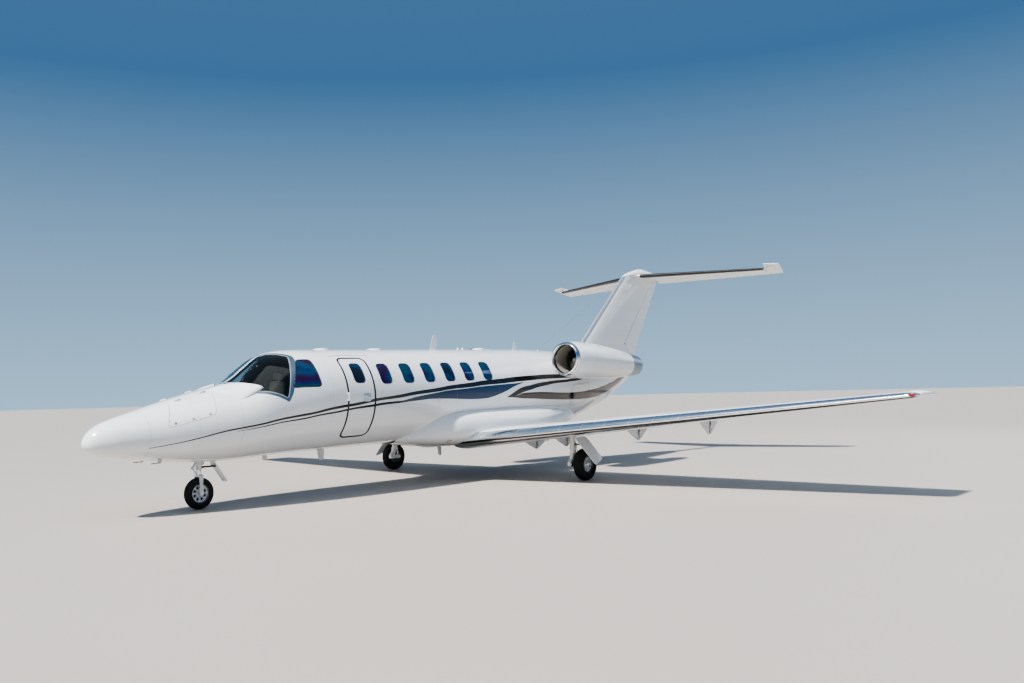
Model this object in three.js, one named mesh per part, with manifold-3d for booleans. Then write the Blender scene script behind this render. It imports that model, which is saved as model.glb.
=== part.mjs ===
// A twin-engined business jet with a straight low wing and a T-tail, parked on its landing gear.
// Millimetres. +X points to the left wing tip, +Y aft, +Z up. The origin lies on the ground,
// under the middle of the length and span. Heights along the body are given at stations,
// which are metres aft of the nose tip.

import * as THREE from 'three';
import { mergeVertices } from 'three/addons/utils/BufferGeometryUtils.js';
import Module from 'manifold-3d';

const wasm = await Module();
wasm.setup();

// Driving dimensions
const LENGTH = 15600;
const WING_TIP_X = 8130;
const BARREL_RADIUS = 820;
const BODY_PITCH = 0.021;          // the body stands slightly nose down, radians
const JOINT_GAP = 0.4;             // between two fixed pieces that touch
const MOVE_GAP = 7;                // around every piece that moves
const CABIN_WALL = 80;             // skin, frames and lining together
const COCKPIT_WALL = 60;
const BAY_WALL = 25;
const OUTER_POINTS = 28;
const INNER_POINTS = 16;

const NOSE_WHEEL = { y: 1.727, radius: 228.5, width: 110 };
const MAIN_WHEEL = { x: 2470, y: 7.958, radius: 280, width: 165 };

// Where the body is split, in stations
const RADOME_END = 0.75;
const NOSE_END = 2.05;
const COCKPIT_END = 3.62;
const CABIN_END = 9.2;
const BODY_END = 13.85;

const station = (metres) => metres * 1000 - LENGTH / 2;

const COLOURS = {
  paint: { color: 0xeef0f0, roughness: 0.25, metalness: 0.0 },
  dark_metal: { color: 0x55585c, roughness: 0.4, metalness: 0.9 },
  gear_white: { color: 0xe4e6e6, roughness: 0.4, metalness: 0.0 },
  tyre: { color: 0x1b1b1c, roughness: 0.85, metalness: 0.0 },
  glass: { color: 0x1d2a33, roughness: 0.05, metalness: 0.1 },
  leather: { color: 0xb9ab97, roughness: 0.6, metalness: 0.0 },
  panel: { color: 0x2d3130, roughness: 0.7, metalness: 0.0 },
  carpet: { color: 0x6e675e, roughness: 0.95, metalness: 0.0 },
};
const MATERIALS = Object.fromEntries(
  Object.entries(COLOURS).map(([key, values]) => [key, new THREE.MeshStandardMaterial(values)]),
);

// Tools that turn geometries into solids and back

function solid(geometry, matrix) {
  const shape = geometry.clone();
  shape.deleteAttribute('normal');
  shape.deleteAttribute('uv');
  if (matrix) shape.applyMatrix4(matrix);
  const merged = mergeVertices(shape, 1e-3);
  const vertProperties = new Float32Array(merged.attributes.position.array);
  const triVerts = new Uint32Array(merged.index.array);
  if (signedVolume(vertProperties, triVerts) < 0) {
    for (let i = 0; i < triVerts.length; i += 3) {
      [triVerts[i], triVerts[i + 1]] = [triVerts[i + 1], triVerts[i]];
    }
  }
  return new wasm.Manifold(new wasm.Mesh({ numProp: 3, vertProperties, triVerts }));
}

function signedVolume(points, triangles) {
  let volume = 0;
  const corner = (k) => new THREE.Vector3().fromArray(points, triangles[k] * 3);
  for (let i = 0; i < triangles.length; i += 3) {
    volume += corner(i).dot(corner(i + 1).cross(corner(i + 2)));
  }
  return volume;
}

function piece(name, body, material) {
  const { vertProperties, triVerts, numProp } = body.getMesh();
  const geometry = new THREE.BufferGeometry();
  const positions = new Float32Array((vertProperties.length / numProp) * 3);
  for (let i = 0; i < positions.length / 3; i += 1) {
    for (let k = 0; k < 3; k += 1) positions[i * 3 + k] = vertProperties[i * numProp + k];
  }
  geometry.setAttribute('position', new THREE.BufferAttribute(positions, 3));
  geometry.setIndex(new THREE.BufferAttribute(new Uint32Array(triVerts), 1));
  geometry.computeVertexNormals();
  const mesh = new THREE.Mesh(geometry, MATERIALS[material]);
  mesh.name = name;
  return mesh;
}

const joined = (...bodies) => bodies.reduce((sum, body) => sum.add(body));

function box(x0, x1, y0, y1, z0, z1, matrix) {
  const shape = new THREE.BoxGeometry(x1 - x0, y1 - y0, z1 - z0);
  shape.translate((x0 + x1) / 2, (y0 + y1) / 2, (z0 + z1) / 2);
  return solid(shape, matrix);
}

// A round bar between two points, with a radius at each end
function bar(from, to, radiusFrom, radiusTo = radiusFrom, sides = 16) {
  const a = new THREE.Vector3(...from);
  const b = new THREE.Vector3(...to);
  const along = b.clone().sub(a);
  const shape = new THREE.CylinderGeometry(radiusTo, radiusFrom, along.length(), sides);
  const turn = new THREE.Quaternion().setFromUnitVectors(new THREE.Vector3(0, 1, 0), along.clone().normalize());
  shape.applyQuaternion(turn);
  shape.translate(...a.add(b).multiplyScalar(0.5).toArray());
  return solid(shape);
}

// A flat plate in an upright plane along Y: an outline of [y, z] points, from one X to another
function plate(outline, x0, x1, matrix) {
  const shape = new THREE.Shape(outline.map(([y, z]) => new THREE.Vector2(y, z)));
  const slab = new THREE.ExtrudeGeometry(shape, { depth: x1 - x0, bevelEnabled: false });
  const lay = new THREE.Matrix4().makeBasis(
    new THREE.Vector3(0, 1, 0), new THREE.Vector3(0, 0, 1), new THREE.Vector3(1, 0, 0),
  ).setPosition(x0, 0, 0);
  return solid(slab, matrix ? matrix.clone().multiply(lay) : lay);
}

// A thin blade with a pointed section, from a root to a tip, each given as front, chord and height
function blade(root, tip, thickness) {
  return loft([root, tip].map(([front, chord, z]) => (
    [[0, 0], [0.35, 1], [1, 0], [0.35, -1]].map(([along, side]) => (
      new THREE.Vector3(side * thickness * 0.5, station(front + along * chord), z)
    ))
  )));
}

// A closed skin over rings of equally many points, capped at both ends
function loft(rings) {
  const count = rings[0].length;
  const points = rings.flat();
  const faces = [];
  for (let r = 0; r < rings.length - 1; r += 1) {
    for (let i = 0; i < count; i += 1) {
      const j = (i + 1) % count;
      const [a, b, c, d] = [r * count + i, r * count + j, (r + 1) * count + i, (r + 1) * count + j];
      faces.push(a, b, d, a, d, c);
    }
  }
  for (const [start, flip] of [[0, false], [(rings.length - 1) * count, true]]) {
    const centre = points.length;
    const middle = new THREE.Vector3();
    for (let i = 0; i < count; i += 1) middle.addScaledVector(points[start + i], 1 / count);
    points.push(middle);
    for (let i = 0; i < count; i += 1) {
      const [a, b] = [start + i, start + ((i + 1) % count)];
      if (flip) faces.push(centre, a, b);
      else faces.push(centre, b, a);
    }
  }
  const geometry = new THREE.BufferGeometry().setFromPoints(points);
  geometry.setIndex(faces);
  return solid(geometry);
}

// The value of one column of a table of stations, smooth between its rows
function alongTable(table, column, at) {
  const last = table.length - 1;
  let k = table.findIndex((row) => row[0] > at) - 1;
  if (k < 0) k = at <= table[0][0] ? 0 : last - 1;
  const slope = (i) => {
    const [low, high] = [table[Math.max(i - 1, 0)], table[Math.min(i + 1, last)]];
    return (high[column] - low[column]) / (high[0] - low[0]);
  };
  const [p, q] = [table[k], table[k + 1]];
  const span = q[0] - p[0];
  const t = Math.min(Math.max((at - p[0]) / span, 0), 1);
  const [t2, t3] = [t * t, t * t * t];
  return (2 * t3 - 3 * t2 + 1) * p[column] + (t3 - 2 * t2 + t) * span * slope(k)
    + (3 * t2 - 2 * t3) * q[column] + (t3 - t2) * span * slope(k + 1);
}

// The body skin: station, top, bottom, half width, height of the widest point, all in metres
const BODY = [
  [0.00, 1.062, 1.008, 0.028, 1.035],
  [0.02, 1.105, 0.970, 0.075, 1.037],
  [0.08, 1.190, 0.915, 0.155, 1.045],
  [0.20, 1.276, 0.862, 0.235, 1.058],
  [0.40, 1.358, 0.815, 0.325, 1.072],
  [0.75, 1.462, 0.772, 0.425, 1.092],
  [1.10, 1.565, 0.722, 0.515, 1.115],
  [1.50, 1.672, 0.690, 0.600, 1.150],
  [1.90, 1.765, 0.672, 0.672, 1.200],
  [2.10, 1.806, 0.670, 0.704, 1.235],
  [2.30, 1.910, 0.674, 0.731, 1.285],
  [2.50, 2.062, 0.682, 0.756, 1.340],
  [2.75, 2.232, 0.693, 0.779, 1.400],
  [3.00, 2.312, 0.702, 0.797, 1.450],
  [3.30, 2.347, 0.711, 0.812, 1.495],
  [3.62, 2.357, 0.717, 0.820, 1.537],
  [4.40, 2.373, 0.733, 0.820, 1.553],
  [9.20, 2.474, 0.834, 0.820, 1.654],
  [10.0, 2.468, 0.880, 0.800, 1.690],
  [10.8, 2.445, 0.985, 0.735, 1.750],
  [11.4, 2.430, 1.128, 0.655, 1.820],
  [12.0, 2.420, 1.305, 0.550, 1.900],
  [12.7, 2.420, 1.590, 0.420, 2.030],
  [13.3, 2.415, 1.850, 0.270, 2.160],
  [13.65, 2.325, 2.055, 0.150, 2.205],
  [13.85, 2.225, 2.165, 0.030, 2.195],
];

// A point of the body skin at a station and an angle up from the left side
function skinPoint(at, angle, outward = 0) {
  const [top, bottom, half, middle] = [1, 2, 3, 4].map((column) => alongTable(BODY, column, at) * 1000);
  const rise = Math.sin(angle) > 0 ? top - middle : middle - bottom;
  const point = new THREE.Vector3(half * Math.cos(angle), station(at), middle + rise * Math.sin(angle));
  if (outward === 0) return point;
  const normal = new THREE.Vector3(Math.cos(angle) / half, 0, Math.sin(angle) / rise).normalize();
  return point.addScaledVector(normal, outward);
}

// The solid inside the body skin between two stations, moved in by an inset
function bodySolid(from, to, inset = 0) {
  const stations = [from, ...BODY.map((row) => row[0]).filter((s) => s > from + 0.01 && s < to - 0.01), to];
  const rings = stations.map((at) => {
    const ring = [];
    const count = inset > 5 ? INNER_POINTS : OUTER_POINTS;
    for (let i = 0; i < count; i += 1) ring.push(skinPoint(at, (i / count) * 2 * Math.PI, -inset));
    return ring;
  });
  return loft(rings);
}

// A rounded outline through corners, given as [station, angle in degrees]. Long edges get extra
// points, no further apart than the reach in metres, so that they follow the skin.
function skinOutline(corners, radius, { steps = 2, reach = 0.2 } = {}) {
  const scale = (BARREL_RADIUS / 1000) * (Math.PI / 180);
  const flat = corners.map(([at, degrees]) => new THREE.Vector2(at, degrees * scale));
  const points = [];
  flat.forEach((corner, i) => {
    const next = flat[(i + 1) % flat.length];
    const towards = (from, other) => other.clone().sub(from).setLength(radius / 1000).add(from);
    const before = towards(corner, flat[(i + flat.length - 1) % flat.length]);
    const after = towards(corner, next);
    points.push(...new THREE.QuadraticBezierCurve(before, corner, after).getPoints(steps));
    const end = towards(next, corner);
    const parts = Math.ceil(after.distanceTo(end) / reach);
    for (let k = 1; k < parts; k += 1) points.push(after.clone().lerp(end, k / parts));
  });
  return points.map((p) => [p.x, p.y / scale]);
}

// A patch that follows the body skin inside an outline, between the first and last of its depths.
// Depths count outward from the skin, and a grow value widens the outline all round.
function skinPatch(outline, depths, { grow = 0, side = 1, rings = 3 } = {}) {
  const scale = (BARREL_RADIUS / 1000) * (Math.PI / 180);
  const flat = outline.map(([at, degrees]) => new THREE.Vector2(at, degrees * scale));
  const middle = flat.reduce((sum, p) => sum.add(p), new THREE.Vector2()).multiplyScalar(1 / flat.length);
  const edge = flat.map((p, i) => {
    const along = flat[(i + 1) % flat.length].clone().sub(flat[(i + flat.length - 1) % flat.length]).normalize();
    const outward = new THREE.Vector2(along.y, -along.x);
    if (outward.dot(p.clone().sub(middle)) < 0) outward.negate();
    return p.clone().addScaledVector(outward, grow / 1000);
  });
  const place = (p, depth) => {
    const q = skinPoint(p.x, (p.y / scale) * (Math.PI / 180), depth);
    q.x *= side;
    return q;
  };
  const count = edge.length;
  const points = [];
  const faces = [];
  // The inner and the outer face, as rings round a middle point
  const ends = [depths[0], depths[depths.length - 1]].map((depth, upper) => {
    const start = points.length;
    points.push(place(middle, depth));
    for (let r = 1; r <= rings; r += 1) {
      for (const p of edge) points.push(place(p.clone().sub(middle).multiplyScalar(r / rings).add(middle), depth));
    }
    const at = (r, k) => start + 1 + r * count + (k % count);
    const add = (a, b, c) => (upper ? faces.push(a, b, c) : faces.push(a, c, b));
    for (let i = 0; i < count; i += 1) {
      add(start, at(0, i), at(0, i + 1));
      for (let r = 0; r < rings - 1; r += 1) {
        add(at(r, i), at(r + 1, i + 1), at(r, i + 1));
        add(at(r, i), at(r + 1, i), at(r + 1, i + 1));
      }
    }
    return (k) => at(rings - 1, k);
  });
  // The edge wall, one band from each depth to the next
  const levels = depths.map((depth, d) => {
    if (d === 0) return ends[0];
    if (d === depths.length - 1) return ends[1];
    const start = points.length;
    for (const p of edge) points.push(place(p, depth));
    return (k) => start + (k % count);
  });
  for (let d = 0; d < levels.length - 1; d += 1) {
    const [low, high] = [levels[d], levels[d + 1]];
    for (let i = 0; i < count; i += 1) {
      faces.push(low(i), low(i + 1), high(i + 1), low(i), high(i + 1), high(i));
    }
  }
  const geometry = new THREE.BufferGeometry().setFromPoints(points);
  geometry.setIndex(faces);
  return solid(geometry);
}

// What cuts an opening for a panel. Given the depths of a pane that fits closely, its edge matches
// the pane's edge.
const CUT_DEPTH = [-140, 60];
function opening(outline, depths, { grow = 0, side = 1, rings = 1 } = {}) {
  return skinPatch(outline, [CUT_DEPTH[0], ...depths, CUT_DEPTH[1]], { grow, side, rings });
}

// A wing section: chord fraction and height over the chord line, from the trailing edge over the
// top to the nose and back below
function sectionPoints(thickness, camber, steps = 7) {
  const half = (x) => 5 * thickness * (0.2969 * Math.sqrt(x) - 0.126 * x - 0.3516 * x * x
    + 0.2843 * x ** 3 - 0.1015 * x ** 4);
  const line = (x) => 4 * camber * x * (1 - x);
  const points = [];
  for (let i = 0; i <= steps; i += 1) {
    const x = 0.5 * (1 + Math.cos((Math.PI * i) / steps));
    points.push([x, line(x) + half(x) + 0.001]);
  }
  for (let i = 1; i <= steps; i += 1) {
    const x = 0.5 * (1 - Math.cos((Math.PI * i) / steps));
    points.push([x, line(x) - half(x) - 0.001]);
  }
  return points;
}

// A flying surface lofted over ribs. Each rib has its leading edge point, chord, thickness and
// camber fractions; across is the direction of its height.
function flyingSurface(ribs, across, steps = 7) {
  return loft(ribs.map(({ edge, chord, thickness, camber = 0 }) => (
    sectionPoints(thickness, camber, steps).map(([x, h]) => (
      new THREE.Vector3(...edge).add(new THREE.Vector3(0, x * chord, 0)).addScaledVector(across, h * chord)
    ))
  )));
}

// Cuts a hinged surface out of a wing. The hinge runs from one point to another, radii are those
// of the round nose at its two ends.
function hingedSurface(wing, from, to, radii, flatNose = 0) {
  const start = new THREE.Vector3(...from);
  const along = new THREE.Vector3(...to).sub(start);
  const length = along.length();
  const x = along.clone().normalize();
  const aft = new THREE.Vector3(0, 1, 0);
  const y = aft.clone().addScaledVector(x, -aft.dot(x)).normalize();
  const z = new THREE.Vector3().crossVectors(x, y);
  const frame = new THREE.Matrix4().makeBasis(x, y, z).setPosition(start);
  const reach = (gap) => {
    const behind = box(-gap, length + gap, -flatNose - gap, 1200, -700, 700, frame);
    if (flatNose > 0) return behind;
    const point = (s) => start.clone().addScaledVector(x, s).toArray();
    const nose = bar(point(-gap), point(length + gap), radii[0] + gap, radii[1] + gap, 16);
    return joined(box(-gap, length + gap, -gap / 2, 1200, -700, 700, frame), nose);
  };
  const pinReach = MOVE_GAP - JOINT_GAP;
  const pin = bar(
    start.clone().addScaledVector(x, -pinReach).toArray(),
    start.clone().addScaledVector(x, length + pinReach).toArray(),
    12,
    12,
    12,
  );
  const surface = wing.intersect(reach(0));
  return { surface: flatNose > 0 ? surface : surface.add(pin), rest: wing.subtract(reach(MOVE_GAP)), frame, length };
}

const plane = new THREE.Group();

// Radome: a hollow shell, open at the back
plane.add(piece(
  'nose_radome',
  bodySolid(0, RADOME_END - JOINT_GAP / 1000).subtract(bodySolid(0.06, RADOME_END + 0.1, 12)),
  'paint',
));

// Nose: a baggage bay above a floor, the leg's bay below it, a door in each upper side, and a
// pitot tube on a mast low on each side
const NOSE_DOOR = skinOutline([[0.98, 14], [1.12, 66], [1.79, 70], [1.66, 22]], 60);
const BAY_DOOR_DEPTHS = [-BAY_WALL, -1.5];
const NOSE_FLOOR = { bottom: 1030, top: 1050 };
const LEG_BAY = { half: 110, front: 1.62, back: 1.95, wall: 12 };

// Each nose door hinges along its top edge, on two knuckles just outside the skin, each beside a
// knuckle of the shell
const NOSE_HINGE = [[1.26, 69], [1.66, 72]];
const KNUCKLE = { radius: 12.6, half: 30, foot: 7, footAngle: 5.5, footDepth: 9 };
const noseHinge = NOSE_HINGE.map(([at, degrees]) => skinPoint(at, degrees * (Math.PI / 180), KNUCKLE.radius + JOINT_GAP));
function noseKnuckles(owner) {
  const along = noseHinge[1].clone().sub(noseHinge[0]).normalize();
  const [from, to, turn] = owner === 'door'
    ? [-KNUCKLE.half, KNUCKLE.half, -KNUCKLE.footAngle]
    : [KNUCKLE.half + JOINT_GAP, KNUCKLE.half + 30, KNUCKLE.footAngle];
  return joined(...NOSE_HINGE.map(([at, degrees], k) => {
    const reach = (s) => noseHinge[k].clone().addScaledVector(along, s).toArray();
    const middle = (from + to) / 2;
    const foot = skinPoint(at + middle / 1000, (degrees + turn) * (Math.PI / 180), -KNUCKLE.footDepth).toArray();
    return bar(reach(from), reach(to), KNUCKLE.radius, KNUCKLE.radius, 8).add(bar(reach(middle), foot, KNUCKLE.foot, KNUCKLE.foot, 6));
  }));
}
// A box round the leg's bay, widened by a wall and open below
const legBayBox = (wall, top) => box(
  -LEG_BAY.half - wall, LEG_BAY.half + wall,
  station(LEG_BAY.front) - wall, station(LEG_BAY.back) + wall, 500, top,
);
function noseShell() {
  const floor = box(-900, 900, station(RADOME_END), station(NOSE_END), NOSE_FLOOR.bottom, NOSE_FLOOR.top);
  const hollow = bodySolid(RADOME_END + 0.03, NOSE_END - 0.03, BAY_WALL)
    .subtract(floor).subtract(legBayBox(LEG_BAY.wall, NOSE_FLOOR.bottom));
  const lighteningHole = box(-90, 90, station(LEG_BAY.front) - 50, station(LEG_BAY.front) + 50, 820, 960);
  let shell = bodySolid(RADOME_END, NOSE_END - JOINT_GAP / 1000).subtract(hollow)
    .subtract(legBayBox(0, NOSE_FLOOR.bottom)).subtract(lighteningHole);
  for (const [side, knuckles] of [[1, noseKnuckles('shell')], [-1, mirrored(noseKnuckles('shell'))]]) {
    shell = shell.subtract(opening(NOSE_DOOR, [], { grow: MOVE_GAP, side, rings: 2 })).add(knuckles);
  }
  return joined(shell, pitot(1), pitot(-1), hotAirNozzle(1, 'front'), hotAirNozzle(-1, 'front'));
}
const PITOT = { x: 250, z: 727, tip: 0.84, mast: 0.94, radius: 8 };
function pitot(side) {
  const x = side * PITOT.x;
  return joined(
    box(x - 5, x + 5, station(PITOT.mast), station(PITOT.mast) + 55, PITOT.z, 830),
    bar([x, station(PITOT.tip), PITOT.z], [x, station(PITOT.mast) + 50, PITOT.z], 4, PITOT.radius, 6),
  );
}

// The raised hot-air nozzle before each windshield, on the skin between two angles. It starts
// flush and ends in a lip that hangs over its open mouth. A row: station of the foot, station of
// the lip, height.
const NOZZLE = { low: 35, high: 73, wall: 5, mouth: 2.16, sink: 12 };
const NOZZLE_ROWS = [
  [1.86, 1.86, 1],
  [1.95, 1.95, 24],
  [2.05, 2.05, 44],
  [2.16, 2.16, 55],
  [2.31, 2.44, 48],
];
const NOZZLE_ARCH = [[0, 0], [0.07, 0.62], [0.2, 0.93], [0.5, 1.06], [0.8, 0.93], [0.93, 0.62], [1, 0]];
function nozzleRing([foot, lip, height], side, shrink, bottom) {
  const angleAt = (s) => (NOZZLE.low + shrink + s * (NOZZLE.high - NOZZLE.low - 2 * shrink)) * (Math.PI / 180);
  const place = (at, s, out) => {
    const q = skinPoint(at, angleAt(s), out);
    q.x *= side;
    return q;
  };
  const arch = NOZZLE_ARCH.map(([s, h]) => place(foot + (lip - foot) * h, s, Math.max(h * height, bottom + 1)));
  const base = [...NOZZLE_ARCH].reverse().map(([s]) => place(foot, s, bottom));
  return [...arch, ...base];
}
function hotAirNozzle(side, half) {
  const rows = half === 'front' ? NOZZLE_ROWS.slice(0, 3) : NOZZLE_ROWS.slice(2);
  const ringAt = (row) => nozzleRing(row, side, 0, -NOZZLE.sink);
  if (half === 'front') {
    rows[2] = [NOSE_END - JOINT_GAP / 1000, NOSE_END - JOINT_GAP / 1000, rows[2][2]];
    return loft(rows.map(ringAt));
  }
  const hollow = [[NOZZLE.mouth, NOZZLE.mouth, 40], [2.31, 2.44, 42], [2.45, 2.58, 42]];
  return loft(rows.map(ringAt)).subtract(loft(hollow.map((row) => nozzleRing(row, side, 1.2, 2))));
}
plane.add(piece('nose_shell', noseShell(), 'paint'));
for (const [name, side] of [['nose_door_left', 1], ['nose_door_right', -1]]) {
  const leaf = skinPatch(NOSE_DOOR, BAY_DOOR_DEPTHS, { side, rings: 2 });
  plane.add(piece(name, leaf.add(side > 0 ? noseKnuckles('door') : mirrored(noseKnuckles('door'))), 'paint'));
}

// Cockpit: two windshields, two side windows and the two raised hot-air nozzles before them
const WINDSHIELD = skinOutline([[2.16, 87.2], [2.74, 87.2], [3.05, 61], [2.78, 12], [2.27, 42]], 45);
const SIDE_WINDOW = skinOutline([[3.14, 53], [3.375, 51.5], [3.40, 17], [2.90, 21]], 55);
const GLASS_DEPTHS = [-26, -10];

// Blade antennas: root and tip, each as front station, chord and height, then the thickness
const BLADES = {
  cockpit_belly: [[2.82, 0.11, 705], [2.85, 0.07, 626], 8],
  cabin_belly: [[3.90, 0.16, 740], [3.94, 0.10, 553], 10],
  cabin_top: [[6.60, 0.19, 2415], [6.70, 0.10, 2700], 12],
  cabin_top_aft: [[9.06, 0.12, 2462], [9.10, 0.085, 2635], 10],
  fairing_belly: [[6.74, 0.12, 640], [6.78, 0.08, 448], 10],
};

const glassRoom = joined(...[1, -1].map((side) => opening(WINDSHIELD, GLASS_DEPTHS, { side, rings: 2 })))
  .intersect(bodySolid(NOSE_END, 3.2, 0));
function cockpitShell() {
  let shell = bodySolid(NOSE_END, COCKPIT_END - JOINT_GAP / 1000)
    .subtract(bodySolid(NOSE_END + 0.03, COCKPIT_END + 0.1, COCKPIT_WALL));
  for (const side of [1, -1]) {
    shell = shell.subtract(opening(WINDSHIELD, GLASS_DEPTHS, { side, rings: 2 }))
      .subtract(opening(SIDE_WINDOW, GLASS_DEPTHS, { side }));
  }
  return joined(shell, hotAirNozzle(1, 'back').subtract(glassRoom), hotAirNozzle(-1, 'back').subtract(glassRoom),
    blade(...BLADES.cockpit_belly));
}
plane.add(piece('cockpit_shell', cockpitShell(), 'paint'));
for (const [tag, side] of [['left', 1], ['right', -1]]) {
  plane.add(piece(`windshield_${tag}`, skinPatch(WINDSHIELD, GLASS_DEPTHS, { grow: -JOINT_GAP, side, rings: 2 }), 'glass'));
  plane.add(piece(`cockpit_window_${tag}`, skinPatch(SIDE_WINDOW, GLASS_DEPTHS, { grow: -JOINT_GAP, side, rings: 2 }), 'glass'));
}

// Cabin: six windows a side, and the entry door at the front of the left side
const WINDOW = { first: 4.665, pitch: 0.516, width: 0.235, low: 16, high: 42, count: 6, skin: 22 };
const PANE_DEPTHS = [-WINDOW.skin - 6, -10];
const DOOR_PANE_DEPTHS = [-26, -10];
const DOOR_DEPTHS = [-CABIN_WALL + 5, -1.5];
WINDOW.last = WINDOW.first + (WINDOW.count - 1) * WINDOW.pitch + WINDOW.width;
const DOOR = { front: 3.922, back: 4.463, low: -47.5, high: 52 };
const DOOR_OUTLINE = skinOutline(
  [[DOOR.front, DOOR.low], [DOOR.front, DOOR.high], [DOOR.back, DOOR.high], [DOOR.back, DOOR.low]], 95,
);
const DOOR_WINDOW = skinOutline([[4.09, 18], [4.09, 43], [4.31, 43], [4.31, 18]], 75, { reach: 0.4 });
const windowOutline = (k) => {
  const front = WINDOW.first + k * WINDOW.pitch;
  const back = front + WINDOW.width;
  return skinOutline([[front, WINDOW.low], [front, WINDOW.high], [back, WINDOW.high], [back, WINDOW.low]], 75, { steps: 1, reach: 0.4 });
};
const WINDOWS = Array.from({ length: WINDOW.count }, (_, k) => windowOutline(k));

const STRIP_OUTLINE = skinOutline([
  [WINDOW.first - 0.05, WINDOW.low - 4], [WINDOW.first - 0.05, WINDOW.high + 4],
  [WINDOW.last + 0.05, WINDOW.high + 4], [WINDOW.last + 0.05, WINDOW.low - 4],
], 40, { reach: 3 });

// A door swings about an upright hinge just outside the skin at its front edge, so its back edge
// lies on a surface turned about that hinge
const HINGE_OUT = 13;
const HINGE_AHEAD = 15;
const hingeOf = (front) => ({ x: skinPoint(front, 0).x + HINGE_OUT, y: station(front) - HINGE_AHEAD });
function doorSweep(door, gap) {
  const hinge = hingeOf(door.front);
  const rim = [];
  for (let degrees = door.low - 12; degrees <= door.high + 12; degrees += 8) {
    const p = skinPoint(door.back, degrees * (Math.PI / 180));
    rim.push(new THREE.Vector2(Math.hypot(p.x - hinge.x, p.y - hinge.y) + gap, p.z));
  }
  const profile = [new THREE.Vector2(0, rim[0].y), ...rim, new THREE.Vector2(0, rim[rim.length - 1].y)];
  const shape = new THREE.LatheGeometry(profile, 72);
  shape.rotateX(Math.PI / 2);
  shape.translate(hinge.x, hinge.y, 0);
  return solid(shape);
}
// The hinge knuckle on a door with the strap that carries it, and the shell's two knuckles above
// and below it
const DOOR_KNUCKLE = { tall: 35, shell: 30 };
function knuckleLevel(door) {
  return skinPoint(door.front, (door.low + door.high) * (Math.PI / 360));
}
function doorKnuckle(door) {
  const hinge = hingeOf(door.front);
  const middle = knuckleLevel(door);
  const [low, high] = [middle.z - DOOR_KNUCKLE.tall, middle.z + DOOR_KNUCKLE.tall];
  return joined(
    bar([hinge.x, hinge.y, low], [hinge.x, hinge.y, high], HINGE_OUT - JOINT_GAP, HINGE_OUT - JOINT_GAP, 12),
    box(middle.x - 17, hinge.x, station(door.front) + 8, station(door.front) + 60, low, high),
    box(hinge.x - HINGE_OUT + 3, hinge.x, hinge.y, station(door.front) + 20, low, high),
  );
}
function shellKnuckles(door) {
  const hinge = hingeOf(door.front);
  const middle = knuckleLevel(door);
  const start = DOOR_KNUCKLE.tall + JOINT_GAP;
  return joined(...[1, -1].map((up) => {
    const [near, far] = [middle.z + up * start, middle.z + up * (start + DOOR_KNUCKLE.shell)];
    const [low, high] = [Math.min(near, far), Math.max(near, far)];
    return bar([hinge.x, hinge.y, low], [hinge.x, hinge.y, high], HINGE_OUT - JOINT_GAP, HINGE_OUT - JOINT_GAP, 12)
      .add(box(middle.x - 17, hinge.x - 2, hinge.y - 24, hinge.y - 4, low, high));
  }));
}

function cabinShell() {
  let shell = bodySolid(COCKPIT_END, CABIN_END - JOINT_GAP / 1000)
    .subtract(bodySolid(COCKPIT_END - 0.1, CABIN_END + 0.1, CABIN_WALL));
  for (const side of [1, -1]) {
    for (const outline of WINDOWS) shell = shell.subtract(opening(outline, PANE_DEPTHS, { side }));
    shell = shell.subtract(skinPatch(STRIP_OUTLINE, [-140, -WINDOW.skin], { side, rings: 1 }));
  }
  const doorway = opening(DOOR_OUTLINE, [], { grow: MOVE_GAP, rings: 3 })
    .intersect(doorSweep(DOOR, MOVE_GAP));
  return joined(
    shell.subtract(doorway), shellKnuckles(DOOR),
    blade(...BLADES.cabin_belly), blade(...BLADES.cabin_top), blade(...BLADES.cabin_top_aft),
  );
}
plane.add(piece('cabin_shell', cabinShell(), 'paint'));

function cabinDoor() {
  const leaf = skinPatch(DOOR_OUTLINE, DOOR_DEPTHS, { rings: 3 }).intersect(doorSweep(DOOR, 0));
  return leaf.add(doorKnuckle(DOOR)).subtract(opening(DOOR_WINDOW, DOOR_PANE_DEPTHS));
}
plane.add(piece('cabin_door', cabinDoor(), 'paint'));
plane.add(piece('door_window', skinPatch(DOOR_WINDOW, DOOR_PANE_DEPTHS, { grow: -JOINT_GAP, rings: 1 }), 'glass'));

// Cabin windows: six panes on one strip that lies in a recess of the wall
function windowRow(side) {
  const strip = skinPatch(STRIP_OUTLINE, [-WINDOW.skin - 12, -WINDOW.skin - JOINT_GAP], { grow: -JOINT_GAP, side, rings: 1 });
  const panes = WINDOWS.map((outline) => skinPatch(outline, PANE_DEPTHS, { grow: -JOINT_GAP, side, rings: 1 }));
  return joined(strip, ...panes);
}
plane.add(piece('cabin_windows_left', windowRow(1), 'glass'));
plane.add(piece('cabin_windows_right', windowRow(-1), 'glass'));

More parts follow.
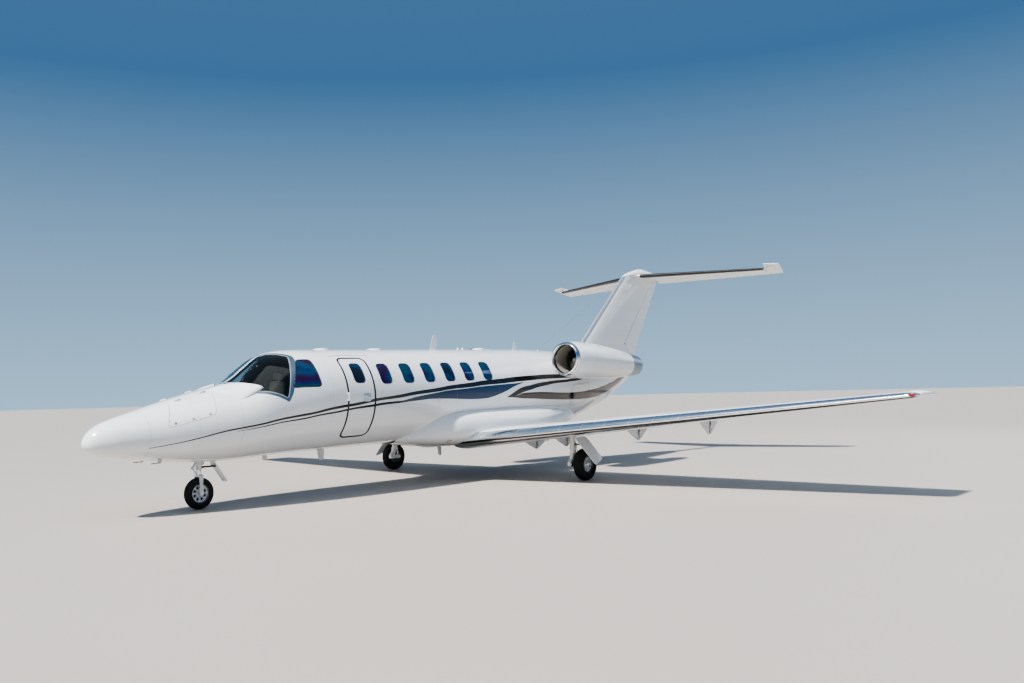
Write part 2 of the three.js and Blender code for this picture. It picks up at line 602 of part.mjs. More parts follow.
// Aft body: an equipment and baggage bay, closed forward by the cabin's rear bulkhead
const AFT_DOOR = { front: 10.05, back: 10.72, low: -30, high: 2 };
const AFT_DOOR_OUTLINE = skinOutline([
  [AFT_DOOR.front, AFT_DOOR.low], [AFT_DOOR.front, AFT_DOOR.high],
  [AFT_DOOR.back, AFT_DOOR.high], [AFT_DOOR.back, AFT_DOOR.low],
], 60);
function aftBody() {
  const doorway = opening(AFT_DOOR_OUTLINE, [], { grow: MOVE_GAP }).intersect(doorSweep(AFT_DOOR, MOVE_GAP));
  return bodySolid(CABIN_END, BODY_END).subtract(bodySolid(CABIN_END + 0.03, 13.5, BAY_WALL))
    .subtract(doorway).add(shellKnuckles(AFT_DOOR));
}
plane.add(piece('aft_body', aftBody(), 'paint'));
const aftDoorLeaf = skinPatch(AFT_DOOR_OUTLINE, BAY_DOOR_DEPTHS, { rings: 2 }).intersect(doorSweep(AFT_DOOR, 0));
plane.add(piece('aft_baggage_door', aftDoorLeaf.add(doorKnuckle(AFT_DOOR)), 'paint'));

// Belly fairing that carries the wing: station, half width, height of the widest point, bottom
const FAIRING = [
  [5.35, 0.22, 0.80, 0.745],
  [5.80, 0.60, 0.90, 0.690],
  [6.30, 0.86, 0.95, 0.645],
  [6.80, 0.97, 0.96, 0.620],
  [7.60, 1.00, 0.97, 0.612],
  [8.60, 0.99, 0.98, 0.635],
  [9.40, 0.88, 1.02, 0.700],
  [10.2, 0.62, 1.06, 0.840],
  [10.9, 0.22, 1.10, 0.990],
];
function fairingSolid(outward = 0) {
  const from = FAIRING[0][0];
  const to = FAIRING[FAIRING.length - 1][0];
  const steps = 10;
  const rings = [];
  for (let k = 0; k <= steps; k += 1) {
    const at = from + ((to - from) * k) / steps;
    const [half, middle, bottom] = [1, 2, 3].map((column) => alongTable(FAIRING, column, at) * 1000);
    const ring = [];
    for (let i = 0; i < 20; i += 1) {
      const angle = (i / 20) * 2 * Math.PI;
      const [c, s] = [Math.cos(angle), Math.sin(angle)];
      const rise = s > 0 ? 420 : middle - bottom;
      const squash = (v) => Math.sign(v) * Math.abs(v) ** 0.8;
      ring.push(new THREE.Vector3((half + outward) * squash(c), station(at), middle + (rise + outward) * squash(s)));
    }
    rings.push(ring);
  }
  return loft(rings);
}
const BODY_CLEAR = bodySolid(3, BODY_END, -JOINT_GAP);
plane.add(piece('belly_fairing', fairingSolid().subtract(BODY_CLEAR).add(blade(...BLADES.fairing_belly)), 'paint'));

// Wing: straight taper, the leading edge swept and raised a little
const WING = { rootX: 500, leadX: 956, leadY: 6.664, leadZ: 752, sweep: 0.0944, rise: 0.0933, chord0: 2420, chord1: 940 };
const wingLead = (x) => [x, station(WING.leadY) + WING.sweep * (x - WING.leadX), WING.leadZ + WING.rise * (x - WING.leadX)];
const wingChord = (x) => WING.chord0 + ((WING.chord1 - WING.chord0) * x) / WING_TIP_X;
const wingThickness = (x) => 0.15 - (0.04 * x) / WING_TIP_X;
const TIP_CAP = [[8010, 1, 1], [8070, 0.97, 0.85], [8110, 0.9, 0.6], [WING_TIP_X, 0.8, 0.25]];
const wingSolid = (drop = 0) => {
  const rib = (x, shorten = 1, thin = 1) => {
    const [, y, z] = wingLead(x);
    const chord = wingChord(x);
    return {
      edge: [x, y + chord * (1 - shorten) * 0.7, z - drop],
      chord: chord * shorten,
      thickness: (wingThickness(x) * thin) / shorten,
      camber: 0.015,
    };
  };
  return flyingSurface([rib(WING.rootX), ...TIP_CAP.map(([x, a, b]) => rib(x, a, b))], new THREE.Vector3(0, 0, 1));
};
// A point of the wing's camber line at a span place and a chord fraction
const wingAt = (x, fraction, lift = 0) => {
  const [, y, z] = wingLead(x);
  const chord = wingChord(x);
  return [x, y + fraction * chord, z + (4 * 0.015 * fraction * (1 - fraction)) * chord + lift];
};
const FLAP = { in: 1090, out: 4880, front: 0.72 };
const AILERON = { in: 4960, out: 7450, front: 0.76, radii: [52, 33] };
const FLAP_DROP = 270;   // the flap hinge lies this far below the wing's middle line

function mirrored(body) {
  const mesh = body.getMesh();
  const positions = new Float32Array(mesh.vertProperties);
  for (let i = 0; i < positions.length; i += 3) positions[i] = -positions[i];
  const geometry = new THREE.BufferGeometry();
  geometry.setAttribute('position', new THREE.BufferAttribute(positions, 3));
  geometry.setIndex(new THREE.BufferAttribute(new Uint32Array(mesh.triVerts), 1));
  return solid(geometry);
}

const FAIRING_CLEAR = fairingSolid(JOINT_GAP);
const wholeWing = wingSolid();
const aileronCut = hingedSurface(
  wholeWing, wingAt(AILERON.in, AILERON.front), wingAt(AILERON.out, AILERON.front), AILERON.radii,
);
const flapCut = hingedSurface(
  aileronCut.rest, wingAt(FLAP.in, FLAP.front), wingAt(FLAP.out, FLAP.front), [0, 0], 1,
);
// The flap hinges well below the wing, on triangular plates that hang from the wing's underside.
// Each plate stands between two sloped arms of the flap, whose pointed bosses reach up to its lug.
const FLAP_TRACKS = [1150, 1870, 3420, 4770];
const TRACK = { half: 12, lug: 24, arm: 10, side: 6, back: 0.94 };
function flapTrack(x) {
  const [, py, pz] = wingAt(x, FLAP.front, -FLAP_DROP);
  const reach = 0.22 * wingChord(x);
  const outline = [
    [-reach, 0.75 * FLAP_DROP], [-18, -20], [0, -TRACK.lug], [TRACK.lug, 0], [10, 20], [-14, 60], [-14, FLAP_DROP - 20],
  ];
  return plate(outline.map(([y, z]) => [py + y, pz + z]), x - TRACK.half, x + TRACK.half);
}
const flapArms = FLAP_TRACKS.flatMap((x) => [1, -1].map((side) => {
  const [, py, pz] = wingAt(x, FLAP.front, -FLAP_DROP);
  const [, backY, backZ] = wingAt(x, TRACK.back);
  const inner = TRACK.half + TRACK.side;
  const [near, far] = side > 0 ? [x + inner, x + inner + TRACK.arm] : [x - inner - TRACK.arm, x - inner];
  const outline = [
    [py - 15, pz - 12], [py + 12, pz - 20], [backY, backZ - 22], [backY, backZ - 4], [py + 60, pz + FLAP_DROP - 30],
    [py + 10, pz + 20],
  ];
  return plate(outline, near, far)
    .add(bar([x + side * (TRACK.half + JOINT_GAP), py, pz], [x + side * (inner + 4), py, pz], 4, 14, 6));
}));
const flapBody = joined(flapCut.surface, ...flapArms);
const JACK_PAD = { x: 1900, fraction: 0.42, radius: 35, tall: 25 };
function wingBody() {
  const [px, py, pz] = wingAt(JACK_PAD.x, JACK_PAD.fraction);
  const under = pz - wingChord(JACK_PAD.x) * wingThickness(JACK_PAD.x) * 0.5;
  const pad = bar([px, py, under - JACK_PAD.tall], [px, py, pz], JACK_PAD.radius, JACK_PAD.radius, 12);
  return joined(flapCut.rest, pad, ...FLAP_TRACKS.map(flapTrack));
}
for (const [tag, side] of [['left', 1], ['right', -1]]) {
  const place = (body) => (side > 0 ? body : mirrored(body));
  const wing = place(wingBody()).subtract(FAIRING_CLEAR).subtract(BODY_CLEAR);
  plane.add(piece(`wing_${tag}`, wing, 'paint'));
  plane.add(piece(`flap_${tag}`, place(flapBody), 'paint'));
  plane.add(piece(`aileron_${tag}`, place(aileronCut.surface), 'paint'));
}

// Fin and rudder
const FIN = { lowZ: 2350, highZ: 4350, leadY: 11.936, leadZ: 3047, leadSlope: 0.895, trailY: 13.72, trailZ: 2359, trailSlope: 1.5 };
const finLead = (z) => station(FIN.leadY) + (z - FIN.leadZ) / FIN.leadSlope;
const finTrail = (z) => station(FIN.trailY) + (z - FIN.trailZ) / FIN.trailSlope;
const finRib = (z, thickness) => ({ edge: [0, finLead(z), z], chord: finTrail(z) - finLead(z), thickness });
const finWhole = flyingSurface([finRib(FIN.lowZ, 0.09), finRib(FIN.highZ, 0.1)], new THREE.Vector3(1, 0, 0));
const RUDDER = { low: [0, station(13.335), 2693], high: [0, station(14.64), 4170], radii: [64, 36] };
const finHollow = flyingSurface([2200, 4150].map((z) => ({
  edge: [0, finLead(z) + 60, z], chord: (finTrail(z) - finLead(z)) * 0.62, thickness: 0.115,
})), new THREE.Vector3(1, 0, 0), 4);
const finCut = hingedSurface(finWhole, RUDDER.low, RUDDER.high, RUDDER.radii);
plane.add(piece('rudder', finCut.surface.subtract(BODY_CLEAR), 'paint'));

// Tailplane with its bullet on top of the fin
const TAIL = { rootY: 13.88, rootZ: 4400, tipX: 3073, tipY: 14.945, tipZ: 4336, rootChord: 1230, tipChord: 652.6 };
const tailRib = (x, thin = 1) => {
  const t = x / TAIL.tipX;
  const y = station(TAIL.rootY) + (TAIL.tipY - TAIL.rootY) * 1000 * t;
  return {
    edge: [x, y, TAIL.rootZ + (TAIL.tipZ - TAIL.rootZ) * t],
    chord: TAIL.rootChord + (TAIL.tipChord - TAIL.rootChord) * t,
    thickness: 0.1 * thin,
  };
};
const UP = new THREE.Vector3(0, 0, 1);
const tailHalf = flyingSurface([tailRib(0), tailRib(TAIL.tipX), tailRib(TAIL.tipX + 60, 0.4)], UP);
const elevatorHinge = (x) => {
  const rib = tailRib(x);
  return [x, rib.edge[1] + 0.66 * rib.chord, rib.edge[2]];
};
const ELEVATOR = { in: 150, out: 2790, radii: [42, 24], droop: 15 };
const tailCut = hingedSurface(tailHalf, elevatorHinge(ELEVATOR.in), elevatorHinge(ELEVATOR.out), ELEVATOR.radii);
// The elevator's horn balance takes in the whole tip, beyond a cut square to the hinge
const tipFrom = (gap) => box(tailCut.length - gap, tailCut.length + 700, -900, 900, -400, 400, tailCut.frame);
const elevatorFlat = tailCut.surface.add(tailHalf.intersect(tipFrom(JOINT_GAP)));
const tailFixed = tailCut.rest.subtract(tipFrom(MOVE_GAP));
const BULLET = [
  [13.42, 0.012, 0.010, 4.355],
  [13.55, 0.055, 0.050, 4.375],
  [13.80, 0.090, 0.105, 4.405],
  [14.20, 0.110, 0.150, 4.450],
  [14.65, 0.100, 0.125, 4.445],
  [15.05, 0.060, 0.070, 4.450],
  [15.25, 0.015, 0.015, 4.455],
];
const bullet = loft(BULLET.map(([at, half, rise, z]) => {
  const ring = [];
  for (let i = 0; i < 16; i += 1) {
    const angle = (i / 16) * 2 * Math.PI;
    ring.push(new THREE.Vector3(half * 1000 * Math.cos(angle), station(at), z * 1000 + rise * 1000 * Math.sin(angle)));
  }
  return ring;
}));
const tailHollow = flyingSurface([-50, 2700].map((x) => {
  const rib = tailRib(x);
  return { edge: [x, rib.edge[1] + 35, rib.edge[2]], chord: rib.chord * 0.55, thickness: 0.115 };
}), UP, 4);
const tailShaft = box(-25, 25, station(14.1), station(14.5), 4200, 4400);
const tailplane = joined(tailFixed, mirrored(tailFixed), bullet)
  .subtract(tailHollow).subtract(mirrored(tailHollow)).subtract(tailShaft);
const bulletClear = loft(BULLET.map(([at, half, rise, z]) => {
  const ring = [];
  const r = (v) => v * 1000 + JOINT_GAP;
  for (let i = 0; i < 16; i += 1) {
    const angle = (i / 16) * 2 * Math.PI;
    ring.push(new THREE.Vector3(r(half) * Math.cos(angle), station(at), z * 1000 + r(rise) * Math.sin(angle)));
  }
  return ring;
}));
const tailClear = flyingSurface([tailRib(0), tailRib(400)].map((rib) => ({
  ...rib, edge: [rib.edge[0], rib.edge[1] - 2, rib.edge[2]], chord: rib.chord + 4, thickness: rib.thickness + 0.001,
})), UP);
const fin = finCut.rest.subtract(BODY_CLEAR).subtract(finHollow).subtract(bulletClear)
  .subtract(tailClear).subtract(mirrored(tailClear));
plane.add(piece('fin', fin, 'paint'));

// A taut antenna wire from a post on the body to the top of the fin's leading edge
const WIRE = { postAt: 9.92, postTop: 2500, endZ: 4290, radius: 2 };
const wireStart = [0, station(WIRE.postAt), WIRE.postTop - 8];
const wireEnd = [0, finLead(WIRE.endZ) - 4, WIRE.endZ];
const postFoot = skinPoint(WIRE.postAt, Math.PI / 2).z - 10;
plane.add(piece('antenna_wire', joined(
  bar([0, wireStart[1], postFoot], [0, wireStart[1], WIRE.postTop], 9, 5, 8).subtract(BODY_CLEAR),
  bar(wireStart, wireEnd, WIRE.radius, WIRE.radius, 6),
), 'dark_metal'));
plane.add(piece('tailplane', tailplane, 'paint'));

// The elevators droop at rest, as they do on the ground
function drooped(body) {
  const turn = new THREE.Matrix4().makeTranslation(...elevatorHinge(ELEVATOR.in))
    .multiply(new THREE.Matrix4().makeRotationAxis(
      new THREE.Vector3(...elevatorHinge(ELEVATOR.out)).sub(new THREE.Vector3(...elevatorHinge(ELEVATOR.in))).normalize(),
      -ELEVATOR.droop * (Math.PI / 180),
    ))
    .multiply(new THREE.Matrix4().makeTranslation(...elevatorHinge(ELEVATOR.in).map((v) => -v)));
  const mesh = body.getMesh();
  const geometry = new THREE.BufferGeometry();
  geometry.setAttribute('position', new THREE.BufferAttribute(new Float32Array(mesh.vertProperties), 3));
  geometry.setIndex(new THREE.BufferAttribute(new Uint32Array(mesh.triVerts), 1));
  return solid(geometry, turn);
}
const elevator = drooped(elevatorFlat);
plane.add(piece('elevator_left', elevator, 'paint'));
plane.add(piece('elevator_right', mirrored(elevator), 'paint'));

// Engines: a hollow nacelle on a pylon, a plain core block inside and a fan in the intake
const ENGINE = { x: 1266, frontY: 9.10, frontZ: 2227, backY: 11.72, backZ: 2110 };
const engineAxis = new THREE.Vector3(0, station(ENGINE.backY) - station(ENGINE.frontY), ENGINE.backZ - ENGINE.frontZ).normalize();
const engineFrame = new THREE.Matrix4().makeBasis(
  new THREE.Vector3(1, 0, 0),
  engineAxis,
  new THREE.Vector3().crossVectors(new THREE.Vector3(1, 0, 0), engineAxis),
).setPosition(ENGINE.x, station(ENGINE.frontY), ENGINE.frontZ);
const turned = (profile, sides) => solid(
  new THREE.LatheGeometry(profile.map(([r, y]) => new THREE.Vector2(r, y)), sides), engineFrame,
);
const NACELLE_OUTSIDE = [
  [300, 2], [324, 24], [345, 120], [364, 400], [366, 800], [338, 1400], [300, 1850], [250, 2300], [215, 2620],
];
const NACELLE_INSIDE = [
  [200, 2620], [235, 2300], [310, 1400], [310, 640], [268, 600], [262, 160], [272, 40],
];
const NACELLE_SIDES = 18;
const nacelleShell = turned([...NACELLE_OUTSIDE, ...NACELLE_INSIDE, NACELLE_OUTSIDE[0]], NACELLE_SIDES);
const nacelleSolid = turned([[0, 2], ...NACELLE_OUTSIDE.map(([r, y]) => [r + JOINT_GAP, y]), [0, 2620]], NACELLE_SIDES);
const pylonRibs = [[620, 2150, 9.75, 1650], [1266, 2175, 9.75, 1450]];
const pylon = loft(pylonRibs.map(([x, z, at, chord]) => (
  sectionPoints(0.075, 0).map(([s, h]) => new THREE.Vector3(x, station(at) + s * chord, z + h * chord))
)));
const CORE_STRUT = 25;
const core = turned([[0, 520], [60, 520], [60, 560], [225, 620], [235, 1700], [170, 2100], [40, 2420], [0, 2420]], 14)
  .add(joined(...[0, 1, 2, 3].map((k) => {
    const angle = (k / 4) * 2 * Math.PI + Math.PI / 4;
    const reach = Math.sqrt((310 * Math.cos(Math.PI / NACELLE_SIDES)) ** 2 - CORE_STRUT ** 2) - JOINT_GAP;
    const [cx, cz] = [Math.cos(angle), Math.sin(angle)];
    const from = new THREE.Vector3(cx * 200, 1000, cz * 200).applyMatrix4(engineFrame);
    const to = new THREE.Vector3(cx * reach, 1000, cz * reach).applyMatrix4(engineFrame);
    return bar(from.toArray(), to.toArray(), CORE_STRUT, CORE_STRUT, 6);
  })));
const fan = turned([[0, 330], [30, 345], [75, 420], [95, 470], [255, 440], [255, 500], [61, 519.6], [0, 519.6]], 18);
for (const [tag, side] of [['left', 1], ['right', -1]]) {
  const place = (body) => (side > 0 ? body : mirrored(body));
  plane.add(piece(`nacelle_${tag}`, place(nacelleShell), 'paint'));
  plane.add(piece(`pylon_${tag}`, place(pylon.subtract(nacelleSolid)).subtract(BODY_CLEAR), 'paint'));
  plane.add(piece(`engine_core_${tag}`, place(core), 'dark_metal'));
  plane.add(piece(`fan_${tag}`, place(fan), 'dark_metal'));
}

// Cabin and cockpit floor, in the body's own slope
const slope = new THREE.Matrix4().makeTranslation(0, station(5), 0)
  .multiply(new THREE.Matrix4().makeRotationX(BODY_PITCH));
const insideCabin = bodySolid(NOSE_END + 0.04, CABIN_END - 0.005, CABIN_WALL + JOINT_GAP + 0.6)
  .subtract(opening(DOOR_OUTLINE, [], { grow: MOVE_GAP, rings: 3 }));
const FLOOR = { aisle: 260, low: 850, step: 25, ledge: 1080 };
const floorFront = 2.5;
function floorBody() {
  const [front, back] = [(floorFront - 5) * 1000, (CABIN_END - 0.01 - 5) * 1000];
  const trough = box(-FLOOR.aisle, FLOOR.aisle, front, back, FLOOR.low, FLOOR.low + FLOOR.step, slope);
  const sides = [1, -1].flatMap((side) => {
    const span = (a, b) => (side > 0 ? [a, b] : [-b, -a]);
    return [
      box(...span(FLOOR.aisle - 20, FLOOR.aisle), front, back, FLOOR.low, FLOOR.ledge, slope),
      box(...span(FLOOR.aisle - 20, 700), front, back, FLOOR.ledge - 20, FLOOR.ledge, slope),
    ];
  });
  return joined(trough, ...sides).intersect(insideCabin);
}
plane.add(piece('cabin_floor', floorBody(), 'carpet'));

// Instrument panel and glareshield
function instrumentPanel() {
  const dash = box(-560, 560, station(2.36), station(2.44), 1150, 1640);
  const shield = box(-600, 600, station(2.20), station(2.50), 1640, 1670);
  const console = box(-110, 110, station(2.40), station(2.78), 900, 1200);
  const foot = box(-560, 560, station(2.14), station(2.44), 1150, 1180);
  return joined(dash, shield, console, foot).intersect(bodySolid(NOSE_END + 0.04, 3.2, COCKPIT_WALL + JOINT_GAP + 0.6));
}

plane.add(piece('instrument_panel', instrumentPanel().subtract(
  box(-700, 700, station(floorFront) - 2, station(3.2), 500, 1000),
), 'panel'));

// Seats: base, cushion, back and headrest; facing is +1 when the sitter looks forward
function seat(x, baseX, at, floorHeight, facing, width) {
  const y = station(at);
  const reach = (a, b) => (facing > 0 ? [y + a, y + b] : [y - b, y - a]);
  const half = width / 2;
  return joined(
    box(baseX - 100, baseX + 100, ...reach(60, 430), floorHeight, floorHeight + 230),
    box(x - half, x + half, ...reach(0, 500), floorHeight + 220, floorHeight + 370),
    box(x - half + 10, x + half - 10, ...reach(400, 520), floorHeight + 250, floorHeight + 830),
    box(x - 110, x + 110, ...reach(420, 500), floorHeight + 820, floorHeight + 960),
  );
}
const floorAt = (at) => FLOOR.ledge * Math.cos(BODY_PITCH) + (station(at) - station(5)) * Math.sin(BODY_PITCH);
const CREW_SEAT = { x: 330, at: 2.92 };
for (const [tag, side] of [['left', 1], ['right', -1]]) {
  const height = floorAt(CREW_SEAT.at + 0.45) + JOINT_GAP;
  plane.add(piece(`crew_seat_${tag}`, seat(side * CREW_SEAT.x, side * CREW_SEAT.x, CREW_SEAT.at, height, 1, 440), 'leather'));
}
const CABIN_SEATS = [[5.45, -1], [6.15, 1], [7.25, 1]];
for (const [tag, side] of [['left', 1], ['right', -1]]) {
  const rail = box(
    side * 400 - 30, side * 400 + 30, (4.9 - 5) * 1000, (7.8 - 5) * 1000, FLOOR.ledge + JOINT_GAP, FLOOR.ledge + 20, slope,
  );
  const seats = CABIN_SEATS.map(([at, facing]) => seat(side * 435, side * 400, at, floorAt(at) + 14, facing, 400));
  plane.add(piece(`cabin_seats_${tag}`, joined(rail, ...seats), 'leather'));
}

// Wheels: one body of tyre and hub, turned about X
function wheel({ radius, width }, bore) {
  const half = width / 2;
  const profile = [
    [bore, -half * 0.5], [radius * 0.4, -half * 0.6], [radius * 0.62, -half * 0.96],
    [radius * 0.9, -half * 0.85], [radius, -half * 0.4], [radius, half * 0.4], [radius * 0.9, half * 0.85],
    [radius * 0.62, half * 0.96], [radius * 0.4, half * 0.6], [bore, half * 0.5],
    [bore, -half * 0.5],
  ];
  const shape = new THREE.LatheGeometry(profile.map(([r, y]) => new THREE.Vector2(r, y)), 18);
  shape.rotateZ(-Math.PI / 2);
  return solid(shape);
}
const AXLE_RADIUS = 24;
const BORE_GAP = 0.9;   // the flat sides of the bore come closer to the axle than its corners

// Nose gear: a fixed strut, a fork that steers about it and the wheel on its axle
const STRUT = { radius: 45, top: NOSE_FLOOR.bottom - JOINT_GAP, split: 560 };
const noseY = station(NOSE_WHEEL.y);
const NOSE_DOOR_PLATE = { half: 75, topY: noseY + 213, topZ: 690, footY: noseY + 450, footZ: 365, thick: 10 };
const noseLeg = joined(
  bar([0, noseY, STRUT.split], [0, noseY, STRUT.top], STRUT.radius),
  bar([0, noseY, 640], [0, noseY, 700], 58, 58),
  bar([-LEG_BAY.half + JOINT_GAP, noseY, 900], [LEG_BAY.half - JOINT_GAP, noseY, 900], 22),
  bar([0, noseY, 670], [0, noseY + 195, 960], 18, 18, 10),
  ...[1, -1].map((side) => bar([side * 38, noseY + 20, 605], [side * 38, noseY + 262, 605], 9, 9, 6)),
);
plane.add(piece('nose_gear_leg', noseLeg, 'gear_white'));
const forkSide = NOSE_WHEEL.width / 2 + 14;
const noseFork = joined(
  bar([0, noseY, 490], [0, noseY, STRUT.split - JOINT_GAP], 34),
  box(-forkSide - 14, forkSide + 14, noseY - 35, noseY + 35, 462, 500),
  ...[1, -1].map((side) => box(
    side * forkSide - 12, side * forkSide + 12, noseY - 32, noseY + 32, NOSE_WHEEL.radius - 40, 470,
  )),
  bar([-forkSide - 20, noseY, NOSE_WHEEL.radius], [forkSide + 20, noseY, NOSE_WHEEL.radius], AXLE_RADIUS),
);
plane.add(piece('nose_gear_fork', noseFork, 'gear_white'));
const noseWheelMesh = piece('nose_wheel', wheel(NOSE_WHEEL, AXLE_RADIUS + BORE_GAP), 'tyre');
noseWheelMesh.position.set(0, noseY, NOSE_WHEEL.radius);
plane.add(noseWheelMesh);
// The one door that stays open behind the nose leg, hung from the rear edge of the leg's bay
const slant = [NOSE_DOOR_PLATE.footY - NOSE_DOOR_PLATE.topY, NOSE_DOOR_PLATE.footZ - NOSE_DOOR_PLATE.topZ];
const doorNormal = new THREE.Vector2(-slant[1], slant[0]).setLength(NOSE_DOOR_PLATE.thick);
const doorOutline = [
  [NOSE_DOOR_PLATE.topY, NOSE_DOOR_PLATE.topZ], [NOSE_DOOR_PLATE.footY, NOSE_DOOR_PLATE.footZ],
  [NOSE_DOOR_PLATE.footY + doorNormal.x, NOSE_DOOR_PLATE.footZ + doorNormal.y],
  [NOSE_DOOR_PLATE.topY + doorNormal.x, NOSE_DOOR_PLATE.topZ + doorNormal.y],
];
const noseGearDoor = plate(doorOutline, -NOSE_DOOR_PLATE.half, NOSE_DOOR_PLATE.half)
  .subtract(bodySolid(RADOME_END, NOSE_END, -JOINT_GAP));
plane.add(piece('nose_gear_door', noseGearDoor, 'paint'));

// Main gear: a leg down from the wing, widening to a lug ahead of it, a trailing link from there
// aft to the axle, and a damper from the link up to the leg
const mainY = station(MAIN_WHEEL.y);
const LEG = { x: 2310, y: mainY - 130, radius: 46, lug: 480, pivotY: mainY - 225, pivotZ: 285, half: 34 };
const legTopZ = wingAt(LEG.x, 0.45)[2];
const wingClear = wingSolid(JOINT_GAP);
const legLug = [
  [LEG.y - 50, LEG.lug], [LEG.y - 60, 400], [LEG.pivotY - 45, 320], [LEG.pivotY - 35, 250], [LEG.pivotY + 40, 240],
  [LEG.y + 20, 380], [LEG.y + 50, LEG.lug],
];
const link = [
  [LEG.pivotY - 30, LEG.pivotZ - 30], [mainY - 10, MAIN_WHEEL.radius - 38], [mainY + 36, MAIN_WHEEL.radius - 12],
  [mainY + 30, MAIN_WHEEL.radius + 28], [mainY - 30, MAIN_WHEEL.radius + 48], [LEG.pivotY - 30, LEG.pivotZ + 32],
];
const mainLeg = joined(
  bar([LEG.x, LEG.y, LEG.lug - 20], [LEG.x, LEG.y, legTopZ], LEG.radius),
  bar([LEG.x, LEG.y, 540], [LEG.x, LEG.y, 590], LEG.radius + 10, LEG.radius + 10, 12),
  plate(legLug, LEG.x - LEG.half, LEG.x + LEG.half),
  plate(link, LEG.x - 24, LEG.x + 24),
  bar([LEG.x, mainY - 30, 300], [LEG.x, LEG.y + 40, 600], 26, 26, 10),
  bar([LEG.x - 30, mainY, MAIN_WHEEL.radius], [MAIN_WHEEL.x + 70, mainY, MAIN_WHEEL.radius], AXLE_RADIUS + 6),
).subtract(wingClear);
const mainWheel = wheel(MAIN_WHEEL, AXLE_RADIUS + 6 + BORE_GAP);

// The main gear's door hangs outboard of the leg, sloped out over the wheel, on a link to the leg
const GEAR_DOOR = { x: 2425, top: 755, lean: 0.74, front: mainY - 208, back: mainY + 142, thick: 12, link: 640 };
const doorSlope = new THREE.Matrix4().makeTranslation(GEAR_DOOR.x, 0, GEAR_DOOR.top)
  .multiply(new THREE.Matrix4().makeRotationY(-GEAR_DOOR.lean));
const doorLinkX = GEAR_DOOR.x + (GEAR_DOOR.top - GEAR_DOOR.link) * Math.tan(GEAR_DOOR.lean);
const mainDoor = joined(
  plate([[GEAR_DOOR.front, 60], [GEAR_DOOR.front, -630], [GEAR_DOOR.back, -490], [GEAR_DOOR.back, 60]],
    -GEAR_DOOR.thick / 2, GEAR_DOOR.thick / 2, doorSlope),
  bar([LEG.x + LEG.radius + JOINT_GAP, LEG.y, GEAR_DOOR.link], [doorLinkX, LEG.y, GEAR_DOOR.link], 12, 12, 8),
).subtract(wingClear);
for (const [tag, side] of [['left', 1], ['right', -1]]) {
  const place = (body) => (side > 0 ? body : mirrored(body));
  plane.add(piece(`main_gear_leg_${tag}`, place(mainLeg), 'gear_white'));
  plane.add(piece(`main_gear_door_${tag}`, place(mainDoor), 'paint'));
  const mesh = piece(`main_wheel_${tag}`, place(mainWheel), 'tyre');
  mesh.position.set(side * MAIN_WHEEL.x, mainY, MAIN_WHEEL.radius);
  plane.add(mesh);
}

export default plane;
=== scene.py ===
"""The looks of a twin-engined business jet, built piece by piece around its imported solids."""
import math

import bpy
import numpy as np
from mathutils import Matrix, Vector
from mathutils.geometry import delaunay_2d_cdt


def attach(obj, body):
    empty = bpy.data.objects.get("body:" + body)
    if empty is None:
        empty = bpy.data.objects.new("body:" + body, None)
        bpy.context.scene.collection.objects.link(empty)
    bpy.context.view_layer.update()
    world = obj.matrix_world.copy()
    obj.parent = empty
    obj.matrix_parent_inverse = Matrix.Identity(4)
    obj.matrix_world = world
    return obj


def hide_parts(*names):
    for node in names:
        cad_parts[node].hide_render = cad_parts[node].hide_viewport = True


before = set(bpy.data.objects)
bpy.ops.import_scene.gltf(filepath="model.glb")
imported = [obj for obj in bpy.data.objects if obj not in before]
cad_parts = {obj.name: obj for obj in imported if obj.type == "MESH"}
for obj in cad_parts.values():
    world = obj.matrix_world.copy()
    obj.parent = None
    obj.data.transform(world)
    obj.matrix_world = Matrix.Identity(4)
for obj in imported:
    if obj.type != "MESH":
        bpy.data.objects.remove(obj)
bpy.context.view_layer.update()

# THE CAMERA, THE FLOOR AND THE LIGHT
# The jet is seen from ahead of its left wing, from just under the height of its windows. It
# stands on a wide pale floor in strong sun, under a clear sky and two large soft lights.
camera = bpy.data.objects.new("camera", bpy.data.cameras.new("camera"))
camera.data.lens = 31.22
camera.data.sensor_width = 36
camera.data.shift_x = 0.0629
camera.data.shift_y = 0.0018
camera.data.clip_end = 600
to_right = Vector((0.72980, 0.68323, -0.02438))
to_top = Vector((0.05761, -0.02592, 0.99800))
to_front = Vector((-0.68123, 0.72974, 0.05828))
camera.matrix_world = Matrix((to_right, to_top, -to_front)).transposed().to_4x4()
camera.location = (11.5602, -13.0816, 1.5632)
bpy.context.scene.collection.objects.link(camera)
bpy.context.scene.camera = camera

world = bpy.data.worlds.new("studio")
world.use_nodes = True
sky_tree = world.node_tree
sky_place = sky_tree.nodes.new("ShaderNodeTexCoord")
sky_parts = sky_tree.nodes.new("ShaderNodeSeparateXYZ")
sky_ramp = sky_tree.nodes.new("ShaderNodeValToRGB")
sky_ramp.color_ramp.elements[0].color = (0.46, 0.66, 0.84, 1)
sky_ramp.color_ramp.elements[1].color = (0.36, 0.45, 0.54, 1)
for height, colour in ((0.34, (0.10, 0.225, 0.42, 1)), (0.56, (0.13, 0.24, 0.42, 1))):
    sky_ramp.color_ramp.elements.new(height).color = colour
sky_tree.links.new(sky_place.outputs["Generated"], sky_parts.inputs["Vector"])
sky_tree.links.new(sky_parts.outputs["Z"], sky_ramp.inputs["Fac"])
sky_tree.links.new(sky_ramp.outputs["Color"], sky_tree.nodes["Background"].inputs["Color"])
sky_tree.nodes["Background"].inputs["Strength"].default_value = 0.75
bpy.context.scene.world = world
bpy.context.scene.view_settings.look = "AgX - High Contrast"


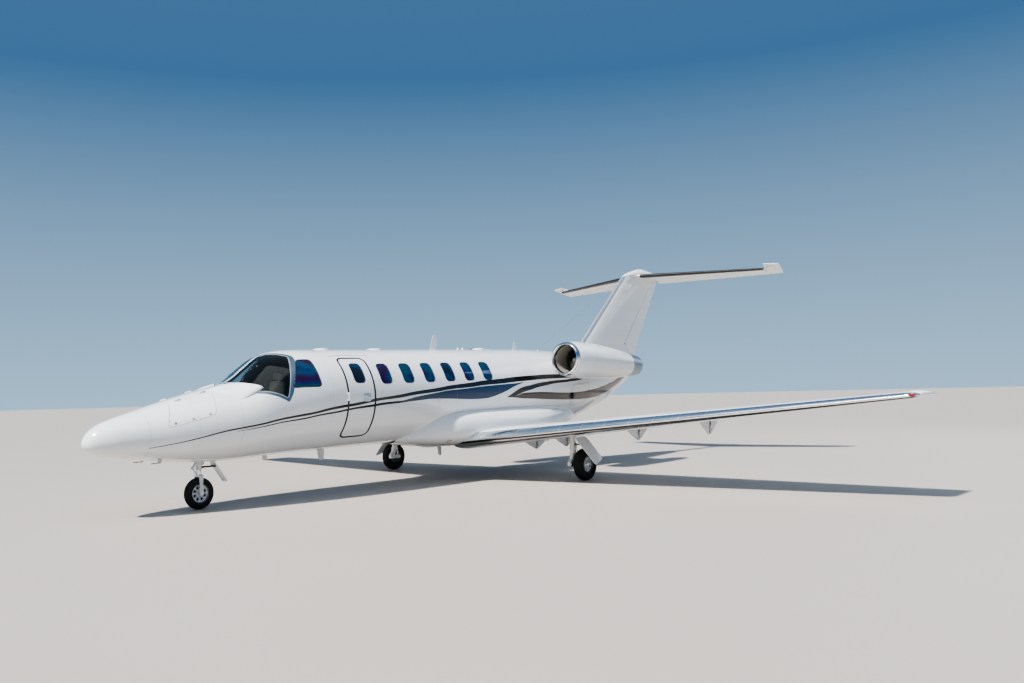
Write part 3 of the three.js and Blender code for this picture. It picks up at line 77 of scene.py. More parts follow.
def soft_light(name, place, aim, size, watts):
    """A square area light at a place, turned towards the point that it aims at."""
    lamp = bpy.data.objects.new(name, bpy.data.lights.new(name, "AREA"))
    lamp.data.size = size
    lamp.data.energy = watts
    lamp.location = place
    lamp.rotation_euler = (Vector(aim) - Vector(place)).to_track_quat("-Z", "Y").to_euler()
    bpy.context.scene.collection.objects.link(lamp)


soft_light("light_overhead", (5, -6, 17), aim=(0, 0, 1), size=14, watts=500)
soft_light("light_behind", (6, 19, 10), aim=(0, 3, 2), size=10, watts=300)
key = bpy.data.objects.new("light_key", bpy.data.lights.new("light_key", "SUN"))
key.data.energy = 5.6
key.data.angle = math.radians(3)
key.data.color = (1.0, 0.965, 0.92)
key.rotation_euler = Vector((0.07, 0.75, -1)).to_track_quat("-Z", "Y").to_euler()
bpy.context.scene.collection.objects.link(key)


# THE BODY SKIN
# The body is thin aluminium sheet over frames and stringers, riveted, filled and painted gloss
# white. It is a round barrel that tapers to the nose and sweeps up to the tail. All its shells,
# doors and windows lie on this one surface.
BODY = np.array((
    # metres aft of the nose tip, top, bottom, half width, height of the widest point
    (0.00, 1.062, 1.008, 0.028, 1.035),
    (0.02, 1.105, 0.970, 0.075, 1.037),
    (0.08, 1.190, 0.915, 0.155, 1.045),
    (0.20, 1.276, 0.862, 0.235, 1.058),
    (0.40, 1.358, 0.815, 0.325, 1.072),
    (0.75, 1.462, 0.772, 0.425, 1.092),
    (1.10, 1.565, 0.722, 0.515, 1.115),
    (1.50, 1.672, 0.690, 0.600, 1.150),
    (1.90, 1.765, 0.672, 0.672, 1.200),
    (2.10, 1.806, 0.670, 0.704, 1.235),
    (2.30, 1.910, 0.674, 0.731, 1.285),
    (2.50, 2.062, 0.682, 0.756, 1.340),
    (2.75, 2.232, 0.693, 0.779, 1.400),
    (3.00, 2.312, 0.702, 0.797, 1.450),
    (3.30, 2.347, 0.711, 0.812, 1.495),
    (3.62, 2.357, 0.717, 0.820, 1.537),
    (4.40, 2.373, 0.733, 0.820, 1.553),
    (9.20, 2.474, 0.834, 0.820, 1.654),
    (10.0, 2.468, 0.880, 0.800, 1.690),
    (10.8, 2.445, 0.985, 0.735, 1.750),
    (11.4, 2.430, 1.128, 0.655, 1.820),
    (12.0, 2.420, 1.305, 0.550, 1.900),
    (12.7, 2.420, 1.590, 0.420, 2.030),
    (13.3, 2.415, 1.850, 0.270, 2.160),
    (13.65, 2.325, 2.055, 0.150, 2.205),
    (13.85, 2.225, 2.165, 0.030, 2.195),
))
BODY_END = BODY[-1, 0]
HALF_LENGTH = 7.8       # stations count from the nose tip, Y from the middle of the length
BARREL = 0.82           # radius of the barrel; an arc on the skin is this times its angle
PITCH = 0.021           # how far the barrel rises aft, in radians


def along(table, column, at):
    """Smooth value of a column: a cubic from row to row, sloped at each row as its neighbours are."""
    x, y = table[:, 0], table[:, column]
    last = len(x) - 1
    after = np.minimum(np.arange(len(x)) + 1, last)
    before = np.maximum(np.arange(len(x)) - 1, 0)
    slopes = (y[after] - y[before]) / (x[after] - x[before])
    k = np.clip(np.searchsorted(x, at, side="right") - 1, 0, last - 1)
    span = x[k + 1] - x[k]
    t = np.clip((at - x[k]) / span, 0, 1)
    return ((2 * t**3 - 3 * t**2 + 1) * y[k] + (t**3 - 2 * t**2 + t) * span * slopes[k]
            + (3 * t**2 - 2 * t**3) * y[k + 1] + (t**3 - t**2) * span * slopes[k + 1])


def skin(at, angle, out=0.0):
    """Points of the skin: half width times the cosine of the angle across, and above or below the
    widest point the rise times its sine, moved out along the ring's normal."""
    top, bottom, half, middle = (along(BODY, column, np.asarray(at, float)) for column in (1, 2, 3, 4))
    rise = np.where(np.sin(angle) > 0, top - middle, middle - bottom)
    ring = np.stack([half * np.cos(angle), at - HALF_LENGTH, middle + rise * np.sin(angle)], -1)
    normal = np.stack([np.cos(angle) / half, np.zeros_like(half), np.sin(angle) / rise], -1)
    normal /= np.linalg.norm(normal, axis=-1, keepdims=True)
    return ring + np.asarray(out)[..., None] * normal


def skin_normals(at, angle):
    """The direction square to the skin, from two short steps along it and around it."""
    step = 0.004
    forward = skin(np.minimum(at + step, BODY_END), angle) - skin(np.maximum(at - step, 0), angle)
    around = skin(at, angle + step) - skin(at, angle - step)
    normal = np.cross(forward, around)
    return normal / np.linalg.norm(normal, axis=-1, keepdims=True)


def inside(points, outline):
    """Which points lie within an outline: those with an odd number of its edges on their left."""
    x, y = points[:, :1], points[:, 1:]
    ax, ay = outline.T
    bx, by = np.roll(outline, -1, 0).T
    spans = (ay > y) != (by > y)
    crossing = ax + (bx - ax) * (y - ay) / np.where(by == ay, 1e-12, by - ay)
    return np.sum(spans & (x < crossing), axis=1) % 2 == 1


def rounded(corners, radius, side=1, grow=0.0, steps=8, reach=0.05):
    """An outline on the skin through corners given as station and degrees. Each corner is a curve
    that starts and ends one radius away, straight parts have points a reach apart, and the whole
    is grown square to itself. Side -1 gives its mirror image on the right."""
    flat = np.array([(at, math.radians(degrees) * BARREL) for at, degrees in corners])
    points = []
    for before, corner, after in zip(np.roll(flat, 1, 0), flat, np.roll(flat, -1, 0)):
        start = corner + radius * (before - corner) / np.linalg.norm(before - corner)
        end = corner + radius * (after - corner) / np.linalg.norm(after - corner)
        t = np.linspace(0, 1, steps + 1)[:, None]
        points.append((1 - t) ** 2 * start + 2 * t * (1 - t) * corner + t**2 * end)
        following = after + radius * (corner - after) / np.linalg.norm(corner - after)
        count = max(int(np.linalg.norm(following - end) / reach), 1)
        points.append(end + (following - end) * np.linspace(0, 1, count + 1)[1:-1, None])
    outline = np.concatenate(points)
    tangent = np.roll(outline, -1, 0) - np.roll(outline, 1, 0)
    turn = np.sum(outline[:, 0] * np.roll(outline[:, 1], -1) - np.roll(outline[:, 0], -1) * outline[:, 1])
    outward = np.stack([tangent[:, 1], -tangent[:, 0]], -1) * np.sign(turn)
    outline = outline + grow * outward / np.linalg.norm(outward, axis=1, keepdims=True)
    if side < 0:
        outline = np.stack([outline[:, 0], math.pi * BARREL - outline[:, 1]], -1)
    return outline


def ring_outline(start, end, step=0.06):
    """The outline of a whole ring of skin between two stations, opened along the keel."""
    low, high = -0.5 * math.pi * BARREL, 1.5 * math.pi * BARREL
    across = np.linspace(start, end, max(int((end - start) / step), 2) + 1)
    around = np.linspace(low, high, int((high - low) / step) + 1)
    return np.concatenate([
        np.stack([across[:-1], np.full(len(across) - 1, low)], -1),
        np.stack([np.full(len(around) - 1, end), around[:-1]], -1),
        np.stack([across[:0:-1], np.full(len(across) - 1, high)], -1),
        np.stack([np.full(len(around) - 1, start), around[:0:-1]], -1),
    ])


def skin_net(outline, holes, step):
    """Triangles over the flat skin inside an outline and outside its holes: the points of the
    outlines, and a lattice of points one step apart that keeps clear of them."""
    rims = [outline, *holes]
    low, high = outline.min(0), outline.max(0)
    counts = np.ceil((high - low) / step).astype(int)
    lattice = np.stack(
        np.meshgrid(*[np.linspace(a, b, n + 1)[1:-1] for a, b, n in zip(low, high, counts)]), -1,
    )
    lattice = lattice.reshape(-1, 2)
    edge_points = np.concatenate(rims)
    keep = inside(lattice, outline)
    for hole in holes:
        keep &= ~inside(lattice, hole)
    lattice = lattice[keep]
    away = np.min(np.linalg.norm(lattice[:, None] - edge_points[None], axis=-1), axis=1) > 0.4 * step
    points = np.concatenate([edge_points, lattice[away]])
    edges = []
    first = 0
    for rim in rims:
        ids = np.arange(first, first + len(rim))
        edges.extend(zip(ids.tolist(), np.roll(ids, -1).tolist()))
        first += len(rim)
    found = delaunay_2d_cdt([Vector(p) for p in points.tolist()], edges, [], 0, 1e-7, False)
    flat = np.array([tuple(p) for p in found[0]])
    triangles = np.array([face for face in found[2] if len(face) == 3])
    middles = flat[triangles].mean(1)
    keep = inside(middles, outline)
    for hole in holes:
        keep &= ~inside(middles, hole)
    return flat, triangles[keep]


def walled_skin(outline, holes=(), out=0.0, wall=0.02, step=0.06, fit=None):
    """A closed shell on the skin: an outer sheet, an inner sheet one wall further in, and a rim
    between them along every free edge. Returns points, triangles, zones (0 outer, 1 inner, 2 rim)
    and the outer sheet's normals at each corner. A fit function may move the inner points."""
    flat, triangles = skin_net(outline, holes, step)
    outer = skin(flat[:, 0], flat[:, 1] / BARREL, out)
    first, welded = np.unique(np.round(outer, 5), axis=0, return_index=True, return_inverse=True)[1:]
    flat, outer = flat[first], outer[first]
    triangles = welded.reshape(-1)[triangles]
    triangles = triangles[(triangles != np.roll(triangles, 1, 1)).all(1)]
    inner = skin(flat[:, 0], flat[:, 1] / BARREL, out - wall)
    if fit is not None:
        inner = fit(inner)
    count = len(flat)
    edges = np.concatenate([triangles[:, [0, 1]], triangles[:, [1, 2]], triangles[:, [2, 0]]])
    free = edges[~np.isin(edges[:, 0] * count + edges[:, 1], edges[:, 1] * count + edges[:, 0])]
    a, b = free.T
    rim = np.concatenate([np.stack([b, a, a + count], -1), np.stack([b, a + count, b + count], -1)])
    faces = np.concatenate([triangles, triangles[:, ::-1] + count, rim])
    zones = np.repeat([0, 1, 2], [len(triangles), len(triangles), len(rim)])
    normals = np.full((len(faces), 3, 3), np.nan)
    square = skin_normals(flat[:, 0], flat[:, 1] / BARREL)
    normals[zones == 0] = square[triangles]
    normals[zones == 1] = -square[triangles[:, ::-1]]
    return np.concatenate([outer, inner]), faces, zones, normals


def piece(name, forms, finishes, stands_for=(), body="airframe", slot="paint", sharp=35):
    """One mesh of a form or a list of them, smooth up to a sharp angle. A form is points, triangles
    and, for a shell on the skin, zones and normals. Finishes give one material for all, or one for
    each form, or one for each zone of the form."""
    forms = forms if isinstance(forms, list) else [forms]
    finishes = finishes if isinstance(finishes, list) else [finishes]
    points, faces, zones, normals = [], [], [], []
    first = 0
    for k, form in enumerate(forms):
        points.append(form[0].reshape(-1, 3))
        faces.append(form[1] + first)
        first += len(points[-1])
        zones.append(form[2] if len(form) > 2 else np.full(len(form[1]), min(k, len(finishes) - 1)))
        normals.append(form[3] if len(form) > 2 else np.full((len(form[1]), 3, 3), np.nan))
    points, faces, zones, normals = (np.concatenate(rows) for rows in (points, faces, zones, normals))
    mesh = bpy.data.meshes.new(name)
    mesh.vertices.add(len(points))
    mesh.vertices.foreach_set("co", points.astype(np.float32).ravel())
    mesh.loops.add(faces.size)
    mesh.loops.foreach_set("vertex_index", faces.astype(np.int32).ravel())
    mesh.polygons.add(len(faces))
    mesh.polygons.foreach_set("loop_start", np.arange(0, faces.size, 3, dtype=np.int32))
    for finish in finishes:
        mesh.materials.append(finish)
    mesh.polygons.foreach_set("material_index", np.minimum(zones, len(finishes) - 1).astype(np.int32))
    mesh.update(calc_edges=True)
    mesh.shade_smooth()
    mesh.set_sharp_from_angle(angle=math.radians(sharp))
    if not np.isnan(normals).all():
        corners = np.zeros(faces.size * 3, np.float32)
        mesh.corner_normals.foreach_get("vector", corners)
        corners = corners.reshape(-1, 3)
        given = normals.reshape(-1, 3)
        corners = np.where(np.isnan(given), corners, given)
        mesh.normals_split_custom_set(corners.tolist())
    made = bpy.data.objects.new(name, mesh)
    bpy.context.scene.collection.objects.link(made)
    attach(made, body)
    if stands_for:
        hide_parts(*stands_for)
    return made


class Wire:
    """The output of a shader node. Arithmetic on it adds the Math nodes that work it out."""

    def __init__(self, tree, end):
        self.tree = tree
        self.end = end

    def node(self, kind, settings, inputs, out=0):
        """Any other node: its settings are set first, then its sockets' values or links."""
        made = self.tree.nodes.new(kind)
        for name, value in settings.items():
            if name == "stops":
                ramp = made.color_ramp
                while len(ramp.elements) < len(value):
                    ramp.elements.new(1)
                for element, (place, colour) in zip(ramp.elements, value):
                    element.position = place
                    element.color = (*colour, 1)
            elif name == "interpolation":
                made.color_ramp.interpolation = value
            else:
                setattr(made, name, value)
        for name, value in inputs.items():
            if isinstance(value, Wire):
                self.tree.links.new(value.end, made.inputs[name])
            else:
                made.inputs[name].default_value = value
        return Wire(self.tree, made.outputs[out])

    def math(self, operation, first, second=0.0):
        return self.node("ShaderNodeMath", {"operation": operation}, {0: first, 1: second})

    def __add__(self, other):
        return self.math("ADD", self, other)

    def __sub__(self, other):
        return self.math("SUBTRACT", self, other)

    def __rsub__(self, other):
        return self.math("SUBTRACT", other, self)

    def __mul__(self, other):
        return self.math("MULTIPLY", self, other)

    def __truediv__(self, other):
        return self.math("DIVIDE", self, other)

    def __abs__(self):
        return self.math("ABSOLUTE", self)

    __radd__ = __add__
    __rmul__ = __mul__

    def fraction(self):
        """What is left of this value over the whole number below it."""
        return self.math("FRACT", self)

    def limited(self):
        """The same value, kept from 0 to 1."""
        return self.node("ShaderNodeClamp", {}, {"Value": self})

    def larger(self, other):
        return self.math("MAXIMUM", self, other)


    def mix(self, first, second):
        """A colour that goes from the first to the second as this mask goes from 0 to 1."""
        return self.node("ShaderNodeMix", {"data_type": "RGBA"}, {0: self, 6: first, 7: second}, out=2)

    def parts(self):
        """The X, Y and Z of this vector."""
        split = self.node("ShaderNodeSeparateXYZ", {}, {"Vector": self})
        return [Wire(self.tree, end) for end in split.end.node.outputs]

    def noise(self, scale, detail=2.0):
        """A cloudy value about 0.5 over this place, with so many clouds to the metre."""
        return self.node("ShaderNodeTexNoise", {}, {"Vector": self, "Scale": scale, "Detail": detail})

    def cells(self, scale):
        """The distance to the nearest of scattered points, with so many of them to the metre."""
        return self.node("ShaderNodeTexVoronoi", {}, {"Vector": self, "Scale": scale})

    def stretched(self, scale):
        """This place, stretched or squeezed along each axis."""
        return self.node("ShaderNodeVectorMath", {"operation": "MULTIPLY"}, {0: self, 1: scale})

    def ramp(self, *stops, smooth="LINEAR"):
        """A colour for each value, between stops of a value and a colour."""
        return self.node("ShaderNodeValToRGB", {"stops": stops, "interpolation": smooth}, {"Fac": self})

    def near(self, middle, half, soft):
        """1 within half a width of the middle, and 0 beyond a soft edge."""
        return ((half - abs(self - middle)) / soft + 0.5).limited()

    def over(self, limit, soft):
        """1 above a limit and 0 below it, over a soft edge."""
        return ((self - limit) / soft + 0.5).limited()


def finish_of(name, **constants):
    """A new material. The constants are set on its shader's own sockets, with spaces for
    underscores. Returns the material, its shader, and the place on the piece as a wire."""
    material = bpy.data.materials.new(name)
    material.use_nodes = True
    tree = material.node_tree
    shader = tree.nodes["Principled BSDF"]
    for socket, value in constants.items():
        shader.inputs[socket.replace("_", " ")].default_value = value
    return material, shader, Wire(tree, tree.nodes.new("ShaderNodeTexCoord").outputs["Object"])


def feed(shader, socket, wire):
    wire.tree.links.new(wire.end, shader.inputs[socket])


def raise_by(shader, height, depth):
    """Raises the surface by a height from 0 to 1, times a depth in metres."""
    feed(
        shader, "Normal",
        height.node("ShaderNodeBump", {}, {"Height": height, "Distance": depth, "Strength": 1.0}),
    )


def cloudy(name, scale, detail, dark, light, stretch=(1, 1, 1), rough=None, grain=None, depth=0, **constants):
    """A finish whose colour drifts from dark to light with a noise. Rough is the roughness where
    that noise is 0 and what it gains up to 1. The surface is raised to a depth by the same noise,
    or by a grain of its own scale and detail."""
    finish, shader, place = finish_of(name, **constants)
    clouds = place.stretched(stretch).noise(scale, detail)
    feed(shader, "Base Color", clouds.mix((*dark, 1), (*light, 1)))
    if rough:
        feed(shader, "Roughness", clouds * rough[1] + rough[0])
    if depth:
        raise_by(shader, place.noise(*grain) if grain else clouds, depth)
    return finish


def line_at(place, knots, tallest=5.0):
    """A smooth line along the body: its value at each station, through knots of station and value."""
    stops = [(at / (2 * HALF_LENGTH), (value / tallest,) * 3) for at, value in knots]
    station = (place.parts()[1] + HALF_LENGTH) / (2 * HALF_LENGTH)
    return station.ramp(*stops, smooth="CARDINAL") * tallest


WHITE = (0.80, 0.81, 0.82, 1)
SEAM = (0.30, 0.31, 0.32, 1)
BLACK = (0.012, 0.012, 0.014, 1)
BLUE = (0.014, 0.045, 0.11, 1)
TAUPE = (0.075, 0.060, 0.052, 1)

# The upper black line runs from the nose to the tail under the windows, and a thinner one under
# it widens into a blue band behind the door. A grey-brown chevron starts over the wing.
UPPER_LINE = (
    (0.7, 0.938), (1.6, 1.096), (2.5, 1.241), (3.4, 1.370), (4.3, 1.490), (5.2, 1.588), (6.1, 1.681),
    (7.0, 1.757), (7.9, 1.820), (8.8, 1.873), (9.7, 1.902), (10.6, 1.912), (11.5, 1.964), (12.4, 2.013),
    (13.3, 2.060),
)
UPPER_HALF = (
    (0.7, 0.004), (1.4, 0.008), (2.1, 0.012), (2.8, 0.016), (3.5, 0.020), (5.0, 0.026), (6.5, 0.037),
    (8.0, 0.047), (9.6, 0.042), (11.3, 0.030), (12.8, 0.002),
)
LOWER_LINE = (
    (1.9, 1.118), (2.55, 1.204), (3.2, 1.284), (3.85, 1.366), (4.5, 1.434), (5.15, 1.480), (5.8, 1.512),
)
LOWER_HALF = (
    (1.9, 0.002), (2.2, 0.006), (2.8, 0.010), (3.5, 0.014), (4.4, 0.018), (5.0, 0.019), (5.5, 0.012),
    (5.8, 0.001),
)
BAND_TOP = ((4.8, 1.462), (5.36, 1.540), (6.06, 1.630), (6.90, 1.695), (8.19, 1.764), (8.6, 1.785))
BAND_BOTTOM = (
    (4.8, 1.462), (5.21, 1.500), (6.0, 1.506), (7.29, 1.491), (7.9, 1.64), (8.38, 1.775), (8.6, 1.80),
)
ARM_UP = (
    (7.84, 1.498), (8.24, 1.610), (8.73, 1.702), (9.24, 1.765), (9.9, 1.808), (10.4, 1.850),
    (11.3, 1.930), (12.3, 1.985),
)
ARM_UP_HALF = ((7.84, 0.001), (8.1, 0.045), (8.6, 0.045), (9.4, 0.030), (10.4, 0.022), (12.3, 0.002))
ARM_TOP = (
    (7.84, 1.499), (8.30, 1.545), (8.88, 1.562), (9.89, 1.537), (10.66, 1.572), (11.27, 1.640),
    (11.73, 1.720), (12.09, 1.800), (12.9, 2.0),
)
ARM_BOTTOM = ((7.84, 1.497), (8.30, 1.475), (8.90, 1.452), (9.93, 1.420), (10.86, 1.437), (11.4, 1.500),
              (11.9, 1.620), (12.4, 1.780), (12.9, 1.96))


def scheme(place):
    """The painted colour at a place on the body: white, with the stripes laid over it."""
    station = place.parts()[1] + HALF_LENGTH
    level = place.parts()[2]
    edge = 0.003

    def between(bottom, top, start, end):
        rows = (level - bottom).over(0, edge) * (top - level).over(0, edge)
        return rows * station.over(start, edge) * (end - station).over(0, edge)

    def line(middle, half, start, end):
        centre, reach = line_at(place, middle), line_at(place, half, tallest=0.2)
        return between(centre - reach, centre + reach, start, end)

    band = between(line_at(place, BAND_BOTTOM), line_at(place, BAND_TOP), 4.85, 8.39)
    arm_top, arm_bottom = line_at(place, ARM_TOP), line_at(place, ARM_BOTTOM)
    arm = between(arm_bottom, arm_top, 7.85, 12.85)
    arm_rim = (level - arm_top).near(0.004, 0.017, edge).larger((level - arm_bottom).near(0.0, 0.007, edge))
    arm_rim = arm_rim * station.over(8.0, edge) * (12.85 - station).over(0, edge)
    black = line(UPPER_LINE, UPPER_HALF, 0.72, 12.8).larger(line(LOWER_LINE, LOWER_HALF, 1.95, 5.8))
    black = black.larger(line(ARM_UP, ARM_UP_HALF, 7.85, 12.3)).larger(arm_rim * station.over(8.2, 0.3))
    return black.mix(arm.mix(band.mix(WHITE, BLUE), TAUPE), BLACK)


# Sheets meet in fine filled joints: at these stations, and at one height along the barrel, which
# rises aft with it.
JOINTS = (0.752, 1.42, 2.052, 3.62, 4.62, 6.45, 7.62, 9.2, 10.0, 10.95, 11.9, 12.9)
STRINGER = 1.28
paint, paint_shader, paint_place = finish_of(
    "body_paint", Roughness=0.16, Coat_Weight=0.6, Coat_Roughness=0.04,
)
paint_station = paint_place.parts()[1] + HALF_LENGTH
stringer_level = paint_place.parts()[2] - paint_place.parts()[1] * PITCH
joint_lines = abs(stringer_level - STRINGER).near(0.0, 0.0009, 0.0008)
for joint in JOINTS:
    joint_lines = joint_lines.larger(paint_station.near(joint, 0.0012, 0.001))
grime = paint_place.stretched((1, 0.35, 1)).noise(3.2, 5.0) * 0.10
feed(
    paint_shader, "Base Color",
    (joint_lines * 0.55 + grime * 0.6).limited().mix(scheme(paint_place), SEAM),
)
feed(paint_shader, "Roughness", grime + 0.10 + joint_lines * 0.3)
raise_by(paint_shader, paint_place.noise(2.2, 1.0) * 0.6 - joint_lines * 0.5, 0.0009)

lining = cloudy(
    "cabin_lining", 900, 1, (0.40, 0.37, 0.32), (0.52, 0.48, 0.42), depth=0.0004, Roughness=0.75,
)
seal = cloudy(
    "door_seal_rubber", 45, 3, (0.10, 0.105, 0.11), (0.20, 0.205, 0.21), depth=0.0006, Roughness=0.6,
)

glass, glass_shader, glass_place = finish_of(
    "cockpit_glass", Base_Color=(0.62, 0.70, 0.70, 1), Roughness=0.02, IOR=1.45, Transmission_Weight=1.0,
)
feed(glass_shader, "Roughness", glass_place.noise(6.0, 3.0) * 0.03 + 0.005)

tint, tint_shader, tint_place = finish_of(
    "tinted_glass", Roughness=0.04, Coat_Weight=1.0, Coat_Roughness=0.02,
)
film = (tint_place.stretched((1, 1, 1.6)).noise(2.4, 0.0) - 0.5) * 2.2 + 0.5
shade = film.ramp(
    (0.10, (0.010, 0.022, 0.045)), (0.34, (0.016, 0.075, 0.22)), (0.50, (0.018, 0.14, 0.17)),
    (0.66, (0.050, 0.050, 0.25)), (0.85, (0.10, 0.025, 0.13)),
)
feed(tint_shader, "Base Color", shade)
feed(tint_shader, "Metallic", film * 0.5 + 0.35)

floor_finish, floor_shader, floor_place = finish_of("pale_floor", Roughness=0.6)
patches = floor_place.noise(0.25, 6.0) * 0.5 + floor_place.noise(30.0, 4.0) * 0.5
feed(floor_shader, "Base Color", patches.mix((0.42, 0.380, 0.340, 1), (0.49, 0.45, 0.41, 1)))
floor_mesh = bpy.data.meshes.new("floor")
floor_mesh.from_pydata([(-300, -300, 0), (300, -300, 0), (300, 300, 0), (-300, 300, 0)], [], [(0, 1, 2, 3)])
floor_mesh.materials.append(floor_finish)
floor = bpy.data.objects.new("floor", floor_mesh)
bpy.context.scene.collection.objects.link(floor)


# THE RADOME AND THE NOSE
# The radome is a thin glass-fibre shell with a filled joint round its foot. Behind it the nose
# carries a baggage bay under two doors that hinge along their upper edges, and below its floor
# the narrow bay of the nose leg.
RADOME_END = 0.75
NOSE_END = 2.05
NOSE_DOOR = ((0.98, 14), (1.12, 66), (1.79, 70), (1.66, 22))
NOSE_DOOR_ROUND = 0.06
DOOR_GAP = 0.006
BAY_WALL = 0.025
LEG_BAY = (0.11, 1.62, 1.95, 1.03)      # half width, front and back station, floor height


def keel_hole(half, front, back):
    """The outline of a hole round the keel line, given its half width and its two stations. It is
    cut from the right edge of the flat skin and from the left one, as two halves."""
    reach = half / 0.60 * BARREL * 0.82
    low, high = -0.5 * math.pi * BARREL, 1.5 * math.pi * BARREL
    past = 0.05
    return [np.array([(front, start), (back, start), (back, end), (front, end)])
            for start, end in ((low - past, low + reach), (high - reach, high + past))]


def box_form(low, high):
    """The eight corners and twelve triangles of a box."""
    corners = np.array(
        [(x, y, z) for x in (low[0], high[0]) for y in (low[1], high[1]) for z in (low[2], high[2])]
    )
    quads = ((0, 1, 3, 2), (4, 6, 7, 5), (0, 4, 5, 1), (2, 3, 7, 6), (0, 2, 6, 4), (1, 5, 7, 3))
    return corners, np.array([tri for a, b, c, d in quads for tri in ((a, b, c), (a, c, d))])


def grid_faces(rows, columns, wrap):
    """Triangles of a grid of points, whose last column joins its first where it wraps."""
    r = np.arange(rows - 1)[:, None]
    c = np.arange(columns if wrap else columns - 1)[None, :]
    a = r * columns + c
    b = r * columns + (c + 1) % columns
    halves = (np.stack([a, b, b + columns], -1), np.stack([a, b + columns, a + columns], -1))
    return np.concatenate([half.reshape(-1, 3) for half in halves])


def outward(points, faces):
    """The faces, turned over if the volume inside them comes out negative."""
    a, b, c = (points[faces[:, k]] for k in range(3))
    return faces if np.sum(a * np.cross(b, c)) > 0 else faces[:, ::-1]


def loft_form(rings):
    """A closed form over rows of points, each row a ring: a wall from ring to ring, and at both
    ends a fan to the middle of the last ring."""
    rings = np.asarray(rings, float)
    rows, columns = rings.shape[:2]
    points = np.concatenate([rings.reshape(-1, 3), rings[:1].mean(1), rings[-1:].mean(1)])
    near = np.arange(columns)
    far = near + (rows - 1) * columns
    start = np.stack([np.full(columns, rows * columns), np.roll(near, -1), near], -1)
    end = np.stack([np.full(columns, rows * columns + 1), far, np.roll(far, -1)], -1)
    faces = np.concatenate([grid_faces(rows, columns, True), start, end])
    return points, outward(points, faces)


def across_axis(axis):
    """Two directions square to an axis and to each other."""
    axis = np.asarray(axis, float) / np.linalg.norm(axis)
    first = np.cross(axis, (0.0, 0.0, 1.0) if abs(axis[2]) < 0.9 else (1.0, 0.0, 0.0))
    first /= np.linalg.norm(first)
    return first, np.cross(axis, first)


def turned_form(profile, centre, axis, sides=48):
    """A closed form turned about an axis: each row of the profile is a radius and a distance along
    the axis from the centre. The profile starts and ends on the axis, or closes on itself."""
    profile = np.array(profile, float)
    first, second = across_axis(axis)
    axis = np.asarray(axis, float) / np.linalg.norm(axis)
    angle = np.arange(sides) * 2 * math.pi / sides
    spoke = np.cos(angle)[:, None] * first + np.sin(angle)[:, None] * second
    rings = np.asarray(centre) + profile[:, :1, None] * spoke + profile[:, 1:, None] * axis
    if profile[0, 0] > 0:
        points = rings.reshape(-1, 3)
        return points, outward(points, grid_faces(len(profile) + 1, sides, True) % len(points))
    if profile[0, 1] == profile[1, 1]:
        return loft_form(rings[1:-1])
    tips = [(np.asarray(centre) + at * axis + spoke * 1e-4)[None] for at in profile[[0, -1], 1]]
    return loft_form(np.concatenate([tips[0], rings[1:-1], tips[1]]))


def rod_form(start, end, radius, far_radius=None, sides=20, round_off=0.15):
    """A round bar between two points whose end edges are rounded off by a share of its radius."""
    start, end = np.asarray(start, float), np.asarray(end, float)
    length = np.linalg.norm(end - start)
    far_radius = radius if far_radius is None else far_radius
    near_cut, far_cut = radius * round_off, far_radius * round_off
    profile = ((0, 0), (radius - near_cut, 0), (radius, near_cut), (far_radius, length - far_cut),
               (far_radius - far_cut, length), (0, length))
    return turned_form(profile, start, end - start, sides)


def mirrored(form):
    """The form on the other side of the jet."""
    return (form[0] * (-1, 1, 1), form[1][:, ::-1], *form[2:])


BOTH = (("left", 1), ("right", -1))


def pair(name, forms, finishes, stands_for=(), body="airframe", **settings):
    """The same piece on the left and, mirrored, on the right. In the names {} stands for left or
    right, and {0[0]} for its first letter."""
    forms = forms if isinstance(forms, list) else [forms]
    for tag, side in BOTH:
        placed = forms if side > 0 else [mirrored(form) for form in forms]
        nodes = [node.format(tag) for node in stands_for]
        piece(name.format(tag), placed, finishes, nodes, body.format(tag), **settings)


def joined(*forms):
    """Several forms as one."""
    starts = np.cumsum([0] + [len(points) for points, _ in forms])
    return (np.concatenate([points for points, _ in forms]),
            np.concatenate([faces + start for (_, faces), start in zip(forms, starts)]))


composite, composite_shader, composite_place = finish_of("radome_shell", Roughness=0.17, Coat_Weight=0.5)
speckle = composite_place.noise(700.0, 2.0)
foot_joint = (composite_place.parts()[1] + HALF_LENGTH).near(RADOME_END, 0.0015, 0.001)
feed(composite_shader, "Base Color",
     (speckle * 0.06 + foot_joint * 0.7).limited().mix((0.79, 0.80, 0.80, 1), (0.25, 0.25, 0.25, 1)))
feed(composite_shader, "Roughness", speckle * 0.06 + 0.13)
raise_by(composite_shader, composite_place.noise(2.0, 1.0) * 0.7 - foot_joint * 0.5, 0.0009)

piece(
    "radome_skin", walled_skin(ring_outline(0.012, RADOME_END - 0.0004), wall=0.006, step=0.03),
    [composite, lining], ["nose_radome"], slot="composite",
)
tip_stations = np.array([0.0002, 0.003, 0.0065, 0.012])
tip_angles = np.arange(48) * 2 * math.pi / 48
piece(
    "radome_tip",
    loft_form(skin(tip_stations[:, None] + tip_angles * 0, tip_angles + tip_stations[:, None] * 0)),
    composite, slot="composite",
)

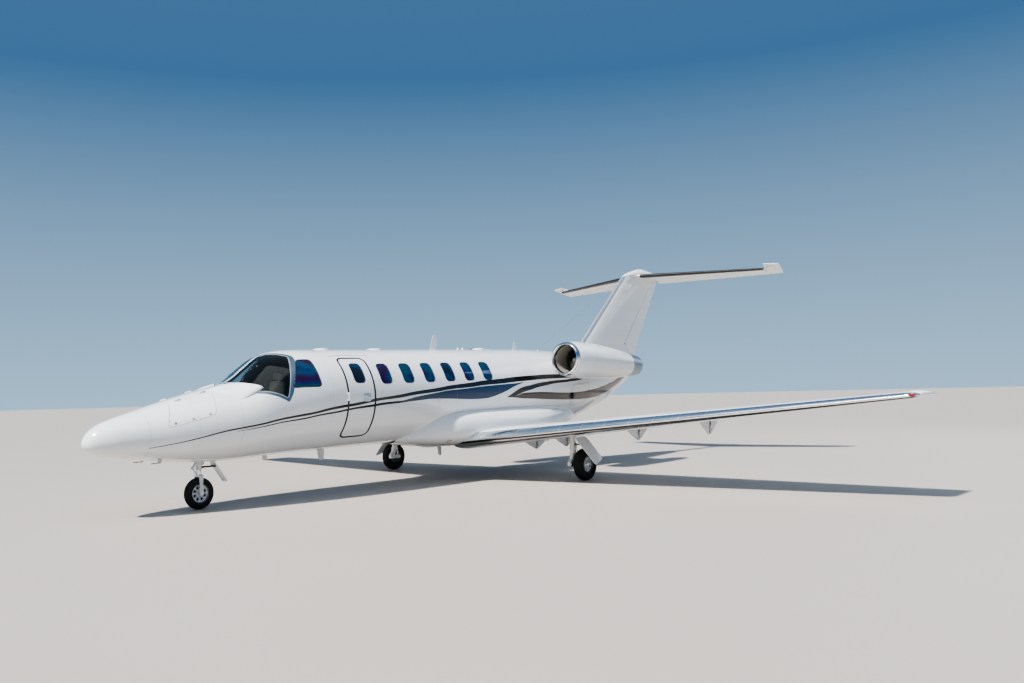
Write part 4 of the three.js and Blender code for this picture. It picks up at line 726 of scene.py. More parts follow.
nose_holes = [rounded(NOSE_DOOR, NOSE_DOOR_ROUND, side, DOOR_GAP / 2 + 0.001) for side in (1, -1)]
nose_holes += keel_hole(*LEG_BAY[:3])
nose_skin = walled_skin(
    ring_outline(RADOME_END, NOSE_END - 0.0003, 0.045), nose_holes, wall=BAY_WALL, step=0.045,
)
half, bay_front, bay_back, bay_top = LEG_BAY
bay_floor = box_form(
    (-half, bay_front - HALF_LENGTH, bay_top), (half, bay_back - HALF_LENGTH, bay_top + 0.012),
)
bay_sides = [
    box_form(
        (side * half - 0.006, bay_front - HALF_LENGTH - 0.01, 0.695),
        (side * half + 0.006, bay_back - HALF_LENGTH + 0.01, bay_top),
    )
    for side in (1, -1)
]
bay_ends = [
    box_form((-half, at - HALF_LENGTH - 0.004, 0.70), (half, at - HALF_LENGTH + 0.004, bay_top))
    for at in (bay_front, bay_back)
]
bay_deck = loft_form([
    [(x, at - HALF_LENGTH, z) for x, z in ((-wide, 1.032), (wide, 1.032), (wide, 1.048), (-wide, 1.048))]
    for at, wide in ((0.79, 0.39), (1.2, 0.50), (1.6, 0.56), (2.0, 0.62))
])

primer = cloudy("bay_primer", 4, 4, (0.42, 0.44, 0.36), (0.60, 0.62, 0.55), stretch=(3, 3, 22),
                grain=(260, 2), depth=0.0005, Roughness=0.55)
piece("nose_shell_skin", nose_skin, [paint, primer, paint], ["nose_shell"])
piece("nose_bay_walls", joined(bay_floor, *bay_sides, *bay_ends, bay_deck), primer)

# Each nose door is a curved skin with two latches along its foot. It swings up on two knuckles that stand
# beside knuckles of the shell.
NOSE_KNUCKLES = ((1.26, 69), (1.66, 72))
KNUCKLE_RADIUS = 0.0122
steel = cloudy("bright_steel", 3, 4, (0.50, 0.51, 0.53), (0.74, 0.75, 0.77), stretch=(40, 400, 40),
               rough=(0.14, 0.3), Metallic=1.0)

knuckle_middles = np.array([
    skin(at, math.radians(degrees), KNUCKLE_RADIUS + 0.0004) for at, degrees in NOSE_KNUCKLES
])
knuckle_run = knuckle_middles[1] - knuckle_middles[0]
hinge_way = knuckle_run / np.linalg.norm(knuckle_run)


def nose_knuckles(start, end, turn):
    """A knuckle on each hinge point between two distances along the hinge, and a foot from it to
    the skin a few degrees away."""
    forms = []
    for (at, degrees), middle in zip(NOSE_KNUCKLES, knuckle_middles):
        centre = (start + end) / 2
        foot = skin(at + centre, math.radians(degrees + turn), -0.006)
        forms.append(rod_form(middle + start * hinge_way, middle + end * hinge_way, KNUCKLE_RADIUS))
        forms.append(rod_form(middle + centre * hinge_way, foot, 0.007, sides=12))
    return joined(*forms)


for tag, side in BOTH:
    outline = rounded(NOSE_DOOR, NOSE_DOOR_ROUND, side, -DOOR_GAP / 2)
    leaf = walled_skin(outline, wall=0.022, step=0.04)
    piece(
        f"nose_door_{tag}_skin", leaf, [paint, primer, paint], [f"nose_door_{tag}"],
        body=f"nose_baggage_door_{tag}",
    )
pair("nose_door_{}_knuckles", nose_knuckles(-0.030, 0.030, -5.5), paint, body="nose_baggage_door_{}")
pair("nose_shell_{}_knuckles", nose_knuckles(0.0304, 0.060, 5.5), paint)

# THE COCKPIT
# Two curved windshield panes meet at a centre post, in a wide border of blue-grey erosion strip,
# and a flush dark side window follows on each side.
COCKPIT_END = 3.62
WINDSHIELD = ((2.16, 87.2), (2.74, 87.2), (3.05, 61), (2.78, 12), (2.27, 42))
SIDE_WINDOW = ((3.14, 53), (3.375, 51.5), (3.40, 17), (2.90, 21))
PANE_ROUND = (0.045, 0.055)

border = cloudy("windshield_border", 26, 4, (0.14, 0.21, 0.27), (0.24, 0.33, 0.41), rough=(0.2, 0.25),
                Metallic=0.7, Coat_Weight=0.4)
bead_pale = cloudy("glass_bead_sealant", 50, 3, (0.36, 0.38, 0.39), (0.58, 0.60, 0.61),
                   grain=(300, 2), depth=0.0003, Roughness=0.5)
rim_black = cloudy("window_rim", 60, 2, (0.012, 0.014, 0.018), (0.035, 0.04, 0.05),
                   grain=(400, 2), depth=0.0003, Roughness=0.45)
cockpit_trim = cloudy("cockpit_trim", 40, 3, (0.020, 0.021, 0.024), (0.06, 0.058, 0.056),
                      grain=(500, 2), depth=0.0005, Roughness=0.8)

cockpit_holes = [
    rounded(*window, side) for window in zip((WINDSHIELD, SIDE_WINDOW), PANE_ROUND) for side in (1, -1)
]
piece(
    "cockpit_shell_skin",
    walled_skin(
        ring_outline(NOSE_END, COCKPIT_END - 0.0003, 0.045), cockpit_holes, wall=0.058, step=0.045,
    ),
    [paint, cockpit_trim, rim_black], ["cockpit_shell"],
)


def pane(corners, radius, side, depth, thick):
    """A window pane flush in its opening, a hair smaller all round."""
    return walled_skin(rounded(corners, radius, side, -0.002), out=-depth, wall=thick, step=0.05)


# The border reaches from the centre post round the windshield to the front edge of the side window
BORDER_OUTLINE = (
    (2.115, 88.9), (2.80, 88.9), (3.135, 61.5), (3.125, 54), (2.878, 15), (2.79, 7.5), (2.235, 40),
)
BORDER_ROUND = 0.03


def surround(corners, radius, side, wide, out):
    """A flat strip on the skin along an opening, from a hair inside it to a width outside it."""
    inner = rounded(corners, radius, side, 0.001)
    return walled_skin(rounded(corners, radius, side, wide), [inner], out, 0.002, step=0.05)


for tag, side in BOTH:
    piece(
        f"windshield_{tag}_pane", pane(WINDSHIELD, PANE_ROUND[0], side, 0.004, 0.016),
        [glass, glass, rim_black], [f"windshield_{tag}"], slot="glazing",
    )
    opening = rounded(WINDSHIELD, PANE_ROUND[0], side, 0.001)
    flat_border = walled_skin(
        rounded(BORDER_OUTLINE, BORDER_ROUND, side), [opening], 0.0016, 0.002, step=0.05,
    )
    piece(f"windshield_{tag}_border", flat_border, border, slot="glazing")
    bead = surround(WINDSHIELD, PANE_ROUND[0], side, 0.009, 0.0030)
    piece(f"windshield_{tag}_bead", bead, bead_pale, slot="glazing")
    piece(
        f"cockpit_window_{tag}_pane", pane(SIDE_WINDOW, PANE_ROUND[1], side, 0.003, 0.016),
        [tint, rim_black], [f"cockpit_window_{tag}"], slot="glazing",
    )
    piece(
        f"cockpit_window_{tag}_rim", surround(SIDE_WINDOW, PANE_ROUND[1], side, 0.016, 0.0016), rim_black,
        slot="glazing",
    )

# THE CABIN
# Six flush windows a side, each a dark coated pane in a thin black rim, and one more in the entry
# door, which hinges at its front edge and swings out and forward.
CABIN_END = 9.2
CABIN_WALL = 0.078
WINDOW_FIRST = 4.665
WINDOW_PITCH = 0.516
WINDOW_WIDE = 0.235
WINDOW_LOW, WINDOW_HIGH = 16, 42
WINDOW_ROUND = 0.085
DOOR_FRONT, DOOR_BACK, DOOR_LOW, DOOR_HIGH = 3.922, 4.463, -47.5, 52
DOOR = ((DOOR_FRONT, DOOR_LOW), (DOOR_FRONT, DOOR_HIGH), (DOOR_BACK, DOOR_HIGH), (DOOR_BACK, DOOR_LOW))
DOOR_ROUND = 0.11
DOOR_WINDOW = ((4.09, 18), (4.09, 43), (4.31, 43), (4.31, 18))
DOOR_WINDOW_ROUND = 0.075
HINGE_OUT = 0.013
HINGE_AHEAD = 0.015

windows = [
    (
        (front, WINDOW_LOW), (front, WINDOW_HIGH), (front + WINDOW_WIDE, WINDOW_HIGH),
        (front + WINDOW_WIDE, WINDOW_LOW),
    )
    for front in WINDOW_FIRST + WINDOW_PITCH * np.arange(6)
]
cabin_holes = [rounded(corners, WINDOW_ROUND, side, steps=10) for corners in windows for side in (1, -1)]
cabin_holes.append(rounded(DOOR, DOOR_ROUND, 1, DOOR_GAP / 2 + 0.002))
piece(
    "cabin_shell_skin",
    walled_skin(ring_outline(COCKPIT_END, CABIN_END - 0.0003), cabin_holes, wall=CABIN_WALL, step=0.06),
    [paint, lining, seal], ["cabin_shell"],
)
for tag, side in BOTH:
    panes = [pane(corners, WINDOW_ROUND, side, 0.003, 0.012) for corners in windows]
    rims = [surround(corners, WINDOW_ROUND, side, 0.011, 0.0014) for corners in windows]
    piece(f"cabin_windows_{tag}_panes", panes, [tint, rim_black], [f"cabin_windows_{tag}"], slot="glazing")
    piece(f"cabin_windows_{tag}_rims", rims, rim_black, slot="glazing")


def hinge_of(front):
    """Where a door's upright hinge stands, just outside the skin ahead of the door's front edge."""
    return skin(front, 0.0)[0] + HINGE_OUT, front - HALF_LENGTH - HINGE_AHEAD


def swing_fit(front, back, low, high):
    """A function that draws points in to the circle that the door's back edge swings on."""
    hinge = np.array(hinge_of(front))
    angles = np.radians(np.linspace(low - 12, high + 12, 40))
    rim = skin(np.full(40, back), angles)
    radii = np.hypot(*(rim[:, :2] - hinge).T)

    def fit(points):
        arm = points[:, :2] - hinge
        reach = np.linalg.norm(arm, axis=1)
        most = np.interp(points[:, 2], rim[:, 2], radii)
        drawn = hinge + arm * np.minimum(1, (most - 0.001) / reach)[:, None]
        return np.concatenate([drawn, points[:, 2:]], 1)

    return fit


def door_knuckle(front, low, high, part):
    """The hinge barrel of a door, or the two of its shell above and below it, with their straps."""
    x, y = hinge_of(front)
    middle = skin(front, math.radians((low + high) / 2))
    tall, radius = 0.035, HINGE_OUT - 0.0006
    if part == "door":
        barrel = rod_form((x, y, middle[2] - tall), (x, y, middle[2] + tall), radius)
        strap = box_form(
            (middle[0] - 0.012, y + 0.020, middle[2] - tall), (x - 0.002, y + 0.068, middle[2] + tall),
        )
        return joined(
            barrel, strap, box_form((x - 0.010, y, middle[2] - tall), (x, y + 0.035, middle[2] + tall)),
        )
    forms = []
    for up in (1, -1):
        near, far = sorted((middle[2] + up * (tall + 0.0006), middle[2] + up * (tall + 0.03)))
        forms.append(rod_form((x, y, near), (x, y, far), radius))
        forms.append(box_form((middle[0] - 0.012, y - 0.024, near), (x - 0.002, y - 0.004, far)))
    return joined(*forms)


door_holes = [rounded(DOOR_WINDOW, DOOR_WINDOW_ROUND)]
door_leaf = walled_skin(rounded(DOOR, DOOR_ROUND, 1, -DOOR_GAP / 2), door_holes, wall=0.070, step=0.05,
                        fit=swing_fit(DOOR_FRONT, DOOR_BACK, DOOR_LOW, DOOR_HIGH))
piece("cabin_door_skin", door_leaf, [paint, lining, seal], ["cabin_door"], body="entry_door")
piece(
    "door_window_pane", pane(DOOR_WINDOW, DOOR_WINDOW_ROUND, 1, 0.003, 0.014), [tint, rim_black],
    ["door_window"], body="entry_door", slot="glazing",
)
piece(
    "door_window_rim", surround(DOOR_WINDOW, DOOR_WINDOW_ROUND, 1, 0.011, 0.0014), rim_black,
    body="entry_door", slot="glazing",
)
piece("cabin_door_knuckle", door_knuckle(DOOR_FRONT, DOOR_LOW, DOOR_HIGH, "door"), paint, body="entry_door")
piece("cabin_shell_knuckles", door_knuckle(DOOR_FRONT, DOOR_LOW, DOOR_HIGH, "shell"), paint)

# The door's edge is followed by a black rubber seal that lies in the gap, just proud of the paint
door_seal = walled_skin(
    rounded(DOOR, DOOR_ROUND, 1, 0.030), [rounded(DOOR, DOOR_ROUND, 1, 0.0050)], 0.0012, 0.0030,
    step=0.05,
)
piece("cabin_doorway_seal", door_seal, rim_black)

# THE AFT BODY
# Behind the cabin's bulkhead the body sweeps up under the engines to the tail, around a baggage
# and equipment bay with a door low on its left side.
AFT_FRONT, AFT_BACK, AFT_LOW, AFT_HIGH = 10.05, 10.72, -30, 2
AFT_ROUND = 0.06
AFT_DOOR = ((AFT_FRONT, AFT_LOW), (AFT_FRONT, AFT_HIGH), (AFT_BACK, AFT_HIGH), (AFT_BACK, AFT_LOW))
aft_hole = rounded(AFT_DOOR, AFT_ROUND, 1, DOOR_GAP / 2 + 0.002)
piece(
    "aft_body_skin", walled_skin(ring_outline(CABIN_END, BODY_END), [aft_hole], wall=0.012, step=0.06),
    [paint, primer, seal], ["aft_body"],
)
aft_leaf = walled_skin(rounded(AFT_DOOR, AFT_ROUND, 1, -DOOR_GAP / 2), wall=0.02, step=0.05,
                       fit=swing_fit(AFT_FRONT, AFT_BACK, AFT_LOW, AFT_HIGH))
piece("aft_door_skin", aft_leaf, [paint, primer, seal], ["aft_baggage_door"], body="aft_door")
piece("aft_door_knuckle", door_knuckle(AFT_FRONT, AFT_LOW, AFT_HIGH, "door"), paint, body="aft_door")
piece("aft_shell_knuckles", door_knuckle(AFT_FRONT, AFT_LOW, AFT_HIGH, "shell"), paint)
bulkhead_angles = np.arange(64) * 2 * math.pi / 64
bulkhead = loft_form(skin(np.array([[CABIN_END + 0.002], [CABIN_END + 0.02]]) + bulkhead_angles * 0,
                          bulkhead_angles + np.zeros((2, 1)), -0.02))
piece("rear_bulkhead", bulkhead, lining)


# THE HOT-AIR NOZZLES
# Ahead of each windshield a raised white cover starts flush with the nose and opens aft under a
# lip, to blow warm air over the pane. It is one thin pressed shell.
NOZZLE_LOW, NOZZLE_HIGH = 36, 78
NOZZLE_REACH = 0.36
NOZZLE_GRID = (30, 33)
NOZZLE_LIP = np.array(((36, 2.445), (53, 2.29), (78, 2.085)))      # degrees up the side, station
NOZZLE = np.array((
    # share of the reach, height of the outside, height of the inside
    (0.0, 0.001, -0.012),
    (0.25, 0.020, -0.012),
    (0.50, 0.037, -0.012),
    (0.78, 0.046, 0.010),
    (0.88, 0.046, 0.037),
    (1.0, 0.038, 0.033),
))


def walled(outer, inner, triangles):
    """A closed form between two sheets of the same triangles, with a rim along their free edges."""
    count = len(outer)
    edges = np.concatenate([triangles[:, [0, 1]], triangles[:, [1, 2]], triangles[:, [2, 0]]])
    a, b = edges[~np.isin(edges[:, 0] * count + edges[:, 1], edges[:, 1] * count + edges[:, 0])].T
    rim = np.concatenate([np.stack([b, a, a + count], -1), np.stack([b, a + count, b + count], -1)])
    points = np.concatenate([outer, inner])
    return points, outward(points, np.concatenate([triangles, triangles[:, ::-1] + count, rim]))


def nozzle_sheet(heights, narrow):
    """An arch over the skin between two angles, from one reach ahead of the lip's line back to it.
    Its height goes by the share of that reach, times a rounded box curve of the way across."""
    rows = np.linspace(0, 1, NOZZLE_GRID[0])[:, None]
    share = (1 - np.cos(np.linspace(0, math.pi, NOZZLE_GRID[1]))) / 2
    arch = np.sqrt(1 - np.abs(2 * share - 1) ** 6) * 1.04
    height = along(NOZZLE, heights, rows)
    angle = NOZZLE_LOW + narrow + share * (NOZZLE_HIGH - NOZZLE_LOW - 2 * narrow)
    at = along(NOZZLE_LIP, 1, angle) - NOZZLE_REACH * (1 - rows)
    return skin(
        at, np.radians(angle) + at * 0, np.where(height > 0, height * arch - 0.002, height),
    ).reshape(-1, 3)


nozzle = walled(nozzle_sheet(1, 0), nozzle_sheet(2, 0.5), grid_faces(*NOZZLE_GRID, False))
pair("hot_air_nozzle_{}", nozzle, paint, sharp=50)

# PROBES, BLADES AND DOMES
# A heated pitot tube stands on a short mast low on each side of the nose. Blade antennas of
# painted glass fibre and low domes are screwed along the roof and the belly.
blade_white = cloudy("antenna_paint", 38, 4, (0.66, 0.67, 0.68), (0.78, 0.79, 0.80), rough=(0.22, 0.2))
BLADES = (
    # name, root station, chord and height, tip station, chord and height, thickness
    ("antenna_belly_front", 2.82, 0.11, 0.700, 2.85, 0.07, 0.626, 0.010),
    ("antenna_belly_middle", 3.90, 0.16, 0.735, 3.94, 0.10, 0.553, 0.013),
    ("antenna_roof_middle", 6.60, 0.19, 2.412, 6.70, 0.10, 2.700, 0.016),
    ("antenna_roof_aft", 9.06, 0.12, 2.462, 9.10, 0.085, 2.635, 0.013),
    ("antenna_belly_aft", 6.74, 0.12, 0.630, 6.78, 0.08, 0.448, 0.013),
)


def blade_form(front, chord, low, tip_front, tip_chord, high, thickness):
    """A blade whose section is a pointed oval: its half width is the sine of the way along the
    chord to the power 0.7. The last of its height is rounded off."""
    t = np.array([0, 0.25, 0.5, 0.7, 0.85, 0.93, 0.975, 1.0])[:, None]
    round_off = np.sqrt(1 - np.clip((t - 0.85) / 0.152, 0, 1) ** 2)
    width = chord + (tip_chord - chord) * t
    turn = np.linspace(0, 2 * math.pi, 33)[:-1]
    share = (1 - np.cos(turn)) / 2
    share = 0.5 + (share - 0.5) * (0.7 + 0.3 * round_off)
    y = front + (tip_front - front) * t + width * share - HALF_LENGTH
    x = np.sign(np.sin(turn)) * np.abs(np.sin(turn)) ** 0.8 * thickness / 2 * round_off * (1 - 0.4 * t)
    return loft_form(np.stack([x, y, low + (high - low) * t + 0 * y], -1))


for name, *sizes in BLADES:
    piece(name, blade_form(*sizes), blade_white)

DOMES = (
    # name, station, radius, height
    ("dome_roof_front", 4.02, 0.135, 0.026),
    ("dome_roof_door", 5.21, 0.13, 0.025),
    ("dome_roof_middle", 7.98, 0.12, 0.030),
    ("stub_roof_front", 7.38, 0.022, 0.034),
    ("stub_roof_back", 7.52, 0.022, 0.034),
)
for name, at, radius, tall in DOMES:
    top = skin(at, math.pi / 2)
    slope = math.pi / 2 * np.linspace(0, 1, 9)
    cap = [(radius * math.cos(a), 0.004 + (tall - 0.004) * math.sin(a)) for a in slope]
    profile = [(0, -0.012), (radius * 1.02, -0.012), *cap[:-1], (0, tall)]
    piece(name, turned_form(profile, top, (0, -PITCH, 1), 40), blade_white)

PITOT_X, PITOT_Z, PITOT_TIP, PITOT_MAST = 0.25, 0.727, 0.84, 0.94
probe, probe_shader, probe_place = finish_of("heated_probe_metal", Metallic=1.0, Roughness=0.35)
scorch = (probe_place.parts()[1] + HALF_LENGTH).over(0.90, 0.06) + probe_place.noise(120.0, 3.0) * 0.3
feed(probe_shader, "Base Color", scorch.limited().mix((0.18, 0.15, 0.13, 1), (0.55, 0.54, 0.52, 1)))
mast_rows = np.array([PITOT_Z - 0.006, PITOT_Z, 0.80, 0.86])[:, None]
turn = np.linspace(0, 2 * math.pi, 25)[:-1]
mast = loft_form(np.stack([
    PITOT_X + 0.007 * np.sin(turn) + 0 * mast_rows,
    PITOT_MAST - HALF_LENGTH + 0.028 - 0.028 * np.cos(turn) + 0.1 * (mast_rows - PITOT_Z),
    mast_rows + 0 * turn,
], -1))
tube = turned_form(((0, 0), (0.0035, 0), (0.005, 0.004), (0.008, 0.06), (0.008, 0.135), (0, 0.15)),
                   (PITOT_X, PITOT_TIP - HALF_LENGTH, PITOT_Z), (0, 1, 0), 24)
pair("pitot_{}", joined(mast, tube), probe)

# THE BELLY FAIRING
# A glass-fibre fairing wraps the wing's centre section. Its sheet runs from where it leaves the
# body on one side, under the belly, to the same line on the other.
FAIRING = np.array((
    # station, half width, height of the widest point, bottom
    (5.35, 0.22, 0.80, 0.745),
    (5.80, 0.60, 0.90, 0.690),
    (6.30, 0.86, 0.95, 0.645),
    (6.80, 0.97, 0.96, 0.620),
    (7.60, 1.00, 0.97, 0.612),
    (8.60, 0.99, 0.98, 0.635),
    (9.40, 0.88, 1.02, 0.700),
    (10.2, 0.62, 1.06, 0.840),
    (10.9, 0.22, 1.10, 0.990),
))
FAIRING_RISE = 0.42


def fairing_ring(at, angle):
    """A rounded box round the wing's centre: cosine and sine, each to the power 0.8, times the
    half width and the rise."""
    half, middle, bottom = (along(FAIRING, column, at) for column in (1, 2, 3))
    c, s = np.cos(angle), np.sin(angle)
    rise = np.where(s > 0, FAIRING_RISE, middle - bottom)
    x = half * np.sign(c) * np.abs(c) ** 0.8
    return np.stack([x, at - HALF_LENGTH + 0 * x, middle + rise * np.sign(s) * np.abs(s) ** 0.8], -1)


def under_skin(points, at, inset):
    """Which points lie within the body's ring at their station, moved in by an inset."""
    top, bottom, half, middle = (along(BODY, column, at) for column in (1, 2, 3, 4))
    rise = np.where(points[..., 2] > middle, top - middle, middle - bottom) - inset
    return (points[..., 0] / (half - inset)) ** 2 + ((points[..., 2] - middle) / rise) ** 2 < 1


FAIRING_GRID = (90, 81)
fairing_at = np.linspace(5.42, 10.80, FAIRING_GRID[0])[:, None]
trial = np.radians(np.linspace(-90, 89, 360))
covered = under_skin(fairing_ring(fairing_at, trial), fairing_at, 0.010)
leaves = trial[np.argmax(covered, axis=1)][:, None]
leaves = np.convolve(np.pad(leaves[:, 0], 2, mode="edge"), np.ones(5) / 5, mode="valid")[:, None]
fairing_angle = -math.pi / 2 + np.linspace(-1, 1, FAIRING_GRID[1]) * (leaves + math.pi / 2)
fairing_outer = fairing_ring(fairing_at, fairing_angle).reshape(-1, 3)
fairing_inner = fairing_outer * (0.992, 1, 1) + (0, 0, 0.005)
piece(
    "belly_fairing_skin", walled(fairing_outer, fairing_inner, grid_faces(*FAIRING_GRID, False)), paint,
    ["belly_fairing"], sharp=50,
)

# THE WINGS
# Each wing is a riveted aluminium box with a polished, heated leading edge. A flap and an
# aileron fill its trailing edge, and a thick rounded tip carries the lights.


class Foil:
    """A flying surface with straight edges. Each line is its value at span 0 and its slope along
    the span: the leading edge, the chord, the height of the leading edge, the thickness."""

    def __init__(self, lead, chord, level, thickness, camber, upright=False):
        self.lead, self.chord, self.level, self.thickness = lead, chord, level, thickness
        self.camber = camber
        self.upright = upright

    def line(self, name, span):
        start, slope = getattr(self, name)
        return start + slope * span

    def height(self, span, fraction, side, thin=1.0):
        """Height over the chord line: the camber's arch, plus or minus half the thickness, which
        is the usual four-digit polynomial of the chord fraction."""
        f = np.clip(fraction, 0, 1)
        half = 5 * self.line("thickness", span) * (
            0.2969 * np.sqrt(f) - 0.126 * f - 0.3516 * f**2 + 0.2843 * f**3 - 0.1015 * f**4)
        return (4 * self.camber * f * (1 - f) + side * (half * thin + 0.001)) * self.line("chord", span)

    def place(self, span, y, height):
        if self.upright:
            return np.stack([height, y, span], -1)
        return np.stack([span + 0 * y - self.level[1] * height, y, self.line("level", span) + height], -1)

    def strip(self, span, slant, hinge, fraction, side, shorten, thin):
        """Points of one side of the skin along rings that lie slanted to the span, which cross the
        hinge line at their span."""
        across = (span - slant * (self.lead[0] + fraction * self.chord[0] - hinge)) / (
            1 + slant * (self.lead[1] + fraction * self.chord[1]))
        chord = self.line("chord", across)
        y = self.line("lead", across) + chord * (0.7 * (1 - shorten) + fraction * shorten)
        return self.place(across, y, self.height(across, fraction, side, thin))

    def rings(self, rows, keep, columns=36, closing=12):
        """Rings of the part ahead of ("front") or behind ("back") a hinge. A row is its span, the
        slant of its plane, the hinge's Y, the radius of the round nose or cove about the hinge (0
        for a flat one), and what shortens and thins the section."""
        span, slant, hinge, radius, shorten, thin = np.array(rows, float).T[:, :, None]
        tilt = np.arctan(slant)
        fraction = (hinge - self.line("lead", span)) / self.line("chord", span)
        upper, lower = self.height(span, fraction, 1), self.height(span, fraction, -1)
        half, middle = (upper - lower) / 2, (upper + lower) / 2
        back = np.sqrt(np.maximum(radius**2 - half**2, 0))
        edge_span = span + back * np.sin(tilt)
        edge = (hinge - back * np.cos(tilt) - self.line("lead", edge_span)) / self.line("chord", edge_span)
        edge = np.minimum(edge, 1)
        t = np.linspace(0, 1, columns)
        share = edge * (1 - np.cos(math.pi * t)) / 2 if keep == "front" else edge + (1 - edge) * t
        over, under = (self.strip(span, slant, hinge, share, side, shorten, thin) for side in (1, -1))
        first, last = (under[:, -1:], over[:, -1:]) if keep == "front" else (over[:, :1], under[:, :1])
        way = np.linspace(0, 1, closing + 2)[1:-1]
        straight = first + (last - first) * way[:, None]
        start = np.arctan2(half, -back)
        turn = (2 * math.pi - start) + (2 * start - 2 * math.pi) * way
        turn = turn if keep == "front" else 2 * math.pi - turn
        arc = self.place(
            span - radius * np.cos(turn) * np.sin(tilt), hinge + radius * np.cos(turn) * np.cos(tilt),
            middle + radius * np.sin(turn),
        )
        close = np.where((radius > 0)[..., None], arc, straight)
        if keep == "front":
            return np.concatenate([over[:, ::-1], under, close], 1)
        return np.concatenate([over[:, ::-1], close, under], 1)


def spread(start, end, count, **columns):
    """Rows from one place to another: each column goes in equal steps between its two values."""
    spans = np.linspace(start, end, count)
    rows = [spans] + [
        np.linspace(*columns[name], count)
        for name in ("slant", "hinge", "radius", "shorten", "thin")
    ]
    return np.stack(rows, -1)


HALF_SPAN, ROOT_CHORD, TIP_CHORD = 8.13, 2.42, 0.94
ROOT_X, ROOT_Y, ROOT_Z = 0.956, -1.136, 0.752       # where the leading edge leaves the body
SWEEP, DIHEDRAL = 0.0944, 0.0933                    # how far it runs aft and up for each metre out
wing = Foil(lead=(ROOT_Y - ROOT_X * SWEEP, SWEEP), chord=(ROOT_CHORD, (TIP_CHORD - ROOT_CHORD) / HALF_SPAN),
            level=(ROOT_Z - ROOT_X * DIHEDRAL, DIHEDRAL), thickness=(0.15, -0.04 / HALF_SPAN), camber=0.015)
PLAIN = {"slant": (0, 0), "radius": (0, 0), "shorten": (1, 1), "thin": (1, 1)}
FLAP_IN, FLAP_OUT, FLAP_FRONT = 1.09, 4.88, 0.72
AILERON_IN, AILERON_OUT, AILERON_FRONT = 4.96, 7.45, 0.76
AILERON_RADII = (0.052, 0.033)
CUT_GAP = 0.007
TIP_ROWS = (
    (8.01, 1, 1), (8.05, 0.985, 0.93), (8.08, 0.965, 0.82), (8.105, 0.93, 0.64), (8.12, 0.88, 0.42),
    (8.1294, 0.80, 0.15),
)


def chord_line(foil, fraction, span):
    return foil.line("lead", span) + fraction * foil.line("chord", span)


def whole_row(foil, span, slant, hinge):
    """A row back to the trailing edge, in the slanted plane that crosses a hinge at a span."""
    at = (span - slant * (chord_line(foil, 1, 0) - hinge)) / (1 + slant * (foil.lead[1] + foil.chord[1]))
    return at, slant, chord_line(foil, 1, at), 0, 1, 1


def trailing(foil, start, end):
    """Rows over a span where the section is whole, back to its trailing edge."""
    return spread(
        start, end, 3, **{**PLAIN, "hinge": (chord_line(foil, 1, start), chord_line(foil, 1, end))},
    )


flap_line = [chord_line(wing, FLAP_FRONT, x) for x in (FLAP_IN, FLAP_OUT)]
flap_slant = (flap_line[1] - flap_line[0]) / (FLAP_OUT - FLAP_IN)
FLAP_ROWS = {**PLAIN, "slant": (flap_slant, flap_slant)}
aileron_line = [chord_line(wing, AILERON_FRONT, x) for x in (AILERON_IN, AILERON_OUT)]
cove = [radius + CUT_GAP for radius in AILERON_RADII]
tip_rows = [(x, 0, chord_line(wing, 1, x), 0, shorten, thin) for x, shorten, thin in TIP_ROWS]
flap_cut = {**FLAP_ROWS, "hinge": [y - CUT_GAP - 0.001 for y in flap_line]}
aileron_cut = {**PLAIN, "hinge": aileron_line, "radius": cove}
wing_rows = [
    whole_row(wing, 0.5, 0, flap_line[0]),
    whole_row(wing, FLAP_IN - CUT_GAP, flap_slant, flap_line[0]),
    *spread(FLAP_IN - CUT_GAP, FLAP_OUT + CUT_GAP, 6, **flap_cut),
    whole_row(wing, FLAP_OUT + CUT_GAP, flap_slant, flap_line[1]),
    whole_row(wing, AILERON_IN - CUT_GAP, 0, 0),
    *spread(AILERON_IN - CUT_GAP, AILERON_OUT + CUT_GAP, 5, **aileron_cut),
    *trailing(wing, AILERON_OUT + CUT_GAP, 7.95),
    *tip_rows,
]
wing_rings = wing.rings(wing_rows, "front", columns=44)
flap_rings = wing.rings(
    spread(FLAP_IN, FLAP_OUT, 5, **{**FLAP_ROWS, "hinge": [y - 0.001 for y in flap_line]}), "back",
)
aileron_rings = wing.rings(
    spread(AILERON_IN, AILERON_OUT, 5, **{**PLAIN, "hinge": aileron_line, "radius": AILERON_RADII}), "back")


